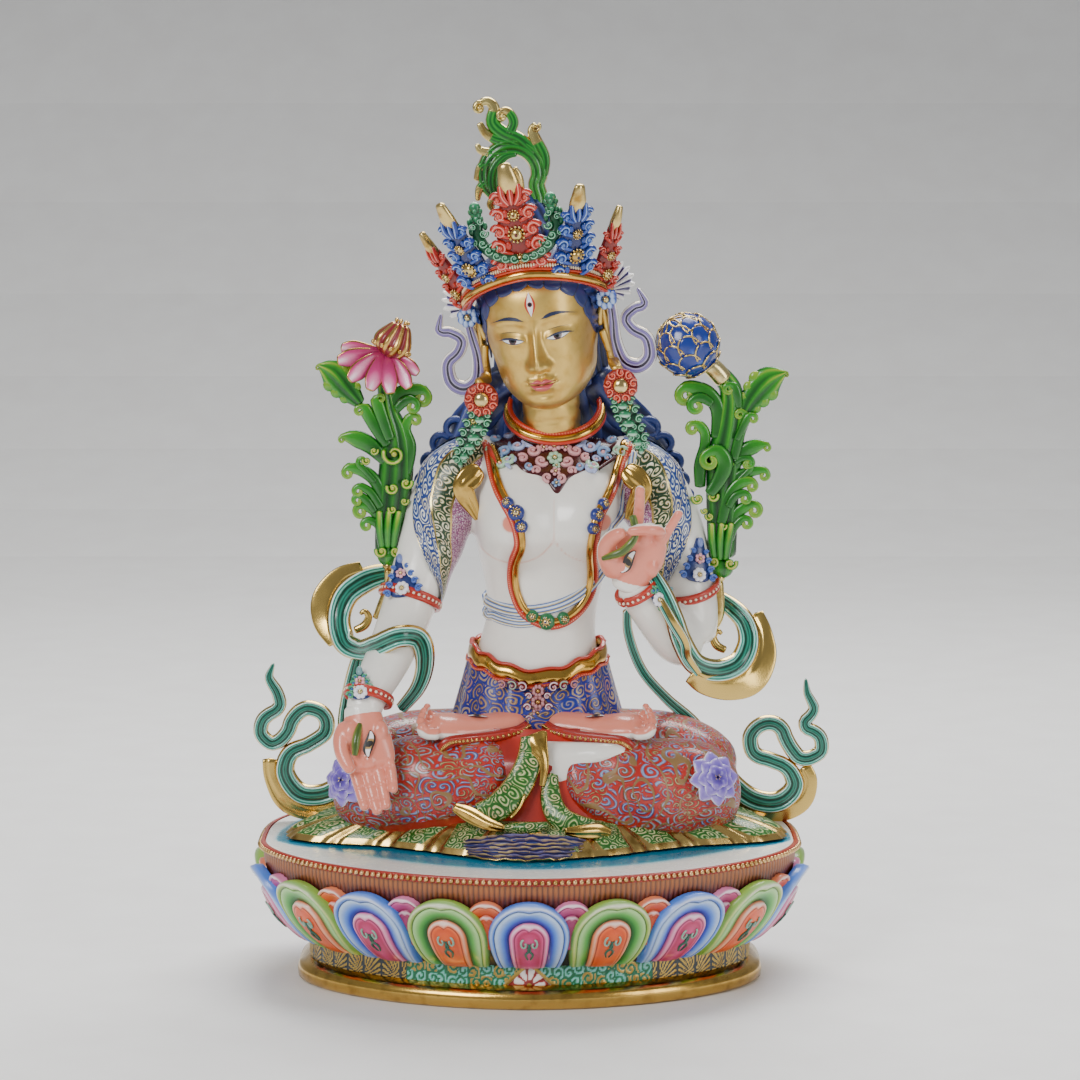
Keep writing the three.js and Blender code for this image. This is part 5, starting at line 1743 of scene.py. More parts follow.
def flower(piece, x, y, z, radius, petals, turn=None, **marks):
    """A ring of round petals about a gilt middle."""
    # By default the petals carry the painted highlight along their fronts.
    marks = {"shade": crest, **marks}
    for spot, _ in circle(x, y, z, radius * 0.64, petals, 0.5):
        piece.ball(spot, (radius * 0.36, radius * 0.3, radius * 0.36), 10, 6, turn=turn, **marks)
    piece.ball((x, y - radius * 0.2, z), (radius * 0.32, radius * 0.3, radius * 0.32), 10, 6,
               turn=turn, gilt=1)


def leaf_frame(azimuth, facing, lean, low):
    """Where a crown leaf stands: x across it, minus y outwards and z from its foot to its tip."""
    angle, tip = math.radians(azimuth), math.radians(lean)
    foot = Matrix.Translation((43 * math.sin(angle), 4 - 44 * math.cos(angle), low))
    outwards = Matrix.Rotation(angle, 4, "Z") @ Matrix.Rotation(tip, 4, "X")
    turned = Matrix.Rotation(math.radians(facing - azimuth), 4, "Z")
    return HEAD @ foot @ outwards @ turned


def crown_leaf(name, slot, stops, azimuth, height, width, lean, low, jewels, pairs):
    piece = Piece()
    turn = leaf_frame(azimuth, azimuth * (0.5 if abs(azimuth) > 50 else 0.85), lean, low)
    half = width / 2
    body = height * 0.76
    piece.limb([(0, 1.5, -2, half * 0.62, 2), (0, 1.5, body * 0.12, half * 0.9, 2.8),
                (0, 1.2, body * 0.42, half * 0.84, 3.2), (0, 1, body * 0.75, half * 0.56, 2.8),
                (0, 0.8, body * 0.98, half * 0.36, 2.0)], across=22, along=22, turn=turn, shade=0.12)
    # The curls and their stems carry the painted highlight along their fronts.
    for k in range(pairs):
        share = (k + 0.3) / pairs
        reach = half * (0.86 - 0.36 * share)
        size = half * 0.33 * (1 - 0.2 * share)
        for side in (-1, 1):
            curl(piece, side * reach, -0.8, body * share, size, 90 - side * 80, side * 1.05,
                 size * 0.46, turn=turn)
            piece.limb([(side * reach * 0.3, -1.6, body * (share - 0.45 / pairs), 1.0, 1.0),
                        (side * reach * 0.62, -2.2, body * (share - 0.3 / pairs), 1.3, 1.2),
                        (side * (reach + size * 0.7), -0.8, body * (share - 0.02), 0.9, 0.8)],
                       across=10, along=12, turn=turn, shade=crest)
            piece.ball((side * reach * 0.52, -2.2, body * (share + 0.12 / pairs)),
                       (size * 0.42, 1.2, size * 0.6), 8, 6, turn=turn, shade=0.5)
    for share, size in jewels:
        jewel(piece, 0, -3.2, body * share, size, turn=turn)
    # These stems too carry the painted highlight along their fronts.
    for side in (-1, 0, 1):
        piece.limb([(side * 1.6, -2.4, body * 0.78, 1.2, 1.0),
                    (side * half * 0.34, -2.9, body * 0.9, half * 0.15, 1.4),
                    (side * half * 0.36, -1.6, body * 1.04, half * 0.1, 1.0)],
                   across=12, along=14, turn=turn, shade=crest)
    bend = -1.2 if azimuth <= 0 else 1.2
    piece.limb([(0, 0.5, body * 0.88, half * 0.38, 2.6), (0, -0.8, body * 1.04, half * 0.43, 3.0),
                (bend * 0.4, -0.8, height * 0.9, half * 0.34, 2.6),
                (bend, -0.2, height * 0.99, half * 0.24, 1.8)],
               across=20, along=30, turn=turn, blunt=0.6, gilt=1)
    if azimuth == 0:
        piece.limb([(5, 2.5, body * 0.85, 2.6, 1.8), (5.5, 2.0, body * 1.08, 2.8, 2.0),
                    (4.0, 1.8, height * 0.93, 1.6, 1.2)], across=14, along=20, turn=turn, gilt=1)
    piece.finish(name, painted(f"{name}_paint", stops, gold="dcc07a", gloss=0.28), slot, "crown")


def crown_band():
    """The band round the brow: a polished gold roll under red edges and a row of beads."""
    band = Piece()

    def ring(angle, out, up):
        height = 43 - 21 * np.minimum(abs(np.degrees(angle)) / 75, 1.15) ** 1.7
        return np.stack([(42 + out) * np.sin(angle), 4 - (45 + out) * np.cos(angle),
                         height + up], axis=1)

    def roll(low, high, depth):
        def place(u, v):
            angle = np.radians(mix(-86, 86, v))
            end = smooth(0, 0.012, v) * smooth(1, 0.988, v)
            return ring(angle, depth * np.cos(TAU * u) * end,
                        (low + high) / 2 + (high - low) / 2 * np.sin(TAU * u) * end)
        return place

    band.sheet(14, 90, roll(-6.0, -0.4, 3.6), turn=HEAD, gilt=1)
    for low, high, depth in ((-6.6, 5.0, 1.6), (-6.9, -5.3, 2.8), (-1.0, 0.6, 3.4), (3.6, 5.4, 2.8)):
        band.sheet(8, 90, roll(low, high, depth), turn=HEAD, shade=0.5)
    for point in ring(np.radians(np.linspace(-84, 84, 86)), 1.8, 2.1):
        band.ball(point, (0.62, 1.2, 1.3), 8, 6, turn=HEAD, shade=1)
    band.finish("crown_band", painted(
        "band_paint", [(0, "7e1408"), (0.5, "c9401f"), (0.7, "dd5a2c"), (1, "f4dfb4")], gold="d8a850",
        gold_gloss=0.16, gloss=0.25), "gilding", "crown")


def crown_leaves():
    crown_leaf("crown_leaf_centre", "red_paint", RED_CARVING, 0, 60.5, 28, 2, 44,
               ((0.12, 2.6), (0.42, 4.4), (0.66, 3.0)), 5)
    for side, word in SIDES:
        crown_leaf(f"crown_leaf_{word}", "lotus_paint", BLUE_CARVING, side * 38, 56.5, 23.5, 21, 35,
                   ((0.28, 4.2), (0.6, 2.8)), 5)
        crown_leaf(f"crown_leaf_outer_{word}", "red_paint", RED_CARVING, side * 68, 49, 15, 21, 22,
                   ((0.2, 3.0), (0.5, 2.4)), 4)


def crown_scrolls():
    """The green scrolls that embrace the centre leaf."""
    piece = Piece()
    for side in (-1, 1):
        stem = [(1, -42.5, 49.5, 2.4, 3), (9, -42.5, 50.5, 2.8, 3), (17, -41, 55, 3.2, 3),
                (22, -39, 63, 3.4, 2.6), (21.5, -38, 72, 2.8, 2.2)]
        piece.limb(mirrored(stem, side), across=14, along=40, turn=HEAD, shade=0.16)
        for x, z, size, start in ((14, 56.5, 3.0, 20), (24.5, 61, 2.8, -60), (18.5, 66, 2.6, 160),
                                  (24, 70, 2.2, -20), (19.5, 73, 2.0, 180)):
            curl(piece, side * x, -42, z, size, start if side > 0 else 180 - start, side * 1.1,
                 size * 0.34, turn=HEAD)
        for z, size in ((75.5, 3.2), (80, 3.4)):
            piece.ball((side * 21.5, -39.5, z), (size, size * 0.8, size * 1.15), 14, 10, turn=HEAD,
                       shade=lambda u, v: 0.15 + 0.8 * smooth(0.3, 0.95, v))
            for near in (-1, 0, 1):
                piece.ball((side * 21.5 + near * size * 0.8, -40 - 1.6 * (near == 0), z - 1.6),
                           (1.5, 1.2, 1.9), 8, 6, turn=HEAD, shade=tipped)
        for k, (x, z) in enumerate(
                ((3.2, 50.2), (8.2, 51.0), (12.8, 52.8), (16.8, 56.2), (19.6, 60.6))):
            curl(piece, side * x, -45.4 + 0.5 * k, z, 2.5, 200 if side > 0 else -20, side * 1.1, 0.9,
                 turn=HEAD)
        for x, z in ((25.6, 67), (25.8, 72.5), (17.4, 69.5)):
            piece.ball((side * x, -39.5, z), (1.5, 1.2, 2.4), 8, 6, turn=HEAD, shade=tipped)
    piece.finish("crown_scrolls", painted(
        "crown_scroll_paint", GREEN_CARVING, gold="b9b060"), "green_paint", "crown")


def crown_sides():
    """The flower at each temple, the fan behind it and the curled ribbon at the ear."""
    ribbon_rows = [(42, 14, -3), (41, -2, 3), (40, -16, 5), (43, -28, 6), (51, -32, 6), (58, -27, 6),
                   (58, -16, 6), (51, -10, 6), (48, -3, 6), (54, 2, 6), (60, 4, 6), (57, 14, 6)]
    for side, word in SIDES:
        rosette, fan, ribbon = Piece(), Piece(), Piece()
        flower(rosette, side * 40, -9.5, 13, 6.4, 8, turn=HEAD)
        rosette.ball((side * 40, -5, 13), (6, 5.5, 6.4), 16, 10, turn=HEAD, shade=0.2)
        rosette.finish(f"temple_flower_{word}", painted(
            f"temple_flower_{word}_paint", [(0, "10246a"), (0.3, "2b4fae"), (0.6, "9db8e4"),
                                            (1, "f6f8fc")], gold="e0cf90"), "lotus_paint", "crown")

        def blade(u, v):
            spread = np.radians(mix(-62, 58, u))
            fold = np.cos(TAU * u * 6)
            reach = 15.0 * v * (1 - 0.1 * fold) * (1 - 0.25 * smooth(0.4, 0, u))
            ridge = 1.1 * fold * smooth(0.1, 0.5, v)
            x = side * (40 + reach * np.cos(spread))
            z = 15 + reach * np.sin(spread + 0.25)
            return np.stack([x, 3 + 6 * v + ridge, z], axis=1)

        fan.sheet(70, 16, blade, turn=HEAD,
                  shade=lambda u, v: 0.1 + 0.9 * smooth(-0.85, -0.2, -np.cos(TAU * u * 6)))
        fan.finish(f"temple_fan_{word}", painted(
            f"temple_fan_{word}_paint", [(0, "1c1733"), (0.3, "5f5596"), (0.6, "c8c2e2"),
                                         (1, "fbfaf4")]), "white_enamel", "crown", shell=1.0)

        def folded(u, v):
            c, s = np.cos(TAU * u), np.sin(TAU * u)
            return c, s * (1 - 0.45 * bell(c, 0.35))

        girths = (2.4, 3.2, 4.0, 4.6, 4.8, 4.4, 4.0, 3.8, 3.6, 3.4, 3.0, 1.0)
        rows = [(side * x, y, z, girth, 2.6) for girth, (x, z, y) in zip(girths, ribbon_rows)]
        ribbon.limb(rows, across=24, along=80, turn=HEAD, section=folded, cloth=(1, 1))
        ribbon.finish(f"ear_ribbon_{word}", banded(f"ear_ribbon_{word}_paint", [
            (0, "171029"), (0.14, "1f1736"), (0.2, "c9c0e0"), (0.3, "8d7fbb"), (0.5, "6d5fa2"),
            (0.62, "9a8ec6"), (0.7, "2a2148"), (0.76, "efeaf4"), (0.9, "f8f5f0")], gold="cdb68a",
            edge=0.95), "white_enamel", "crown")


def hair_finial():
    """The open green scroll that stands on the topknot."""
    piece = Piece()
    x, y, z, radius = -10, 17, 382, 15.5
    grooved = fluted_section(3, 0.2)
    fluted = fluted_shade(3, low=0.0, tip=0.3, start=0.1)

    def edges(u, v):
        return smooth(0.84, 0.92, abs(np.cos(TAU * u)))

    ring = moved([(16, 0, -27, 4, 4.5), (16, 0, -15, 5, 4.8)], x, y, z)
    for turn in range(-25, 236, 20):
        angle = math.radians(turn)
        taper = 0.8 * max(0, turn - 90) / 145
        ring.append((x + radius * math.cos(angle), y, z + radius * math.sin(angle),
                     4.9 - taper, 4.4 - taper))
    piece.limb(ring, across=30, along=70, section=grooved, gilt=edges,
               shade=lambda u, v: 1.35 * fluted(u, 1 - v))
    inner = moved([(-6, -2, -15, 2.0, 2.4), (-10.5, -2.4, -8, 3.4, 3.0), (-10, -2.4, 2, 3.4, 3.0),
                   (-4, -2.2, 9.5, 2.4, 2.4), (3, -1.6, 11, 1.4, 1.8)], x, y, z)
    piece.limb(inner, across=20, along=34, section=grooved, gilt=edges, shade=fluted)
    crests = (
        ([(13, 0, 11, 4.2, 4), (4, -0.5, 19, 4.6, 4), (-5, -0.5, 23, 4.4, 4),
          (-11, 0, 29, 4, 3.6), (-10, 0, 37, 3.4, 3), (-14, 0, 41, 2.6, 2.6),
          (-18.5, 0, 39, 2, 2.2), (-18.5, 0, 35.5, 1.4, 1.8)], 0.62),
        ([(-2, -1, 22, 3, 3.4), (1, -1, 29, 3, 3), (-2, -1, 35, 2.6, 2.6), (-6, -1, 35, 2, 2.2),
          (-6.5, -1.5, 31.5, 1.3, 1.6)], 0.55),
        ([(18, 0, -2, 2.6, 3.6), (18, -0.4, 9, 3.8, 3.4), (13.5, -0.4, 19, 3.6, 3),
          (11.5, -0.4, 25, 2.6, 2.4), (14, -0.6, 28, 1.6, 1.6)], 0.55),
        ([(2, -0.6, 18, 2.6, 3), (-8, -1, 19, 3.0, 3), (-15, -1, 23, 2.6, 2.6),
          (-18.5, -1, 29, 1.8, 2)], 0.5),
        ([(-2, -0.6, 12, 2.6, 3), (-11, -1, 11.5, 3.0, 3), (-18, -1, 13.5, 2.2, 2.4),
          (-19.5, -1, 17, 1.4, 1.8)], 0.5),
        ([(-11, -0.6, 7, 2.2, 2.8), (-17.5, -0.6, 4, 2.6, 2.6), (-20.4, -0.6, -4, 1.6, 2)], 0.45),
        ([(-12, -0.6, -3, 2.2, 2.8), (-18, -0.6, -8, 2.6, 2.6),
          (-19.5, -0.6, -15.5, 1.3, 1.8)], 0.45),
        ([(-8, -0.6, -11, 2.2, 2.8), (-12, -0.6, -17, 2.4, 2.4),
          (-10, -0.6, -21.5, 1.4, 1.8)], 0.4))
    for rows, from_share in crests:
        piece.limb(moved(rows, x, y, z), across=20, along=34, section=grooved,
                   shade=lambda u, v: 0.1 + 1.3 * fluted(u, v),
                   gilt=lambda u, v, start=from_share: np.maximum(
                       edges(u, v), smooth(start - 0.05, start + 0.15, v)))
    for out, up, size, sense in ((-18.4, 37.2, 3.4, 1), (-5.6, 32.4, 3.2, 1), (13.6, 26.4, 2.6, -1)):
        curl(piece, x + out, y - 1.6, z + up, size, 60, sense * 1.2, size * 0.42, gilt=1)
    piece.finish("hair_finial_scroll", painted(
        "finial_paint", [(0, "062a12"), (0.25, "0f5a1c"), (0.5, "1f8428"), (0.75, "3a9a30"),
                         (1, "7fb848")],
        gold="d6c27c", gloss=0.22), "green_paint", "hair_finial")


def earrings():
    """Red rosettes of curls round a gold boss, with green drops of leaves and curls."""
    for side, word in SIDES:
        x, y, z = EARRING_PLACE[side]
        rosette, drop = Piece(), Piece()
        rosette.ball((x, y, z), (9.8, 2.6, 9.8), 24, 12, shade=0.15)
        for spot, angle in circle(x, y - 2.2, z, 7.5, 9, 0.25):
            curl(rosette, *spot, 2.4, math.degrees(angle) + 30, 1.05, 0.95)
        for spot, _ in circle(x, y - 2.9, z, 5.1, 22):
            rosette.ball(spot, 0.5, 6, 4, shade=0.7)
        rosette.ball((x, y - 2.4, z), (4.5, 2.8, 4.5), 20, 12, gilt=1)
        rosette.finish(f"{word}_earring_rosette", painted(
            f"{word}_rosette_paint", [(0, "6e0f0b"), (0.3, "b42c1c"), (0.8, "cf4a32"), (1, "f3c3a6")],
            gold="e3c98a", gold_gloss=0.18), "red_paint", f"{word}_earring")
        for row, (down, out, half) in enumerate(
                ((9, 1, 6.8), (14, 2.6, 8.2), (19.5, 4.6, 8.4), (25, 7, 7.2), (30.5, 10, 5.6),
                 (35.5, 12, 3.4))):
            here = (x + side * out, y - 0.5 + 0.24 * down, z - down)
            drop.ball(here, (half * 0.86, 2.4, 4.2), 16, 10, shade=0.05)
            if half > 3:
                for near in (-1, 1):
                    curl(drop, here[0] + near * half * 0.72, here[1] - 2.2, here[2], 2.5,
                         90 - near * 70, near * 1.05, 1.0)
                aside = 0.6 if row % 2 else -0.6
                curl(drop, here[0] + aside, here[1] - 2.8, here[2] + 1.2, 1.7, 270, 1.1, 0.7, gilt=0)
            drop.ball((here[0], here[1] - 2.2, here[2] - 2.4), (half * 0.42, 1.4, 2.2), 12, 8,
                      shade=lambda u, v: 0.35 + 0.6 * smooth(0.2, 0.7, 1 - v))
        jewel(drop, x + side * 4.6, y + 0.6, z - 12.5, 2.3, beads=9)
        drop.finish(f"{word}_earring_drop", painted(
            f"{word}_drop_paint", GREEN_CARVING, gold="bdb46a"), "green_paint", f"{word}_earring")


# Lotus sprays

SPRAY_GREEN = [(0, "05240c"), (0.25, "0f5514"), (0.5, "2c8a18"), (0.72, "86a82c"), (0.88, "d0bd58"),
               (1, "ead99a")]
SPRAY_KNOB = {-1: (-82, 155), 1: (110, 148)}
SPRAY_DEPTH = 30.0

# Each leaf: rows of out, up and half width from the knob, the radius of the curl that ends it,
# the way it turns (1 anticlockwise) and how far it stands forward
SPRAY_LEAVES = {
    1: [
        (((4.5, 15, 2.5), (6, 29, 2.5), (10.5, 38.5, 3), (17.5, 43, 2.5)), 3.6, -1, 1),
        (((5.5, 22, 2), (8, 29.5, 2), (12.5, 34.5, 2)), 3.0, -1, 2),
        (((0.5, 31, 2.5), (4.5, 46.5, 3), (10.5, 55, 3), (17, 57, 2.5)), 2.8, -1, 2),
        (((4.5, 41.5, 2), (8, 48, 2), (13, 50, 2)), 2.8, -1, 3),
        (((5, 51.5, 2.5), (10.5, 59, 3), (19, 62.5, 2.5), (25, 63, 2)), 2.6, -1, 1),
        (((9.5, 56, 1.5), (14, 60.5, 1.5), (17.5, 64, 1.5)), 2.4, 1, 2),
        (((-7, 49, 2.5), (-0.5, 58.5, 3.5), (2.5, 67.5, 4), (-1.5, 74.5, 3.5), (-6.5, 74, 2.5)),
         4.2, 1, 4),
        (((-11.5, 52.5, 2.5), (-11.5, 65.5, 3), (-9, 77, 2.5), (-9, 85, 2.5), (-13, 89.5, 2.5)),
         3.2, 1, 1),
        (((7.5, 64, 2.5), (13, 73, 3.5), (20, 77, 3.5), (26.5, 78, 1.5)), 1.8, -1, 1),
        (((8, 67.5, 1.5), (12.5, 70, 1.5), (16.5, 70, 1.5)), 2.4, -1, 2),
        (((7.5, 69, 2.5), (11.5, 85, 2.5), (14, 94.5, 3)), 2.6, 1, 2),
        (((9, 80.5, 1.5), (13.5, 90, 2), (16, 94.5, 2)), 2.4, -1, 3),
        (((13, 94.5, 2.5), (19, 105, 6), (28, 115, 7), (37, 119.5, 1.5)), 1.2, -1, 1),
        (((10.5, 99, 1.5), (9.5, 106, 2.5), (8, 111, 2.5)), 3.0, 1, 2),
        (((-2, 80.5, 3), (-1.5, 98, 3.5), (-8, 107.5, 4), (-18, 111, 3.5)), 4.6, 1, 1),
        (((-4.5, 101.5, 2), (-10, 105, 2.5), (-14, 105, 2.5)), 3.8, 1, 3),
    ],
    -1: [
        (((-2.5, 9.5, 2.5), (-3.5, 24.5, 2.5), (-8, 33, 3), (-14, 35.5, 2.5)), 3.4, 1, 1),
        (((-2.5, 16.5, 2), (-6, 24.5, 2), (-10.5, 27, 2)), 2.8, 1, 2),
        (((-7, 31.5, 1.5), (-11.5, 38, 2), (-15.5, 41, 2)), 2.6, 1, 2),
        (((-2.5, 38.5, 2.5), (-7.5, 50, 3), (-15, 56, 3), (-22, 57.5, 2.5)), 2.8, 1, 1),
        (((-3.5, 34, 2), (-9.5, 43, 2), (-15, 46.5, 2)), 2.8, 1, 2),
        (((-7, 49, 1.5), (-13, 56, 1.5), (-16.5, 59.5, 1.5)), 2.2, -1, 2),
        (((-0.5, 60.5, 2.5), (-9.5, 70, 4), (-18.5, 74.5, 4), (-26, 75.5, 1.5)), 1.6, 1, 1),
        (((0.5, 70, 2.5), (-7, 81.5, 3), (-13, 92, 3)), 2.6, 1, 2),
        (((-15, 94, 2.5), (-23.5, 103.5, 6), (-31.5, 112.5, 6.5), (-39, 116.5, 1.5)), 1.2, 1, 1),
        (((2, 73.5, 2.5), (-2.5, 86.5, 3), (-6, 97, 3)), 2.2, -1, 3),
        (((10, 53, 3), (13, 69, 3), (10.5, 79.5, 2.5), (12.5, 86, 2.5)), 3.0, -1, 1),
        (((4.5, 77, 3), (3, 91, 3.5), (8, 100, 4), (18.5, 102.5, 3.5)), 4.2, -1, 1),
        (((5, 91, 2), (9, 95.5, 2.5), (13, 97, 2.5)), 3.4, -1, 3),
    ],
}
SPRAY_STALKS = {
    1: [(1.5, 11, 6.5), (1.5, 45.5, 7.5), (2.5, 69, 8), (6, 89.5, 7), (6.5, 107, 5.5),
        (1.5, 116.5, 4.5), (-6.5, 123.5, 4)],
    -1: [(0, 3.5, 6), (0.5, 18, 6.5), (3, 38.5, 8), (5, 59, 8), (4, 76.5, 7), (0.5, 91, 4.5),
         (-2, 108.5, 3), (-1, 122.5, 3)],
}
SPRAY_STEMS = {
    1: [(-9, 0, -35, 1.6, 1.6), (-3, 0, -29, 2.4, 2.2), (0.6, 0, -20, 2.6, 2.4), (0, 0, -2, 2.4, 2.2)],
    -1: [(-8, 0, -31, 1.6, 1.6), (-4, 0, -22, 2.2, 2.0), (-0.5, 0, -12, 2.3, 2.0),
         (0, 0, -2, 2.4, 2.2)],
}
SPRAY_KNOBS = {
    1: [(-13, 47, 3.2, 1), (-4.3, 48.4, 3.2, -1), (-6.1, 36.7, 2.4, 1), (1.5, 30.9, 2.4, -1),
        (-3.7, 10.4, 3.6, 1), (6.1, 9.2, 3.6, -1), (5, 67, 2.2, -1), (-9, 40, 2.0, 1)],
    -1: [(3, 46.1, 3.6, 1), (10.9, 49, 3.4, -1), (2.8, 33.8, 2.4, 1), (9.8, 38.5, 2.4, -1),
         (-3.6, 9.3, 3.4, 1), (4.6, 9.3, 3.4, -1), (-7.6, 67.7, 2.4, -1), (-12, 62, 2.4, 1),
         (4, 65.9, 6.6, 1)],
}


def fluted_section(grooves, depth):
    """The section of a leaf with grooves along its front."""
    def section(u, v):
        c, s = np.cos(TAU * u), np.sin(TAU * u)
        return c, s * (1 - depth + depth * np.cos(c * math.pi * grooves))
    return section


def fluted_shade(grooves, low=0.1, tip=0.45, start=0.35):
    """Dark in the grooves, and lighter towards the tip."""
    def shade(u, v):
        c = np.cos(TAU * u)
        ridge = ribbed(c * math.pi * grooves) * smooth(0.3, -0.6, np.sin(TAU * u))
        return low + 0.34 * ridge + tip * smooth(start, 1.0, v) * (0.55 + 0.45 * ridge)
    return shade


def with_curl(rows, radius, sense):
    """The rows and a spiral that goes on from their end."""
    turns = 1.05
    (x0, z0), (x1, z1) = [(row[0], row[2]) for row in rows[-2:]]
    heading = math.atan2(z1 - z0, x1 - x0)
    middle = (x1 - radius * sense * math.sin(heading), z1 + radius * sense * math.cos(heading))
    start, width = heading - sense * math.pi / 2, rows[-1][3]
    steps = 9
    more = []
    for k in range(1, steps + 1):
        share = k / steps
        angle, reach = start + sense * TAU * turns * share, radius * mix(1, 0.25, share)
        girth = mix(min(width, radius * 0.55), radius * 0.3, share)
        more.append((middle[0] + reach * math.cos(angle), rows[-1][1] - 1.2 * share,
                     middle[1] + reach * math.sin(angle), girth, mix(rows[-1][4], 1.4, share)))
    return [*rows, *more]


def spray(side, word):
    node = f"{word}_lotus_spray"
    knob_x, knob_z = SPRAY_KNOB[side]
    piece = Piece()

    def at(rows, forward=0.0, thick=2.6):
        return [(knob_x + out, SPRAY_DEPTH - forward * 1.6, knob_z + up, half * 1.25,
                 min(thick, half * 1.3)) for out, up, half in rows]

    stalk = at(SPRAY_STALKS[side], 0, 5.0)
    piece.limb(stalk, across=36, along=60, section=fluted_section(3, 0.12),
               shade=fluted_shade(3, low=0.04, tip=0.3, start=0.2))
    for lean in (-4.6, 0, 4.6):
        piece.limb([(knob_x + lean * 0.7, 26, knob_z + 11, 2.2, 2),
                    (knob_x + lean, 24.5, knob_z + 22, 2.6, 2.2),
                    (knob_x + lean * 1.25 + 1, 25, knob_z + 33, 2.0, 1.8)],
                   across=16, along=22, shade=fluted_shade(1, low=0.2, tip=0.35))
    for rows, radius, sense, forward in SPRAY_LEAVES[side]:
        wide = max(row[2] for row in rows) > 5
        path = with_curl(at(rows, forward), radius * 1.2, sense)
        piece.limb(path, across=24 if wide else 18, along=40, section=fluted_section(3, 0.2),
                   shade=fluted_shade(3, low=0.12, tip=0.5, start=0.25))
        if wide:
            for share in (0.25, 0.4, 0.55):
                x, y, z, half, _ = spline(at(rows, forward), np.array([share]))[0]
                for near in (-1, 1):
                    piece.ball((x + near * side * half * 0.5, y - 0.4, z - near * half * 0.5),
                               (half * 0.46, 1.5, half * 0.46), 12, 8,
                               shade=lambda u, v: 0.45 + 0.35 * v)
    for out, up, radius, sense in SPRAY_KNOBS[side]:
        forward = 5.6 if radius < 5 else 6.4
        # Their curls are lighter along the front: a painted highlight.
        curl(piece, knob_x + out, SPRAY_DEPTH - forward, knob_z + up, radius,
             90 + sense * 60, sense * 1.1, radius * 0.42 if radius < 5 else 1.7,
             shade=lambda u, v: 0.42 + 0.5 * bell(u % 1 - 0.75, 0.1))
    piece.ball((knob_x + 1, SPRAY_DEPTH, knob_z + 6), (7.4, 5.5, 6.4), 24, 14,
               shade=lambda u, v: 0.25 + 0.3 * ribbed(TAU * u * 7))
    piece.finish(f"{word}_spray_leaves", painted(
        f"{word}_spray_paint", SPRAY_GREEN, gloss=0.24, mottling=0.2), "green_paint", node)

    stem = Piece()
    rows = moved(SPRAY_STEMS[side], knob_x, SPRAY_DEPTH, knob_z)
    stem.limb(rows, across=14, along=40, gilt=1)
    stem.ball((knob_x, SPRAY_DEPTH, knob_z), (3.4, 3.4, 2.8), 16, 10, gilt=1)
    stem.finish(f"{word}_spray_stem", painted(
        f"{word}_stem_gold", GILT_SKIN, gold="d8c078", gold_gloss=0.22), "gilding", node)


def sprays():
    for side, word in SIDES:
        spray(side, word)


def open_flower():
    """The pink flower with drooping petals under its fluted pod."""
    petals, pod = Piece(), Piece()
    x, y, z = SPRAY_KNOB[-1][0] - 0.5, 27, SPRAY_KNOB[-1][1] + 121.5
    tips = [(-26, 6, 24, 5.2), (-28, -1.5, 20, 5.6), (-21, -12, 13, 5.4), (-9, -18, 12, 5.2),
            (3, -20, 12, 5.0), (14, -17, 14, 4.8), (19, -9, 20, 4.4), (-19, 3, 38, 5),
            (-2, -12, 42, 5), (14, -8, 40, 5)]

    def shade(u, v):
        return 0.15 + 0.85 * smooth(0.25, 0.95, v) * bell(np.cos(TAU * u), 0.75)

    def gilt(u, v):
        return np.maximum(
            smooth(0.8, 0.93, abs(np.cos(TAU * u))) * (v > 0.3), smooth(0.93, 0.97, v))

    for out, up, tip, half in tips:
        rows = [(x + out * 0.06, y, z + 2, 2.0, 1.6),
                (x + out * 0.4, mix(y, tip, 0.4), z + up * 0.3 + 2, half * 0.8, 1.5),
                (x + out * 0.75, mix(y, tip, 0.75), z + up * 0.7 + 1, half, 1.5),
                (x + out, tip, z + up, half * 0.45, 1.0)]
        petals.limb(rows, across=24, along=30, depth=(0, 1, 0.3), blunt=0.5, shade=shade, gilt=gilt)
    petals.finish("open_flower_petals", painted(
        "petal_pink_paint", [(0, "8c1240"), (0.4, "c23a78"), (0.75, "e58ab0"), (1, "f8dfe8")],
        gold="b58a4c", gloss=0.24), "lotus_paint", "right_lotus_spray")

    def ribs(u, v):
        swell = 1 + 0.09 * np.cos(TAU * u * 10)
        return np.cos(TAU * u) * swell, np.sin(TAU * u) * swell

    cup = [(-0.5, 0, 1, 5, 5), (1.5, 0, 4, 9.2, 8.6), (4.2, 0, 9, 10.4, 9.6), (7.2, 0, 15, 7.6, 7.2),
           (9, 0, 19.5, 4.6, 4.4)]
    pod.limb(moved(cup, x, y, z), across=100, along=40, section=ribs, blunt=0.3,
             shade=lambda u, v: 0.9 * smooth(0.3, -0.5, np.cos(TAU * u * 10)),
             gilt=lambda u, v: smooth(-0.35, 0.1, np.cos(TAU * u * 10)))
    for _, angle in circle(0, 0, 0, 1, 12):
        across = Vector((0.94, 0, -0.35)) * math.cos(angle) * 10.8 + INWARD * math.sin(angle) * 10
        pod.ball((x + 3 + across.x, y + across.y, z + 5.4 + across.z), 1.5, 8, 6, gilt=1)
    for _, angle in circle(0, 0, 0, 1, 7):
        c, s = math.cos(angle), math.sin(angle)
        pod.ball((x + 9.4 + 3.4 * c, y + 3.4 * s, z + 20.5 - 1.2 * c), 1.2, 8, 6, gilt=1)
    pod.finish("open_flower_pod", painted(
        "pod_paint", [(0, "9c2a33"), (1, "7a1a22")], gold="d2ab62", gold_gloss=0.28),
        "lotus_paint", "right_lotus_spray")


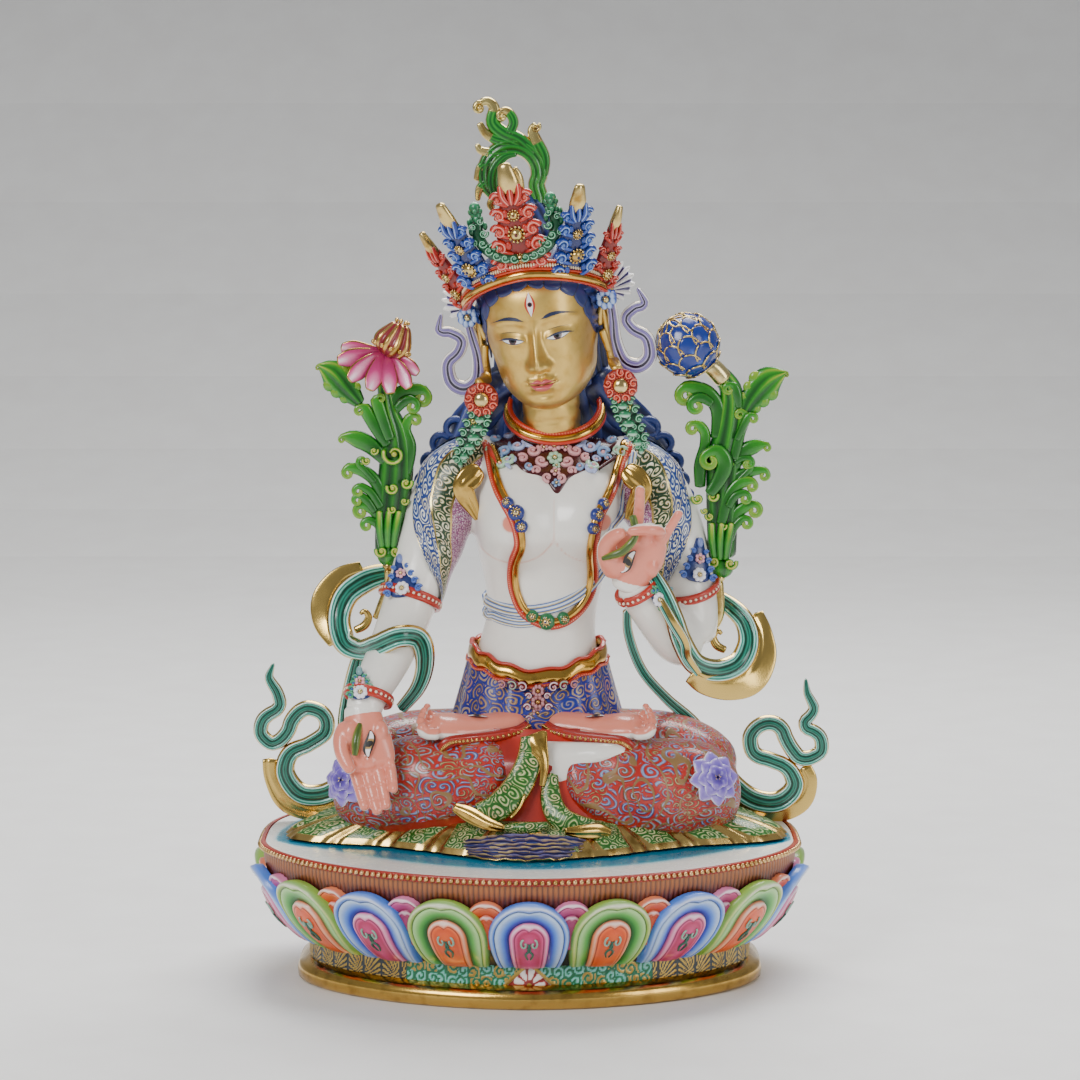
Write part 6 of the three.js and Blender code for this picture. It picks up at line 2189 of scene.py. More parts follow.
def closed_bud():
    """The blue bud of overlapping scale petals, each with a gilt curl at its edge."""
    piece = Piece()
    centre = Vector((SPRAY_KNOB[1][0] - 19, 25, SPRAY_KNOB[1][1] + 135.5))
    axis = Matrix.Rotation(math.radians(-38), 4, "Y") @ Matrix.Rotation(math.radians(14), 4, "X")
    radius = 16.6
    piece.ball(centre, (radius, radius, radius * 1.02), 24, 16, shade=0.1)

    def shade(u, v):
        tip = 0.5 - 0.5 * np.sin(TAU * u) * np.cos(math.pi * (v - 0.5))
        return 0.12 + 0.85 * smooth(0.55, 0.95, tip)

    for row, (tilt, count) in enumerate(((156, 6), (128, 8), (100, 10), (72, 10), (45, 8), (20, 5))):
        for k in range(count):
            turn = TAU * (k + 0.5 * (row % 2)) / count
            place = (Matrix.Translation(centre) @ axis @ Matrix.Rotation(turn, 4, "Z")
                     @ Matrix.Rotation(math.radians(tilt), 4, "Y") @ Matrix.Translation((0, 0, radius))
                     @ Matrix.Rotation(math.radians(90), 4, "Z")
                     @ Matrix.Rotation(math.radians(11), 4, "X"))
            piece.ball((0, -1.4, 0.2), (6.4, 7.4, 1.6), 12, 7, turn=place, shade=shade)
            for side in (-1, 1):
                rim = [(side * 6.3 * math.cos(a), 7.2 * math.sin(a) - 1.4, 0.5, 0.55, 0.6)
                       for a in np.radians(np.linspace(5, 90, 6))]
                inward = [(side * 5.2, -2.6, 0.9, 0.6, 0.7), (side * 4.0, -1.4, 1.2, 0.6, 0.7)]
                piece.limb([*inward, *rim], across=6, along=12, turn=place, gilt=1, depth=UP)
    piece.finish("closed_bud", painted(
        "bud_paint", [(0, "0e1c5e"), (0.3, "2347ac"), (0.6, "5c88d6"), (1, "eaf1fb")], gold="cfb678",
        gloss=0.2), "lotus_paint", "left_lotus_spray")
    collar = Piece()
    x, z = SPRAY_KNOB[1]
    collar.limb(moved([(3, 29, 114, 5.4, 5), (-3, 28, 121, 5.6, 5), (-8, 27, 125, 5.0, 4.6)], x, 0, z),
                across=20, along=16, gilt=1)
    collar.finish("bud_collar", painted("bud_collar_gold", GILT_SKIN, gold="e2cf92"), "gilding",
                  "left_lotus_spray")


# Scarves

# The scarves' own stripes of teal, mint and dark green, with the darkest band set in the flutes'
# valleys as painted shade.
SCARF_BANDS = [(0, "0a4a38"), (0.12, "27937b"), (0.22, "0a4a38"), (0.34, "042b1d"), (0.42, "0e6b54"),
               (0.5, "8fdccd"), (0.56, "49b5a0"), (0.62, "0b4f3c"), (0.68, "3fae98"), (0.73, "d8f4ea")]


def ribbon_section(u, v):
    c, s = np.cos(TAU * u), np.sin(TAU * u)
    return c, signed_power(s, 0.5) * (0.66 + 0.34 * np.cos(c * 9.5))


def ribbon(piece, rows, along):
    piece.limb(rows, across=24, along=along, section=ribbon_section, cloth=(1, 1))


def flange(piece, rows):
    """A broad gilt turned edge."""
    rows = [(x, y, z, max(w, 4.0) * 1.15, 1.5) for x, y, z, w in rows]

    def plate(u, v):
        c, s = np.cos(TAU * u), np.sin(TAU * u)
        return c, signed_power(s, 0.4) * (1 + 0.35 * c - 0.5 * bell(c - 0.45, 0.12))

    piece.limb(rows, across=28, along=40, gilt=1, cloth=(1, 1), blunt=0.35, section=plate)


def finish_scarf(piece, side, part):
    paint = banded(f"{side}_{part}_paint", SCARF_BANDS, edge=0.8)
    piece.finish(f"{side}_scarf_{part}_ribbon", paint, "teal_paint", f"{side}_scarf_{part}")


def right_scarf():
    loop, end = Piece(), Piece()
    ribbon(loop, [(-62, 50, 150, 3, 3), (-82, 45, 148.5, 6, 3), (-96, 40, 145, 7.5, 3.2),
                  (-107, 35, 137, 7.5, 3.4), (-111, 30, 124, 7, 3.4), (-107, 20, 112, 7, 3.4),
                  (-97, 4, 110, 6.5, 3.4), (-87, -12, 115, 6.5, 3.2), (-74, -17, 121, 6.5, 3.2),
                  (-63, -8, 118, 6.5, 3.4), (-60, 0, 104, 5.6, 3.4), (-64, 6, 88, 4.6, 3.2),
                  (-75, 8, 74, 3.5, 3)], along=110)
    flange(loop, [(-97, 40, 152, 2), (-110, 38, 147, 5.5), (-118, 35, 135, 7.5),
                  (-118.5, 32, 122, 6.5), (-112, 26, 110, 3)])
    loop.limb([(-102, 30, 117, 2.2, 1.6), (-96, 30, 120, 2.6, 1.8), (-93.5, 30, 125, 2.2, 1.8),
               (-96, 30, 128.5, 1.6, 1.6), (-98.5, 30, 126.5, 1.2, 1.4)], across=12, along=26, gilt=1)
    finish_scarf(loop, "right", "loop")
    ribbon(end, [(-97, 10, 112, 3, 3), (-102, 20, 92, 4.5, 3), (-107, 38, 66, 5, 3.5),
                 (-108, 49, 42, 5.5, 4), (-110, 49, 26, 6, 4), (-120, 49, 17, 6.5, 4.5),
                 (-135, 49, 17, 6.5, 4.5), (-144, 49, 29, 6, 4.5), (-141, 49, 41, 5.4, 4),
                 (-130, 49, 46.5, 4.8, 4), (-120, 49, 54, 4.8, 4), (-121, 49, 64, 4.8, 4),
                 (-131, 49, 68, 4.8, 4), (-139, 49, 62, 4.8, 4), (-143, 49, 53, 4.6, 4),
                 (-151, 49, 47, 4.6, 4), (-158, 49, 53, 4.4, 4), (-156, 49, 62, 4.4, 4),
                 (-147, 49, 69, 4, 3.6), (-149, 49, 79, 3.6, 3.2), (-153, 49, 86, 2.8, 2.8),
                 (-150, 49, 95, 0.8, 1.6)], along=170)
    flange(end, [(-104, 51, 18, 2.4), (-114, 51, 11, 6), (-128, 51, 8.5, 7), (-143, 51, 13, 6.5),
                 (-152, 51, 26, 3.5), (-153, 51, 38, 1.4)])
    finish_scarf(end, "right", "end")


def left_scarf():
    loop, end = Piece(), Piece()
    ribbon(loop, [(64, -14, 166, 3.5, 2.5), (75, -18, 148, 5, 3), (82, -17, 132, 5.5, 3.4),
                  (87, -12, 117, 6, 3.4), (95, -3, 103, 6.5, 3.4), (108, 8, 97, 7, 3.4),
                  (121, 17, 100, 7, 3.4), (127, 24, 111, 6.5, 3.4), (125, 31, 122, 6, 3.2),
                  (117, 38, 130, 5.5, 3.2), (107, 46, 135, 4, 3), (92, 50, 134, 3, 3)], along=110)
    loop.limb([(70, -16, 150, 2.2, 2.2), (80, -21, 132, 3.4, 3), (88, -17, 118, 3.4, 3),
               (90, -9, 108, 3.2, 3), (97, -4, 97, 2.4, 2.4)], across=20, along=60,
              section=fluted_section(3, 0.2), gilt=lambda u, v: bell(u % 1 - 0.8, 0.09),
              shade=lambda u, v: 0.3 + 0.6 * bell(u % 1 - 0.68, 0.06))
    flange(loop, [(92, -6, 97, 3.2), (101, 4, 90, 5.5), (115, 13, 87.5, 7.5), (128, 20, 91, 8.5),
                  (136, 25, 103, 6.5), (136, 29, 117, 3.5), (131, 34, 127, 1.6)])
    loop.limb([(114, 26, 106, 2.2, 1.6), (108.5, 26, 109, 2.6, 1.8), (106.5, 26, 114, 2.2, 1.8),
               (109, 26, 117.5, 1.6, 1.6), (111.5, 26, 115.5, 1.2, 1.4)], across=12, along=26, gilt=1)
    finish_scarf(loop, "left", "loop")
    ribbon(end, [(56, 2, 134, 2.5, 3), (57, 8, 118, 2.8, 3), (65, 17, 96, 3, 3),
                 (79, 28, 78, 3.2, 3), (95, 38, 62, 3.8, 3), (109, 46, 42, 5, 3.5),
                 (118, 49, 25, 6, 4), (131, 49, 14, 6.5, 4.4), (146, 49, 12, 6.5, 4.4),
                 (156, 49, 21, 6, 4), (152, 49, 32, 5, 4), (142, 49, 37, 4.8, 4),
                 (132, 49, 41, 4.8, 4), (130, 49, 52, 4.8, 4), (138, 49, 59, 4.8, 4),
                 (147, 49, 57, 4.8, 4), (152, 49, 47, 4.8, 4), (160, 49, 38, 4.8, 4),
                 (171, 49, 42, 4.4, 4), (170, 49, 52, 4.2, 4), (161, 49, 58, 4, 3.5),
                 (167, 49, 67, 3.4, 3), (163, 49, 77, 2.4, 2.5),
                 (162, 49, 86, 0.8, 1.6)], along=180)
    flange(end, [(118, 51, 16, 2.4), (130, 51, 7.5, 5.5), (146, 51, 6, 6), (160, 51, 12, 5.5),
                 (165, 51, 24, 3), (161, 51, 33, 1.2)])
    finish_scarf(end, "left", "end")


# Jewellery, sleeves and skirt


def surface_of(name):
    """The surface of a finished object, for rays to be cast at."""
    made = bpy.data.objects.get(name)
    if made is None:
        raise RuntimeError(f"{name} has to be made before the things that lie on it")
    return BVHTree.FromPolygons([vert.co for vert in made.data.vertices],
                                [face.vertices[:] for face in made.data.polygons])


def struck(surface, start, instead):
    """Where a ray back from start strikes a surface, or else its nearest point, and the normal."""
    hit, normal, *_ = surface.ray_cast(start * MM, INWARD)
    if hit is None:
        hit, normal, *_ = surface.find_nearest(instead * MM)
    return hit / MM, normal


def laid(surface, points, lift):
    """The points moved back on to a surface, then out from it by lift."""
    found = []
    for point, up in zip(points, np.broadcast_to(lift, len(points))):
        place = Vector(point) + SEAT_SHIFT
        hit, normal = struck(surface, place - INWARD * RAY_START, place)
        found.append(hit + normal * float(up) - SEAT_SHIFT)
    return np.array(found)


def eased(path):
    """The path with its kinks smoothed out."""
    path = path.copy()
    for _ in range(3):
        path[1:-1] = (path[:-2] + 2 * path[1:-1] + path[2:]) / 4
    return path


def laid_rows(surface, rows, count, lift, half, flat):
    """Rows of a cord that lies on a surface along x and z."""
    path = spline(even([(x, 0, z, half, flat) for x, z in rows]), np.linspace(0, 1, count))
    path[:, :3] = eased(laid(surface, path[:, :3], lift))
    return path


def outward_frame(surface, x, z, lift, roll=0.0):
    """A place on a surface: x across, minus y out of it, z up it."""
    hit, normal = struck(
        surface, Vector((x, -RAY_START, z + LIFT)), Vector((x, 0, z + LIFT)))
    back = -normal
    up = (UP_VECTOR - back * UP_VECTOR.dot(back)).normalized()
    side = back.cross(up)
    frame = Matrix((side, back, up)).transposed().to_4x4()
    spot = hit + normal * lift - SEAT_SHIFT
    return Matrix.Translation(spot) @ frame @ Matrix.Rotation(math.radians(roll), 4, "Y")


COLLAR_OUTER = [(-22, 234), (-21.6, 231), (-19.4, 224.4), (-9.5, 217.8), (-2.9, 212.3), (8, 209),
                (15.7, 200.2), (23.4, 209), (33.2, 213.4), (40.9, 218.9), (49.7, 225.5),
                (53.1, 232), (53, 235)]
COLLAR_INNER = [(-16, 235), (-14, 234.5), (-11, 233), (-7.3, 231), (0.3, 228), (6, 227),
                (11.7, 226.6), (17.4, 227), (23.2, 228), (33.7, 231), (38, 233), (41.5, 234.5),
                (44, 235)]


def collar():
    """The scroll collar with its flowers, the pendant point and the neck ring."""
    skin = surface_of("body")
    piece = Piece()

    def place(u, v):
        x, z = mix(spline(COLLAR_INNER, u), spline(COLLAR_OUTER, u), v[:, None]).T
        edge = smooth(0, 0.08, v) * smooth(1, 0.94, v) * smooth(0, 0.02, u) * smooth(1, 0.98, u)
        return laid(skin, np.column_stack([x, 0 * x, z]), 1.5 * edge - 0.4)

    piece.sheet(90, 16, place, shade=0.05)
    for side in (-1, 1):
        middle = 14.0
        for x, z, size, start, tone in (
                (7.5, 217, 3.0, 200, 0.1), (12, 222.5, 3.2, 120, 0.1), (18, 218.5, 2.6, 30, 0.1),
                (20.5, 224.5, 3.0, 150, 0.35), (26, 229, 2.8, 60, 0.35), (28, 221.5, 3.0, 0, 0.6),
                (34.5, 227.5, 2.8, 140, 0.6), (32, 236.5, 3.2, 100, 0.85), (38.5, 234, 2.8, 20, 0.85),
                (4, 208.5, 2.4, 250, 0.1), (10, 212.5, 2.2, 320, 0.1), (23.5, 217.5, 2.4, 300, 0.35),
                (14.5, 214.5, 2.2, 200, 0.6), (36.5, 222.5, 2.4, 330, 0.85),
                (30.5, 218.5, 2.2, 270, 0.6)):
            frame = outward_frame(skin, middle + side * x, z - side * 0.2, 1.6)
            size = size * 1.22
            curl(piece, 0, 0, 0, size, start if side > 0 else 180 - start, side * 1.15, size * 0.36,
                 turn=frame, shade=0.9, tone=tone)
        for x, z, lean, tone in ((24, 224.5, 40, 0.6), (30.5, 231.5, 30, 0.35), (15, 226, 60, 0.35)):
            frame = outward_frame(skin, middle + side * x, z, 1.7, side * lean)
            piece.limb([(0, 0, -4.5, 0.8, 0.7), (side * 0.9, 0, 0, 1.5, 1.0), (0, 0, 4.5, 0.7, 0.6)],
                       across=10, along=14, turn=frame, shade=0.85, tone=tone)
    for x, z, size, petals, tone in ((14, 225, 4.2, 6, 0.1), (14.4, 218.5, 4.6, 7, 0.85),
                                     (8, 224, 3.0, 5, 0.1), (20.4, 224, 3.0, 5, 0.1),
                                     (15, 211.5, 3.2, 5, 0.1), (15.4, 205.5, 2.8, 5, 0.6),
                                     (15.5, 214.5, 2.4, 5, 0.85)):
        frame = outward_frame(skin, x, z, 2.2)
        flower(piece, 0, 0, 0, size, petals, turn=frame, shade=0.8, tone=tone)
    paint = painted("collar_paint", [(0, "3c0b10"), (0.2, "5b151a"), (1, "e9dbe2")],
                    accents=[(0, "d79a9c"), (0.25, "a9b4dc"), (0.5, "7f9cc4"), (0.75, "a8cfae")],
                    gold="dcc793", gloss=0.26)
    piece.finish("collar", paint, "lotus_paint", "figure")
    neck = Piece()

    def round_neck(count, wider, up, girth):
        angle = np.radians(np.linspace(-105, 105, count))
        return np.column_stack([
            14.5 + (27.5 + wider) * np.sin(angle), 35.5 - (17.5 + wider) * np.cos(angle),
            230 + up + 15 * (1 - np.cos(angle)), np.full(count, girth), np.full(count, girth)])

    neck.limb(round_neck(30, 0, 0, 2.1), across=12, along=60, gilt=1)
    neck.limb(round_neck(30, -1.6, 2.8, 1.5), across=8, along=60, shade=0.5)
    neck.beads(round_neck(58, -0.6, 3.0, 1)[:, :3], 0.75, shade=0.8)
    neck.limb(round_neck(30, 1.2, -2.3, 1.1), across=8, along=60, shade=0.5)
    neck.finish("neck_ring", painted("cord_red", CORD_RED, gold="d6a94e", gold_gloss=0.17),
                "red_paint", "figure")


CORD_RED = [(0, "6e120c"), (0.5, "bf3320"), (0.8, "df7350"), (1, "f0c49c")]


def necklace():
    """The long chain: a gold tube beside a beaded red cord, with bosses at its bends."""
    skin = surface_of("body")
    right = [(-23.4, 231), (-22.6, 226), (-20.4, 218), (-16, 204), (-8.4, 190.7), (-5, 182), (-4, 172),
             (-7.4, 161), (-7.4, 146.5), (-3, 134), (2.5, 128.7), (10.2, 125.4)]
    left = [(55, 231), (54.4, 227), (51.7, 218), (44, 200.6), (37.6, 189.6), (35.4, 179.7),
            (33.8, 168.6), (34.3, 155), (33.2, 144), (27.8, 134), (19, 127), (10.2, 125.4)]
    chain, bosses = Piece(), Piece()
    for rows, side in ((right, -1), (left, 1)):
        tube = laid_rows(skin, rows, 70, 1.5, 2.0, 1.8)
        chain.limb(tube, across=12, along=80, gilt=1)
        path = spline(even([(x, 0, z) for x, z in rows]), np.linspace(0, 1, 90))
        heading = unit(np.gradient(path, axis=0))
        beside = path + np.column_stack([-heading[:, 2], 0 * path[:, 0], heading[:, 0]]) * side * 3.2
        cord = eased(laid(skin, beside, 1.0))
        chain.limb(np.column_stack([cord, np.full(90, 1.7), np.full(90, 1.6)]), across=10, along=80,
                   shade=0.5)
        dense = np.stack([np.interp(np.linspace(0, 89, 105), np.arange(90), beside[:, k])
                          for k in range(3)], axis=1)
        chain.beads(eased(laid(skin, dense, 2.1)), 0.72, shade=0.85)
    for spots, wider, shade in (
            (((-11.9, 195.6, 3.0), (-7.4, 190.6, 3.9), (-4.6, 183.4, 3.2)), 1.25, 0.1),
            (((41.4, 194.6, 3.0), (37.8, 189, 3.4), (35.8, 181.8, 3.0)), 1.25, 0.1),
            (((1.6, 128.9, 3.0), (10, 125.8, 3.9), (19, 127.4, 3.0)), 1.3, 0.9)):
        for x, z, size in spots:
            bosses.ball((0, 0, 0), (size * wider, 3.2, size * wider), 16, 10,
                        turn=outward_frame(skin, x, z, 1.4), shade=shade)
            jewel(bosses, 0, 0, 0, size * 0.66, turn=outward_frame(skin, x, z, 4.6), beads=9)
    chain.finish("long_necklace", painted("necklace_red", CORD_RED, gold="cfa04a", gold_gloss=0.17),
                 "red_paint", "figure")
    bosses.finish("necklace_bosses", painted(
        "boss_paint", [(0, "16246e"), (0.4, "2a48a0"), (0.6, "2f7a4a"), (1, "1c6a3c")], gold="dcc48a"),
        "lotus_paint", "figure")


THREAD_BEHIND = [(-28, 24, 134), (-29, 31, 134.5), (-29, 38, 135), (-26, 47, 136.5), (-18, 56, 140),
                 (-8, 62, 145), (4, 65, 152), (16, 66, 161), (28, 66, 172), (40, 64, 186),
                 (50, 60, 202), (56, 52, 218)]


def sacred_thread():
    """The three-stranded cord from the left shoulder and round the waist."""
    skin = surface_of("body")
    piece = Piece()
    for rows, count in (
            ([(59, 224), (58.5, 219), (56.5, 208), (53.5, 195), (51.5, 180), (48.5, 168),
              (45.3, 161.7), (38, 150), (29.9, 141.9), (19, 136), (6.9, 132.6), (-3, 131.6),
              (-11, 132), (-17, 133), (-21, 134)], 90),
            ([(-21, 127), (-18, 126.2), (-12, 125), (-5, 124.4), (3.1, 125.4)], 36)):
        long = count > 50
        path = laid_rows(skin, rows, count, 0.7, 3.4, 1.5)
        behind = []
        for spot in THREAD_BEHIND[:12 if long else 5]:
            drop = Vector((0, 0, LIFT - (0 if long else 7)))
            hit, normal, *_ = skin.find_nearest(Vector(spot) * MM + drop * MM)
            behind.append((*(hit / MM + normal * 0.7 - SEAT_SHIFT), 3.4, 1.5))
        path = np.vstack([path, behind] if long else [behind[::-1], path])
        path[:, 3] = 3.4 if long else 2.6
        piece.limb(path, across=24, along=count, section=fluted_section(3, 0.3), cloth=(1, 1))
    piece.finish("sacred_thread", banded("thread_paint", [
        (0, "f2f4f2"), (0.12, "ccd8ea"), (0.24, "4f78bc"), (0.34, "2a4c96"), (0.42, "a08a50"),
        (0.56, "cdbf92"), (0.66, "f4f4ee"), (0.8, "a9bfe0"), (0.92, "3a5ea6")], edge=1.2),
        "white_enamel", "figure")


def hoop(piece, centre, axis, radius, girth, **marks):
    """A closed cord round an axis, and the points along it."""
    axis = Vector(axis).normalized()
    side = axis.orthogonal().normalized()
    other = axis.cross(side)
    spots = []
    for k in range(37):
        angle = TAU * k / 36
        spot = Vector(centre) + side * radius * math.cos(angle) + other * radius * math.sin(angle)
        spots.append((*spot, girth, girth))
    piece.limb(spots, across=8, along=48, blunt=0.01, depth=tuple(axis), **marks)
    return np.array(spots)[:, :3]


def arm_jewels():
    """The armlets and the bracelets: red beaded bands with a pointed scroll ornament each."""
    bands, ornaments = Piece(), Piece()
    body_skin = surface_of("body")
    places = (
        # centre, axis, radius, ornament x and z, its height, roll and tone
        ("right_armlet", (-69, 23, 137.5), (0.32, 0.35, 1), 17.0, (-72, 141, 26, -14), 0.2),
        ("left_armlet", (91, 25.5, 143), (0.2, 0.3, -1), 17.6, (96, 149, 25, 10), 0.2),
        ("right_bracelet", (-91.5, -21, 87), (0.28, 0.5, 1), 12.6, (-95, 88, 18, -8), 0.7),
        ("left_bracelet", (61.5, -10.5, 147), (0.5, 0.3, -0.9), 11.8, (70.5, 142, 12, 62), 0.7))
    for name, centre, axis, radius, (x, z, height, roll), tone in places:
        axis = np.array(axis, float) / np.linalg.norm(axis)
        for step in (-1.7, 1.7):
            hoop(bands, np.array(centre) + axis * step, axis, radius + 0.6, 1.4, shade=0.45)
        hoop(bands, centre, axis, radius + 0.3, 1.6, shade=0.3)
        dense = hoop(bands, centre, axis, radius + 1.5, 0.3, gilt=0, shade=0.5)
        count = int(TAU * radius / 2.9)
        steps = np.linspace(0, 36, count, endpoint=False)
        ring = np.stack([np.interp(steps, np.arange(37), dense[:, k]) for k in range(3)], axis=1)
        bands.beads(ring, 1.05, gilt=0.0, shade=1.0)
        frame = outward_frame(body_skin, x, z, 1.0, roll)
        half = 10.5 if "armlet" in name else 7.0
        ornaments.limb([(0, 0.6, -1, half * 0.9, 1.4), (0, 0.6, height * 0.3, half * 0.72, 1.6),
                        (0, 0.6, height * 0.7, half * 0.4, 1.4), (0, 0.6, height, half * 0.2, 1.0)],
                       across=18, along=18, turn=frame, shade=0.1, tone=tone)
        for k in range(4):
            share = (k + 0.4) / 4.4
            reach = half * (0.95 - 0.75 * share)
            for near in (-1, 1):
                curl(ornaments, near * reach, -1.2, height * share * 0.86, 2.4 - 1.1 * share,
                     90 - near * 80, near * 1.1, 0.95 - 0.3 * share, turn=frame, shade=0.72, tone=tone)
        ornaments.ball((0, -1, height * 0.88), (1.9, 1.6, 3.0), 12, 8, turn=frame, shade=0.6,
                       tone=tone)
        flower(ornaments, 0, -2.2, height * 0.5, 3.2, 6, turn=frame, shade=0.9, tone=0.45)
        flower(ornaments, 0, -3.0, height * 0.12, 4.3, 8, turn=frame, shade=1.0, tone=0.95)
    bands.finish("arm_bands", painted(
        "arm_band_paint", [(0, "6e120c"), (0.45, "b52e1c"), (0.7, "cf5136"), (1, "f3dfc4")]),
        "red_paint", "figure")
    ornaments.finish("arm_ornaments", painted(
        "arm_ornament_paint", [(0, "10205a"), (0.4, "2a4a9c"), (1, "e9ecf4")],
        accents=[(0, "3f62b4"), (0.3, "e7a8b4"), (0.6, "3d9a6c"), (0.85, "f0eef6")], gold="d9c48a"),
        "lotus_paint", "figure")


def sleeve_limits(v):
    """The edges of the cape's three zones at each share of its length."""
    outer = np.interp(v, [0, 0.24, 0.42, 0.62, 0.83, 1], [1, 1, 0.82, 0.69, 0.44, 0.1])
    granulated = np.interp(v, [0, 0.18, 0.42, 0.62, 0.83, 1], [0.6, 0.5, 0.435, 0.305, 0.14, 0.02])
    border = np.interp(v, [0, 0.18, 0.42, 0.62, 0.83, 1], [0.8, 0.76, 0.63, 0.47, 0.295, 0.05])
    return np.zeros(len(v)), granulated, border, outer


def sleeves():
    """The short cape over both upper arms: granulated cloth, a scroll-work border and a
    scroll-work edge that ends in a point."""
    zones = [Piece(), Piece(), Piece()]
    # Each zone's columns, its cloth's width, and where and how sharply its gilt edge starts
    sizes = ((22, 30, 0.49, 30), (14, 9, 0.43, 12), (30, 26, 0.475, 30))
    right, upper, _ = arm_rows()
    right = [(-20, 38, 219, 11, 13), *right[1:5], (-68, 21.5, 139, 15.8, 16.2)]
    upper = [(46, 38, 219, 11, 13), *upper[1:5], (92, 25, 137, 16.6, 16.5)]
    for side, rows in ((-1, right), (1, upper)):
        raised = limb_place([(x, y, z, w + 1.4, d + 1.4) for x, y, z, w, d in rows], blunt=0.02)
        length = path_length(rows)
        for near in (-1, 1):
            for zone, (piece, (across, width, start, rate)) in enumerate(zip(zones, sizes)):
                def place(u, v, side=side, near=near, zone=zone, raised=raised):
                    limits = sleeve_limits(v)
                    turn = mix(limits[zone], limits[zone + 1], u) / 2 * near
                    angle = ((0.0 if side < 0 else 0.5) - turn * side) % 1.0
                    ripple = 0.5 * np.sin(v * 21 + turn * 9)
                    points = raised(angle, mix(0.03, 0.995, v))
                    spine = spline(even(rows), mix(0.03, 0.995, v))[:, :3]
                    return points + unit(points - spine) * ripple[:, None]

                def gilt(u, v, zone=zone, start=start, rate=rate):
                    edge = np.clip(0.5 + (abs(u - 0.5) - start) * rate, 0, 1)
                    return edge * (u > 0.5 if zone == 0 else 1)

                piece.sheet(across, 56, place, cloth=(width, length), shade=1, gilt=gilt)
    granules = [(0, "8c4478"), (0.5, "b06c98"), (1, "cf9cb4")]
    zones[0].finish("sleeve_ground", painted(
        "granulated_paint", granules, [(0, "d7a5c0"), (0.5, "c98ea0"), (0.8, "e8d0dc")],
        gold="c9a860", scroll=(1.9, 1.5, "ecd9e2"), mottling=0.3), "lotus_paint", "figure")
    zones[1].finish("sleeve_border", painted(
        "sleeve_border_paint", [(0, "16381a"), (0.5, "35562a"), (1, "8f8a58")],
        [(0, "cfc48c"), (0.4, "b39a68"), (0.7, "e6dfbc")], gold="c2b070",
        scroll=(5.4, 1.9, "f0ead0")), "green_paint", "figure")
    zones[2].finish("sleeve_edge", painted(
        "sleeve_edge_paint", [(0, "1d3a80"), (0.5, "3f5c96"), (1, "8f98a8")],
        [(0, "b9ac84"), (0.3, "d9dcd8"), (0.6, "94825a"), (0.8, "8ea6cc")], gold="c2b070",
        scroll=(8.4, 2.5, "f3f2ea")), "lotus_paint", "figure")
    knots = Piece()
    for side in (-1, 1):
        rows = [(41, 11, 214, 4.4, 1.6), (46, 9, 210, 7.0, 2.0), (51, 8, 204.5, 6.2, 2.2),
                (49.5, 9, 198, 5.6, 2.0), (46, 12, 191, 4.0, 1.8), (43, 15, 184, 1.8, 1.4)]
        knots.limb(mirrored(rows, side, 13.2), across=24, along=36,
                   section=fluted_section(2.4, 0.25), gilt=1)
    knots.finish("armpit_folds", painted("fold_gold", GILT_SKIN, gold="c9a352", gold_gloss=0.16),
                 "gilding", "figure")


def waist_sag(turn):
    """How far the belt sags at each angle round the waist."""
    return 12 * bell(np.cos(turn), 0.75) * smooth(0.0, -0.6, np.sin(turn))


def round_waist(turn, x, half, y, deep, z):
    return np.stack([x + half * signed_power(np.cos(turn), BOXY_POWER),
                     y + deep * signed_power(np.sin(turn), BOXY_POWER), z], axis=1)


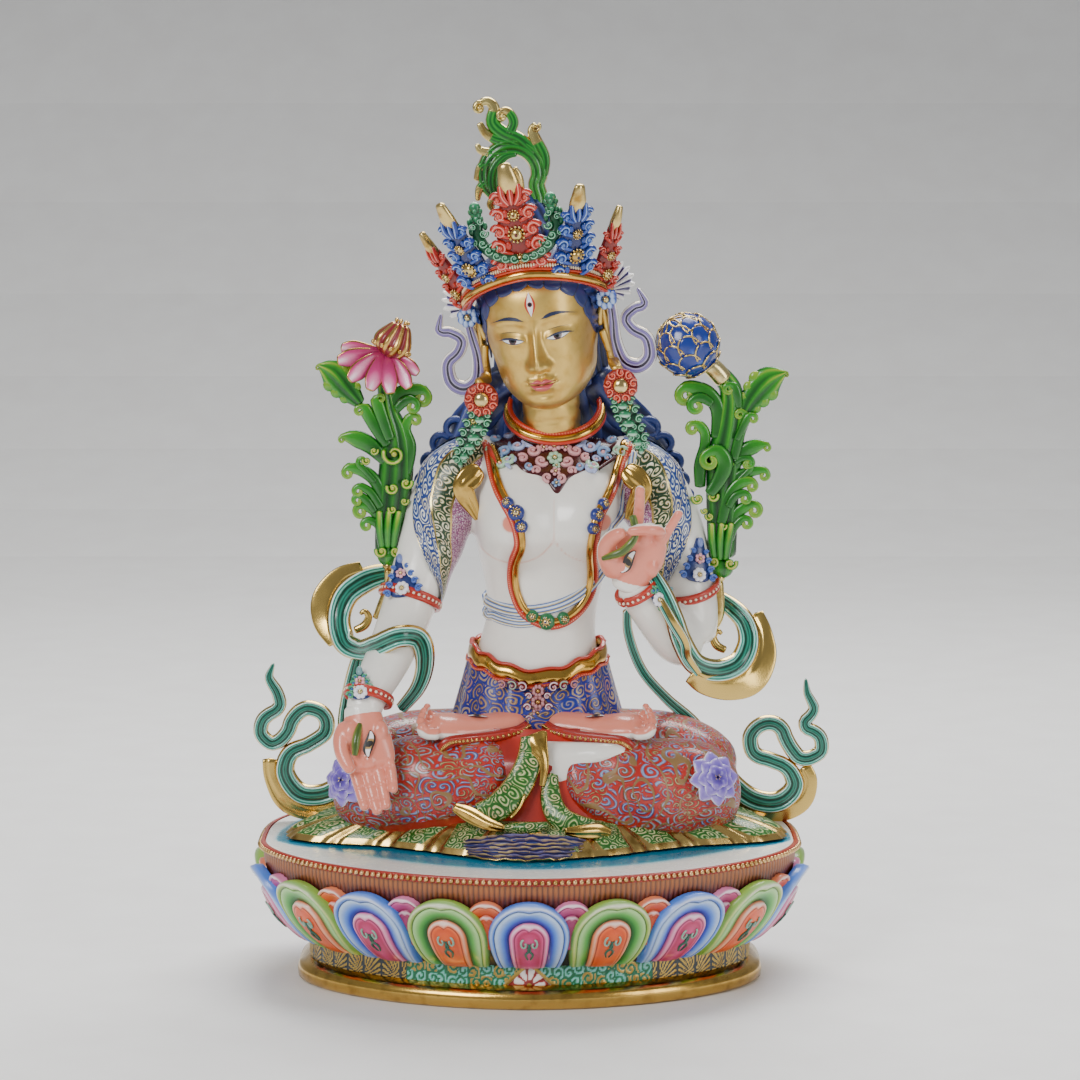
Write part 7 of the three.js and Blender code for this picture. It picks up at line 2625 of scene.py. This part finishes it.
def skirt():
    """The scroll-work apron over the lap, with the sagging belt and its pendant."""
    apron, belt = Piece(), Piece()

    def place(u, v):
        turn = u * TAU + math.pi / 2
        z = mix(58, 105 - waist_sag(turn), v)
        folds = 0.9 * np.sin(turn * 16) * (1 - 0.5 * v)
        half = np.interp(z, [52, 70, 90, 106], [54, 47.5, 42, 38]) + 1.2 + folds
        deep = np.interp(z, [52, 70, 90, 106], [42, 38.5, 33, 30]) + 1.6 + folds
        return round_waist(turn, 4.5, half, 37.5, deep, z)

    apron.sheet(140, 24, place, cloth=(270, 46), shade=1)
    apron.finish("apron", painted(
        "apron_paint", [(0, "15228a"), (0.5, "25357e"), (1, "6d5f78")],
        [(0, "94703c"), (0.3, "a06a6c"), (0.55, "6e5436"), (0.75, "b09a82"), (0.9, "52689e")],
        gold="c9b070", scroll=(9.6, 2.7, "b08c74")), "lotus_paint", "figure")

    def ring(lift, low, high, bulge):
        def place(u, v):
            turn = v * TAU + math.pi / 2
            sag = waist_sag(turn) + 0.8 * np.sin(turn * 14)
            centre = 106 - sag + (low + high) / 2
            z = centre + (high - low) / 2 * np.sin(TAU * u)
            half = np.interp(z, [70, 90, 106, 127], [47.5, 41, 37, 34.5]) + lift
            deep = np.interp(z, [70, 90, 106, 127], [38.5, 32, 29, 26]) + lift
            out = bulge * np.cos(TAU * u)
            return round_waist(turn, 4.8, half + out, 37, deep + out, z)
        return place

    belt.sheet(14, 120, ring(1.6, -4.4, 3.4, 2.0), gilt=1)
    for low, high in ((-6.2, -4.2), (3.2, 5.0)):
        belt.sheet(8, 120, ring(2.0, low, high, 1.5), shade=0.4)
        if low < 0:
            path = ring(3.4, low, high, 0)(np.zeros(96), np.linspace(0.2, 0.8, 96))
            belt.beads(path, 0.6, shade=0.75)
    belt.finish("belt", painted("belt_paint", CORD_RED, gold="d2a348", gold_gloss=0.15),
                "red_paint", "figure")
    pendant = Piece()
    front = Matrix.Translation((4.8, -3, 87))
    for down, size in ((0, 4.0), (6.5, 4.6), (13, 3.8), (18.5, 3.0)):
        flower(pendant, 0, 1 + 0.12 * down, -down, size, 8, turn=front, tone=0.1)
        for near in (-1, 1):
            curl(pendant, near * size * 1.3, 2, -down - 3.2, size * 0.5, 90 - near * 90, near * 1.1,
                 size * 0.22, turn=front, tone=0.6)
    for near in (-1, 1):
        for out, size, tone in ((9, 3.0, 0.6), (15, 3.0, 0.9), (21, 2.6, 0.4)):
            curl(pendant, near * out, 2 + out * 0.1, 1 + out * 0.1, size, 90 - near * 60, near * 1.15,
                 size * 0.3, turn=front, tone=tone)
    pendant.finish("belt_pendant", painted(
        "pendant_paint", [(0, "3c0a12"), (0.3, "6b1a22"), (1, "dba9ac")],
        accents=[(0, "c08288"), (0.5, "d9c3cc"), (0.8, "8fb39a")], gold="b98a4c"),
        "lotus_paint", "figure")


# Stage


class StageSettings(bpy.types.PropertyGroup):
    """Light and view."""

    key_light: bpy.props.FloatProperty(
        name="Key light", description="Power of the large light at the front left", default=27,
        min=0, unit="POWER")
    elevation: bpy.props.FloatProperty(
        name="Elevation", description="How far above the horizon the camera looks from",
        default=math.radians(7.5), subtype="ANGLE")
    distance: bpy.props.FloatProperty(
        name="Distance", description="From the camera to the figure's middle", default=2.2,
        unit="LENGTH")


CAMERA_TARGET = Vector((0.006, 0.0, 0.255))
SWEEP_START = 1.6
SWEEP_RADIUS = 1.5
SENSOR_WIDTH = 36.0
FOCAL_LENGTH = 128.33


def soft_light(name, place, size, power):
    lamp = bpy.data.lights.new(name, "AREA")
    lamp.shape = "RECTANGLE"
    lamp.size, lamp.size_y = size
    lamp.energy = power
    holder = bpy.data.objects.new(name, lamp)
    holder.location = place
    holder.rotation_euler = (CAMERA_TARGET - Vector(place)).to_track_quat("-Z", "Y").to_euler()
    bpy.context.scene.collection.objects.link(holder)


def stage():
    settings = bpy.context.scene.tara_stage
    bm = bmesh.new()
    bmesh.ops.create_grid(bm, x_segments=20, y_segments=80, size=7)
    for vert in bm.verts:
        past = vert.co.y - SWEEP_START
        angle = min(max(past / SWEEP_RADIUS, 0), math.pi / 2)
        if past > 0:
            rest = max(past - SWEEP_RADIUS * math.pi / 2, 0)
            vert.co.y = SWEEP_START + SWEEP_RADIUS * math.sin(angle)
            vert.co.z = SWEEP_RADIUS * (1 - math.cos(angle)) + rest
    mesh = bpy.data.meshes.new("floor")
    bm.to_mesh(mesh)
    bm.free()
    floor = bpy.data.objects.new("floor", mesh)
    bpy.context.scene.collection.objects.link(floor)
    paint = Paint("pale_floor")
    grain = paint.noise(40)
    colour = paint.ramp(grain, [(0.3, "efedea"), (0.7, "f3f2ef")])
    mesh.materials.append(paint.surface(colour, grain * 0.1 + 0.5, 0.0, grain, 0.05))
    world = bpy.data.worlds.new("studio")
    bpy.context.scene.world = world
    world.use_nodes = True
    background = world.node_tree.nodes["Background"]
    background.inputs["Color"].default_value = (0.82, 0.85, 0.9, 1)
    background.inputs["Strength"].default_value = 0.36
    for name, place, size, share in (
            ("key_light", (-1.0, -1.5, 1.3), (0.8, 0.8), 1),
            ("fill_light", (1.5, -1.3, 0.7), (0.7, 1.1), 0.42),
            ("top_light", (0.1, 0.3, 1.7), (0.9, 0.6), 0.35),
            ("sweep_light", (0.3, 0.9, 1.7), (1.6, 0.6), 1.5)):
        soft_light(name, place, size, settings.key_light * share)
    camera = bpy.data.cameras.new("camera")
    camera.sensor_width = SENSOR_WIDTH
    camera.lens = FOCAL_LENGTH
    camera.clip_end = 20
    holder = bpy.data.objects.new("camera", camera)
    tilt = settings.elevation
    holder.location = CAMERA_TARGET + settings.distance * Vector((0, -math.cos(tilt), math.sin(tilt)))
    holder.rotation_euler = (math.pi / 2 - tilt, 0, 0)
    bpy.context.scene.collection.objects.link(holder)
    bpy.context.scene.camera = holder


# Operators and panel


def piece_operator(key, label, about, *makers):
    """An operator class that makes one group of pieces."""
    def execute(self, context):
        for make in makers:
            make()
        return {"FINISHED"}

    return type(f"TARA_OT_{key}", (bpy.types.Operator,), {
        "__doc__": about, "bl_idname": f"tara.{key}", "bl_label": label, "execute": execute})


OPERATORS = [
    piece_operator("pedestal", "Pedestal", "Makes the lotus pedestal",
                   pedestal_foot, pedestal_carved_band, pedestal_drum, pedestal_petals,
                   pedestal_seat),
    piece_operator("cloth", "Cloth", "Makes the hem, the legs and the front drape",
                   hem, legs, knee_flowers, front_drape),
    piece_operator("body", "Body", "Makes the torso, the arms, the hands and the feet",
                   body, hands, feet),
    piece_operator("head", "Head", "Makes the head, its painted face and the hair",
                   head, face_paint, hair),
    piece_operator("crown", "Crown", "Makes the crown, the finial and the earrings",
                   crown_band, crown_leaves, crown_scrolls, crown_sides, hair_finial, earrings),
    piece_operator("jewellery", "Jewellery", "Makes the collar, the chains and the arm bands",
                   collar, necklace, sacred_thread, arm_jewels),
    piece_operator("garments", "Garments", "Makes the sleeves, the apron and the belt",
                   sleeves, skirt),
    piece_operator("sprays", "Lotus sprays", "Makes both sprays, the open flower and the bud",
                   sprays, open_flower, closed_bud),
    piece_operator("scarves", "Scarves", "Makes the scarf loops and the scarf ends",
                   right_scarf, left_scarf),
    piece_operator("stage", "Stage", "Makes the floor, the lights and the camera", stage),
]


class TARA_PT_pieces(bpy.types.Panel):
    """Lists the steps that make the figure."""

    bl_idname = "TARA_PT_pieces"
    bl_label = "Tara figure"
    bl_space_type = "VIEW_3D"
    bl_region_type = "UI"
    bl_category = "Tara"

    def draw(self, context):
        for step in OPERATORS:
            self.layout.operator(step.bl_idname)
        for settings in (context.scene.tara_pedestal, context.scene.tara_stage):
            for name in settings.bl_rna.properties.keys():
                if name not in ("rna_type", "name"):
                    self.layout.prop(settings, name)


CLASSES = [PedestalSettings, StageSettings, *OPERATORS, TARA_PT_pieces]


def register():
    for cls in CLASSES:
        bpy.utils.register_class(cls)
    bpy.types.Scene.tara_pedestal = bpy.props.PointerProperty(type=PedestalSettings)
    bpy.types.Scene.tara_stage = bpy.props.PointerProperty(type=StageSettings)


def unregister():
    del bpy.types.Scene.tara_stage
    del bpy.types.Scene.tara_pedestal
    for cls in reversed(CLASSES):
        bpy.utils.unregister_class(cls)


def main():
    register()
    for step in OPERATORS:
        getattr(bpy.ops.tara, step.bl_idname.split(".")[1])()


if __name__ == "__main__":
    main()
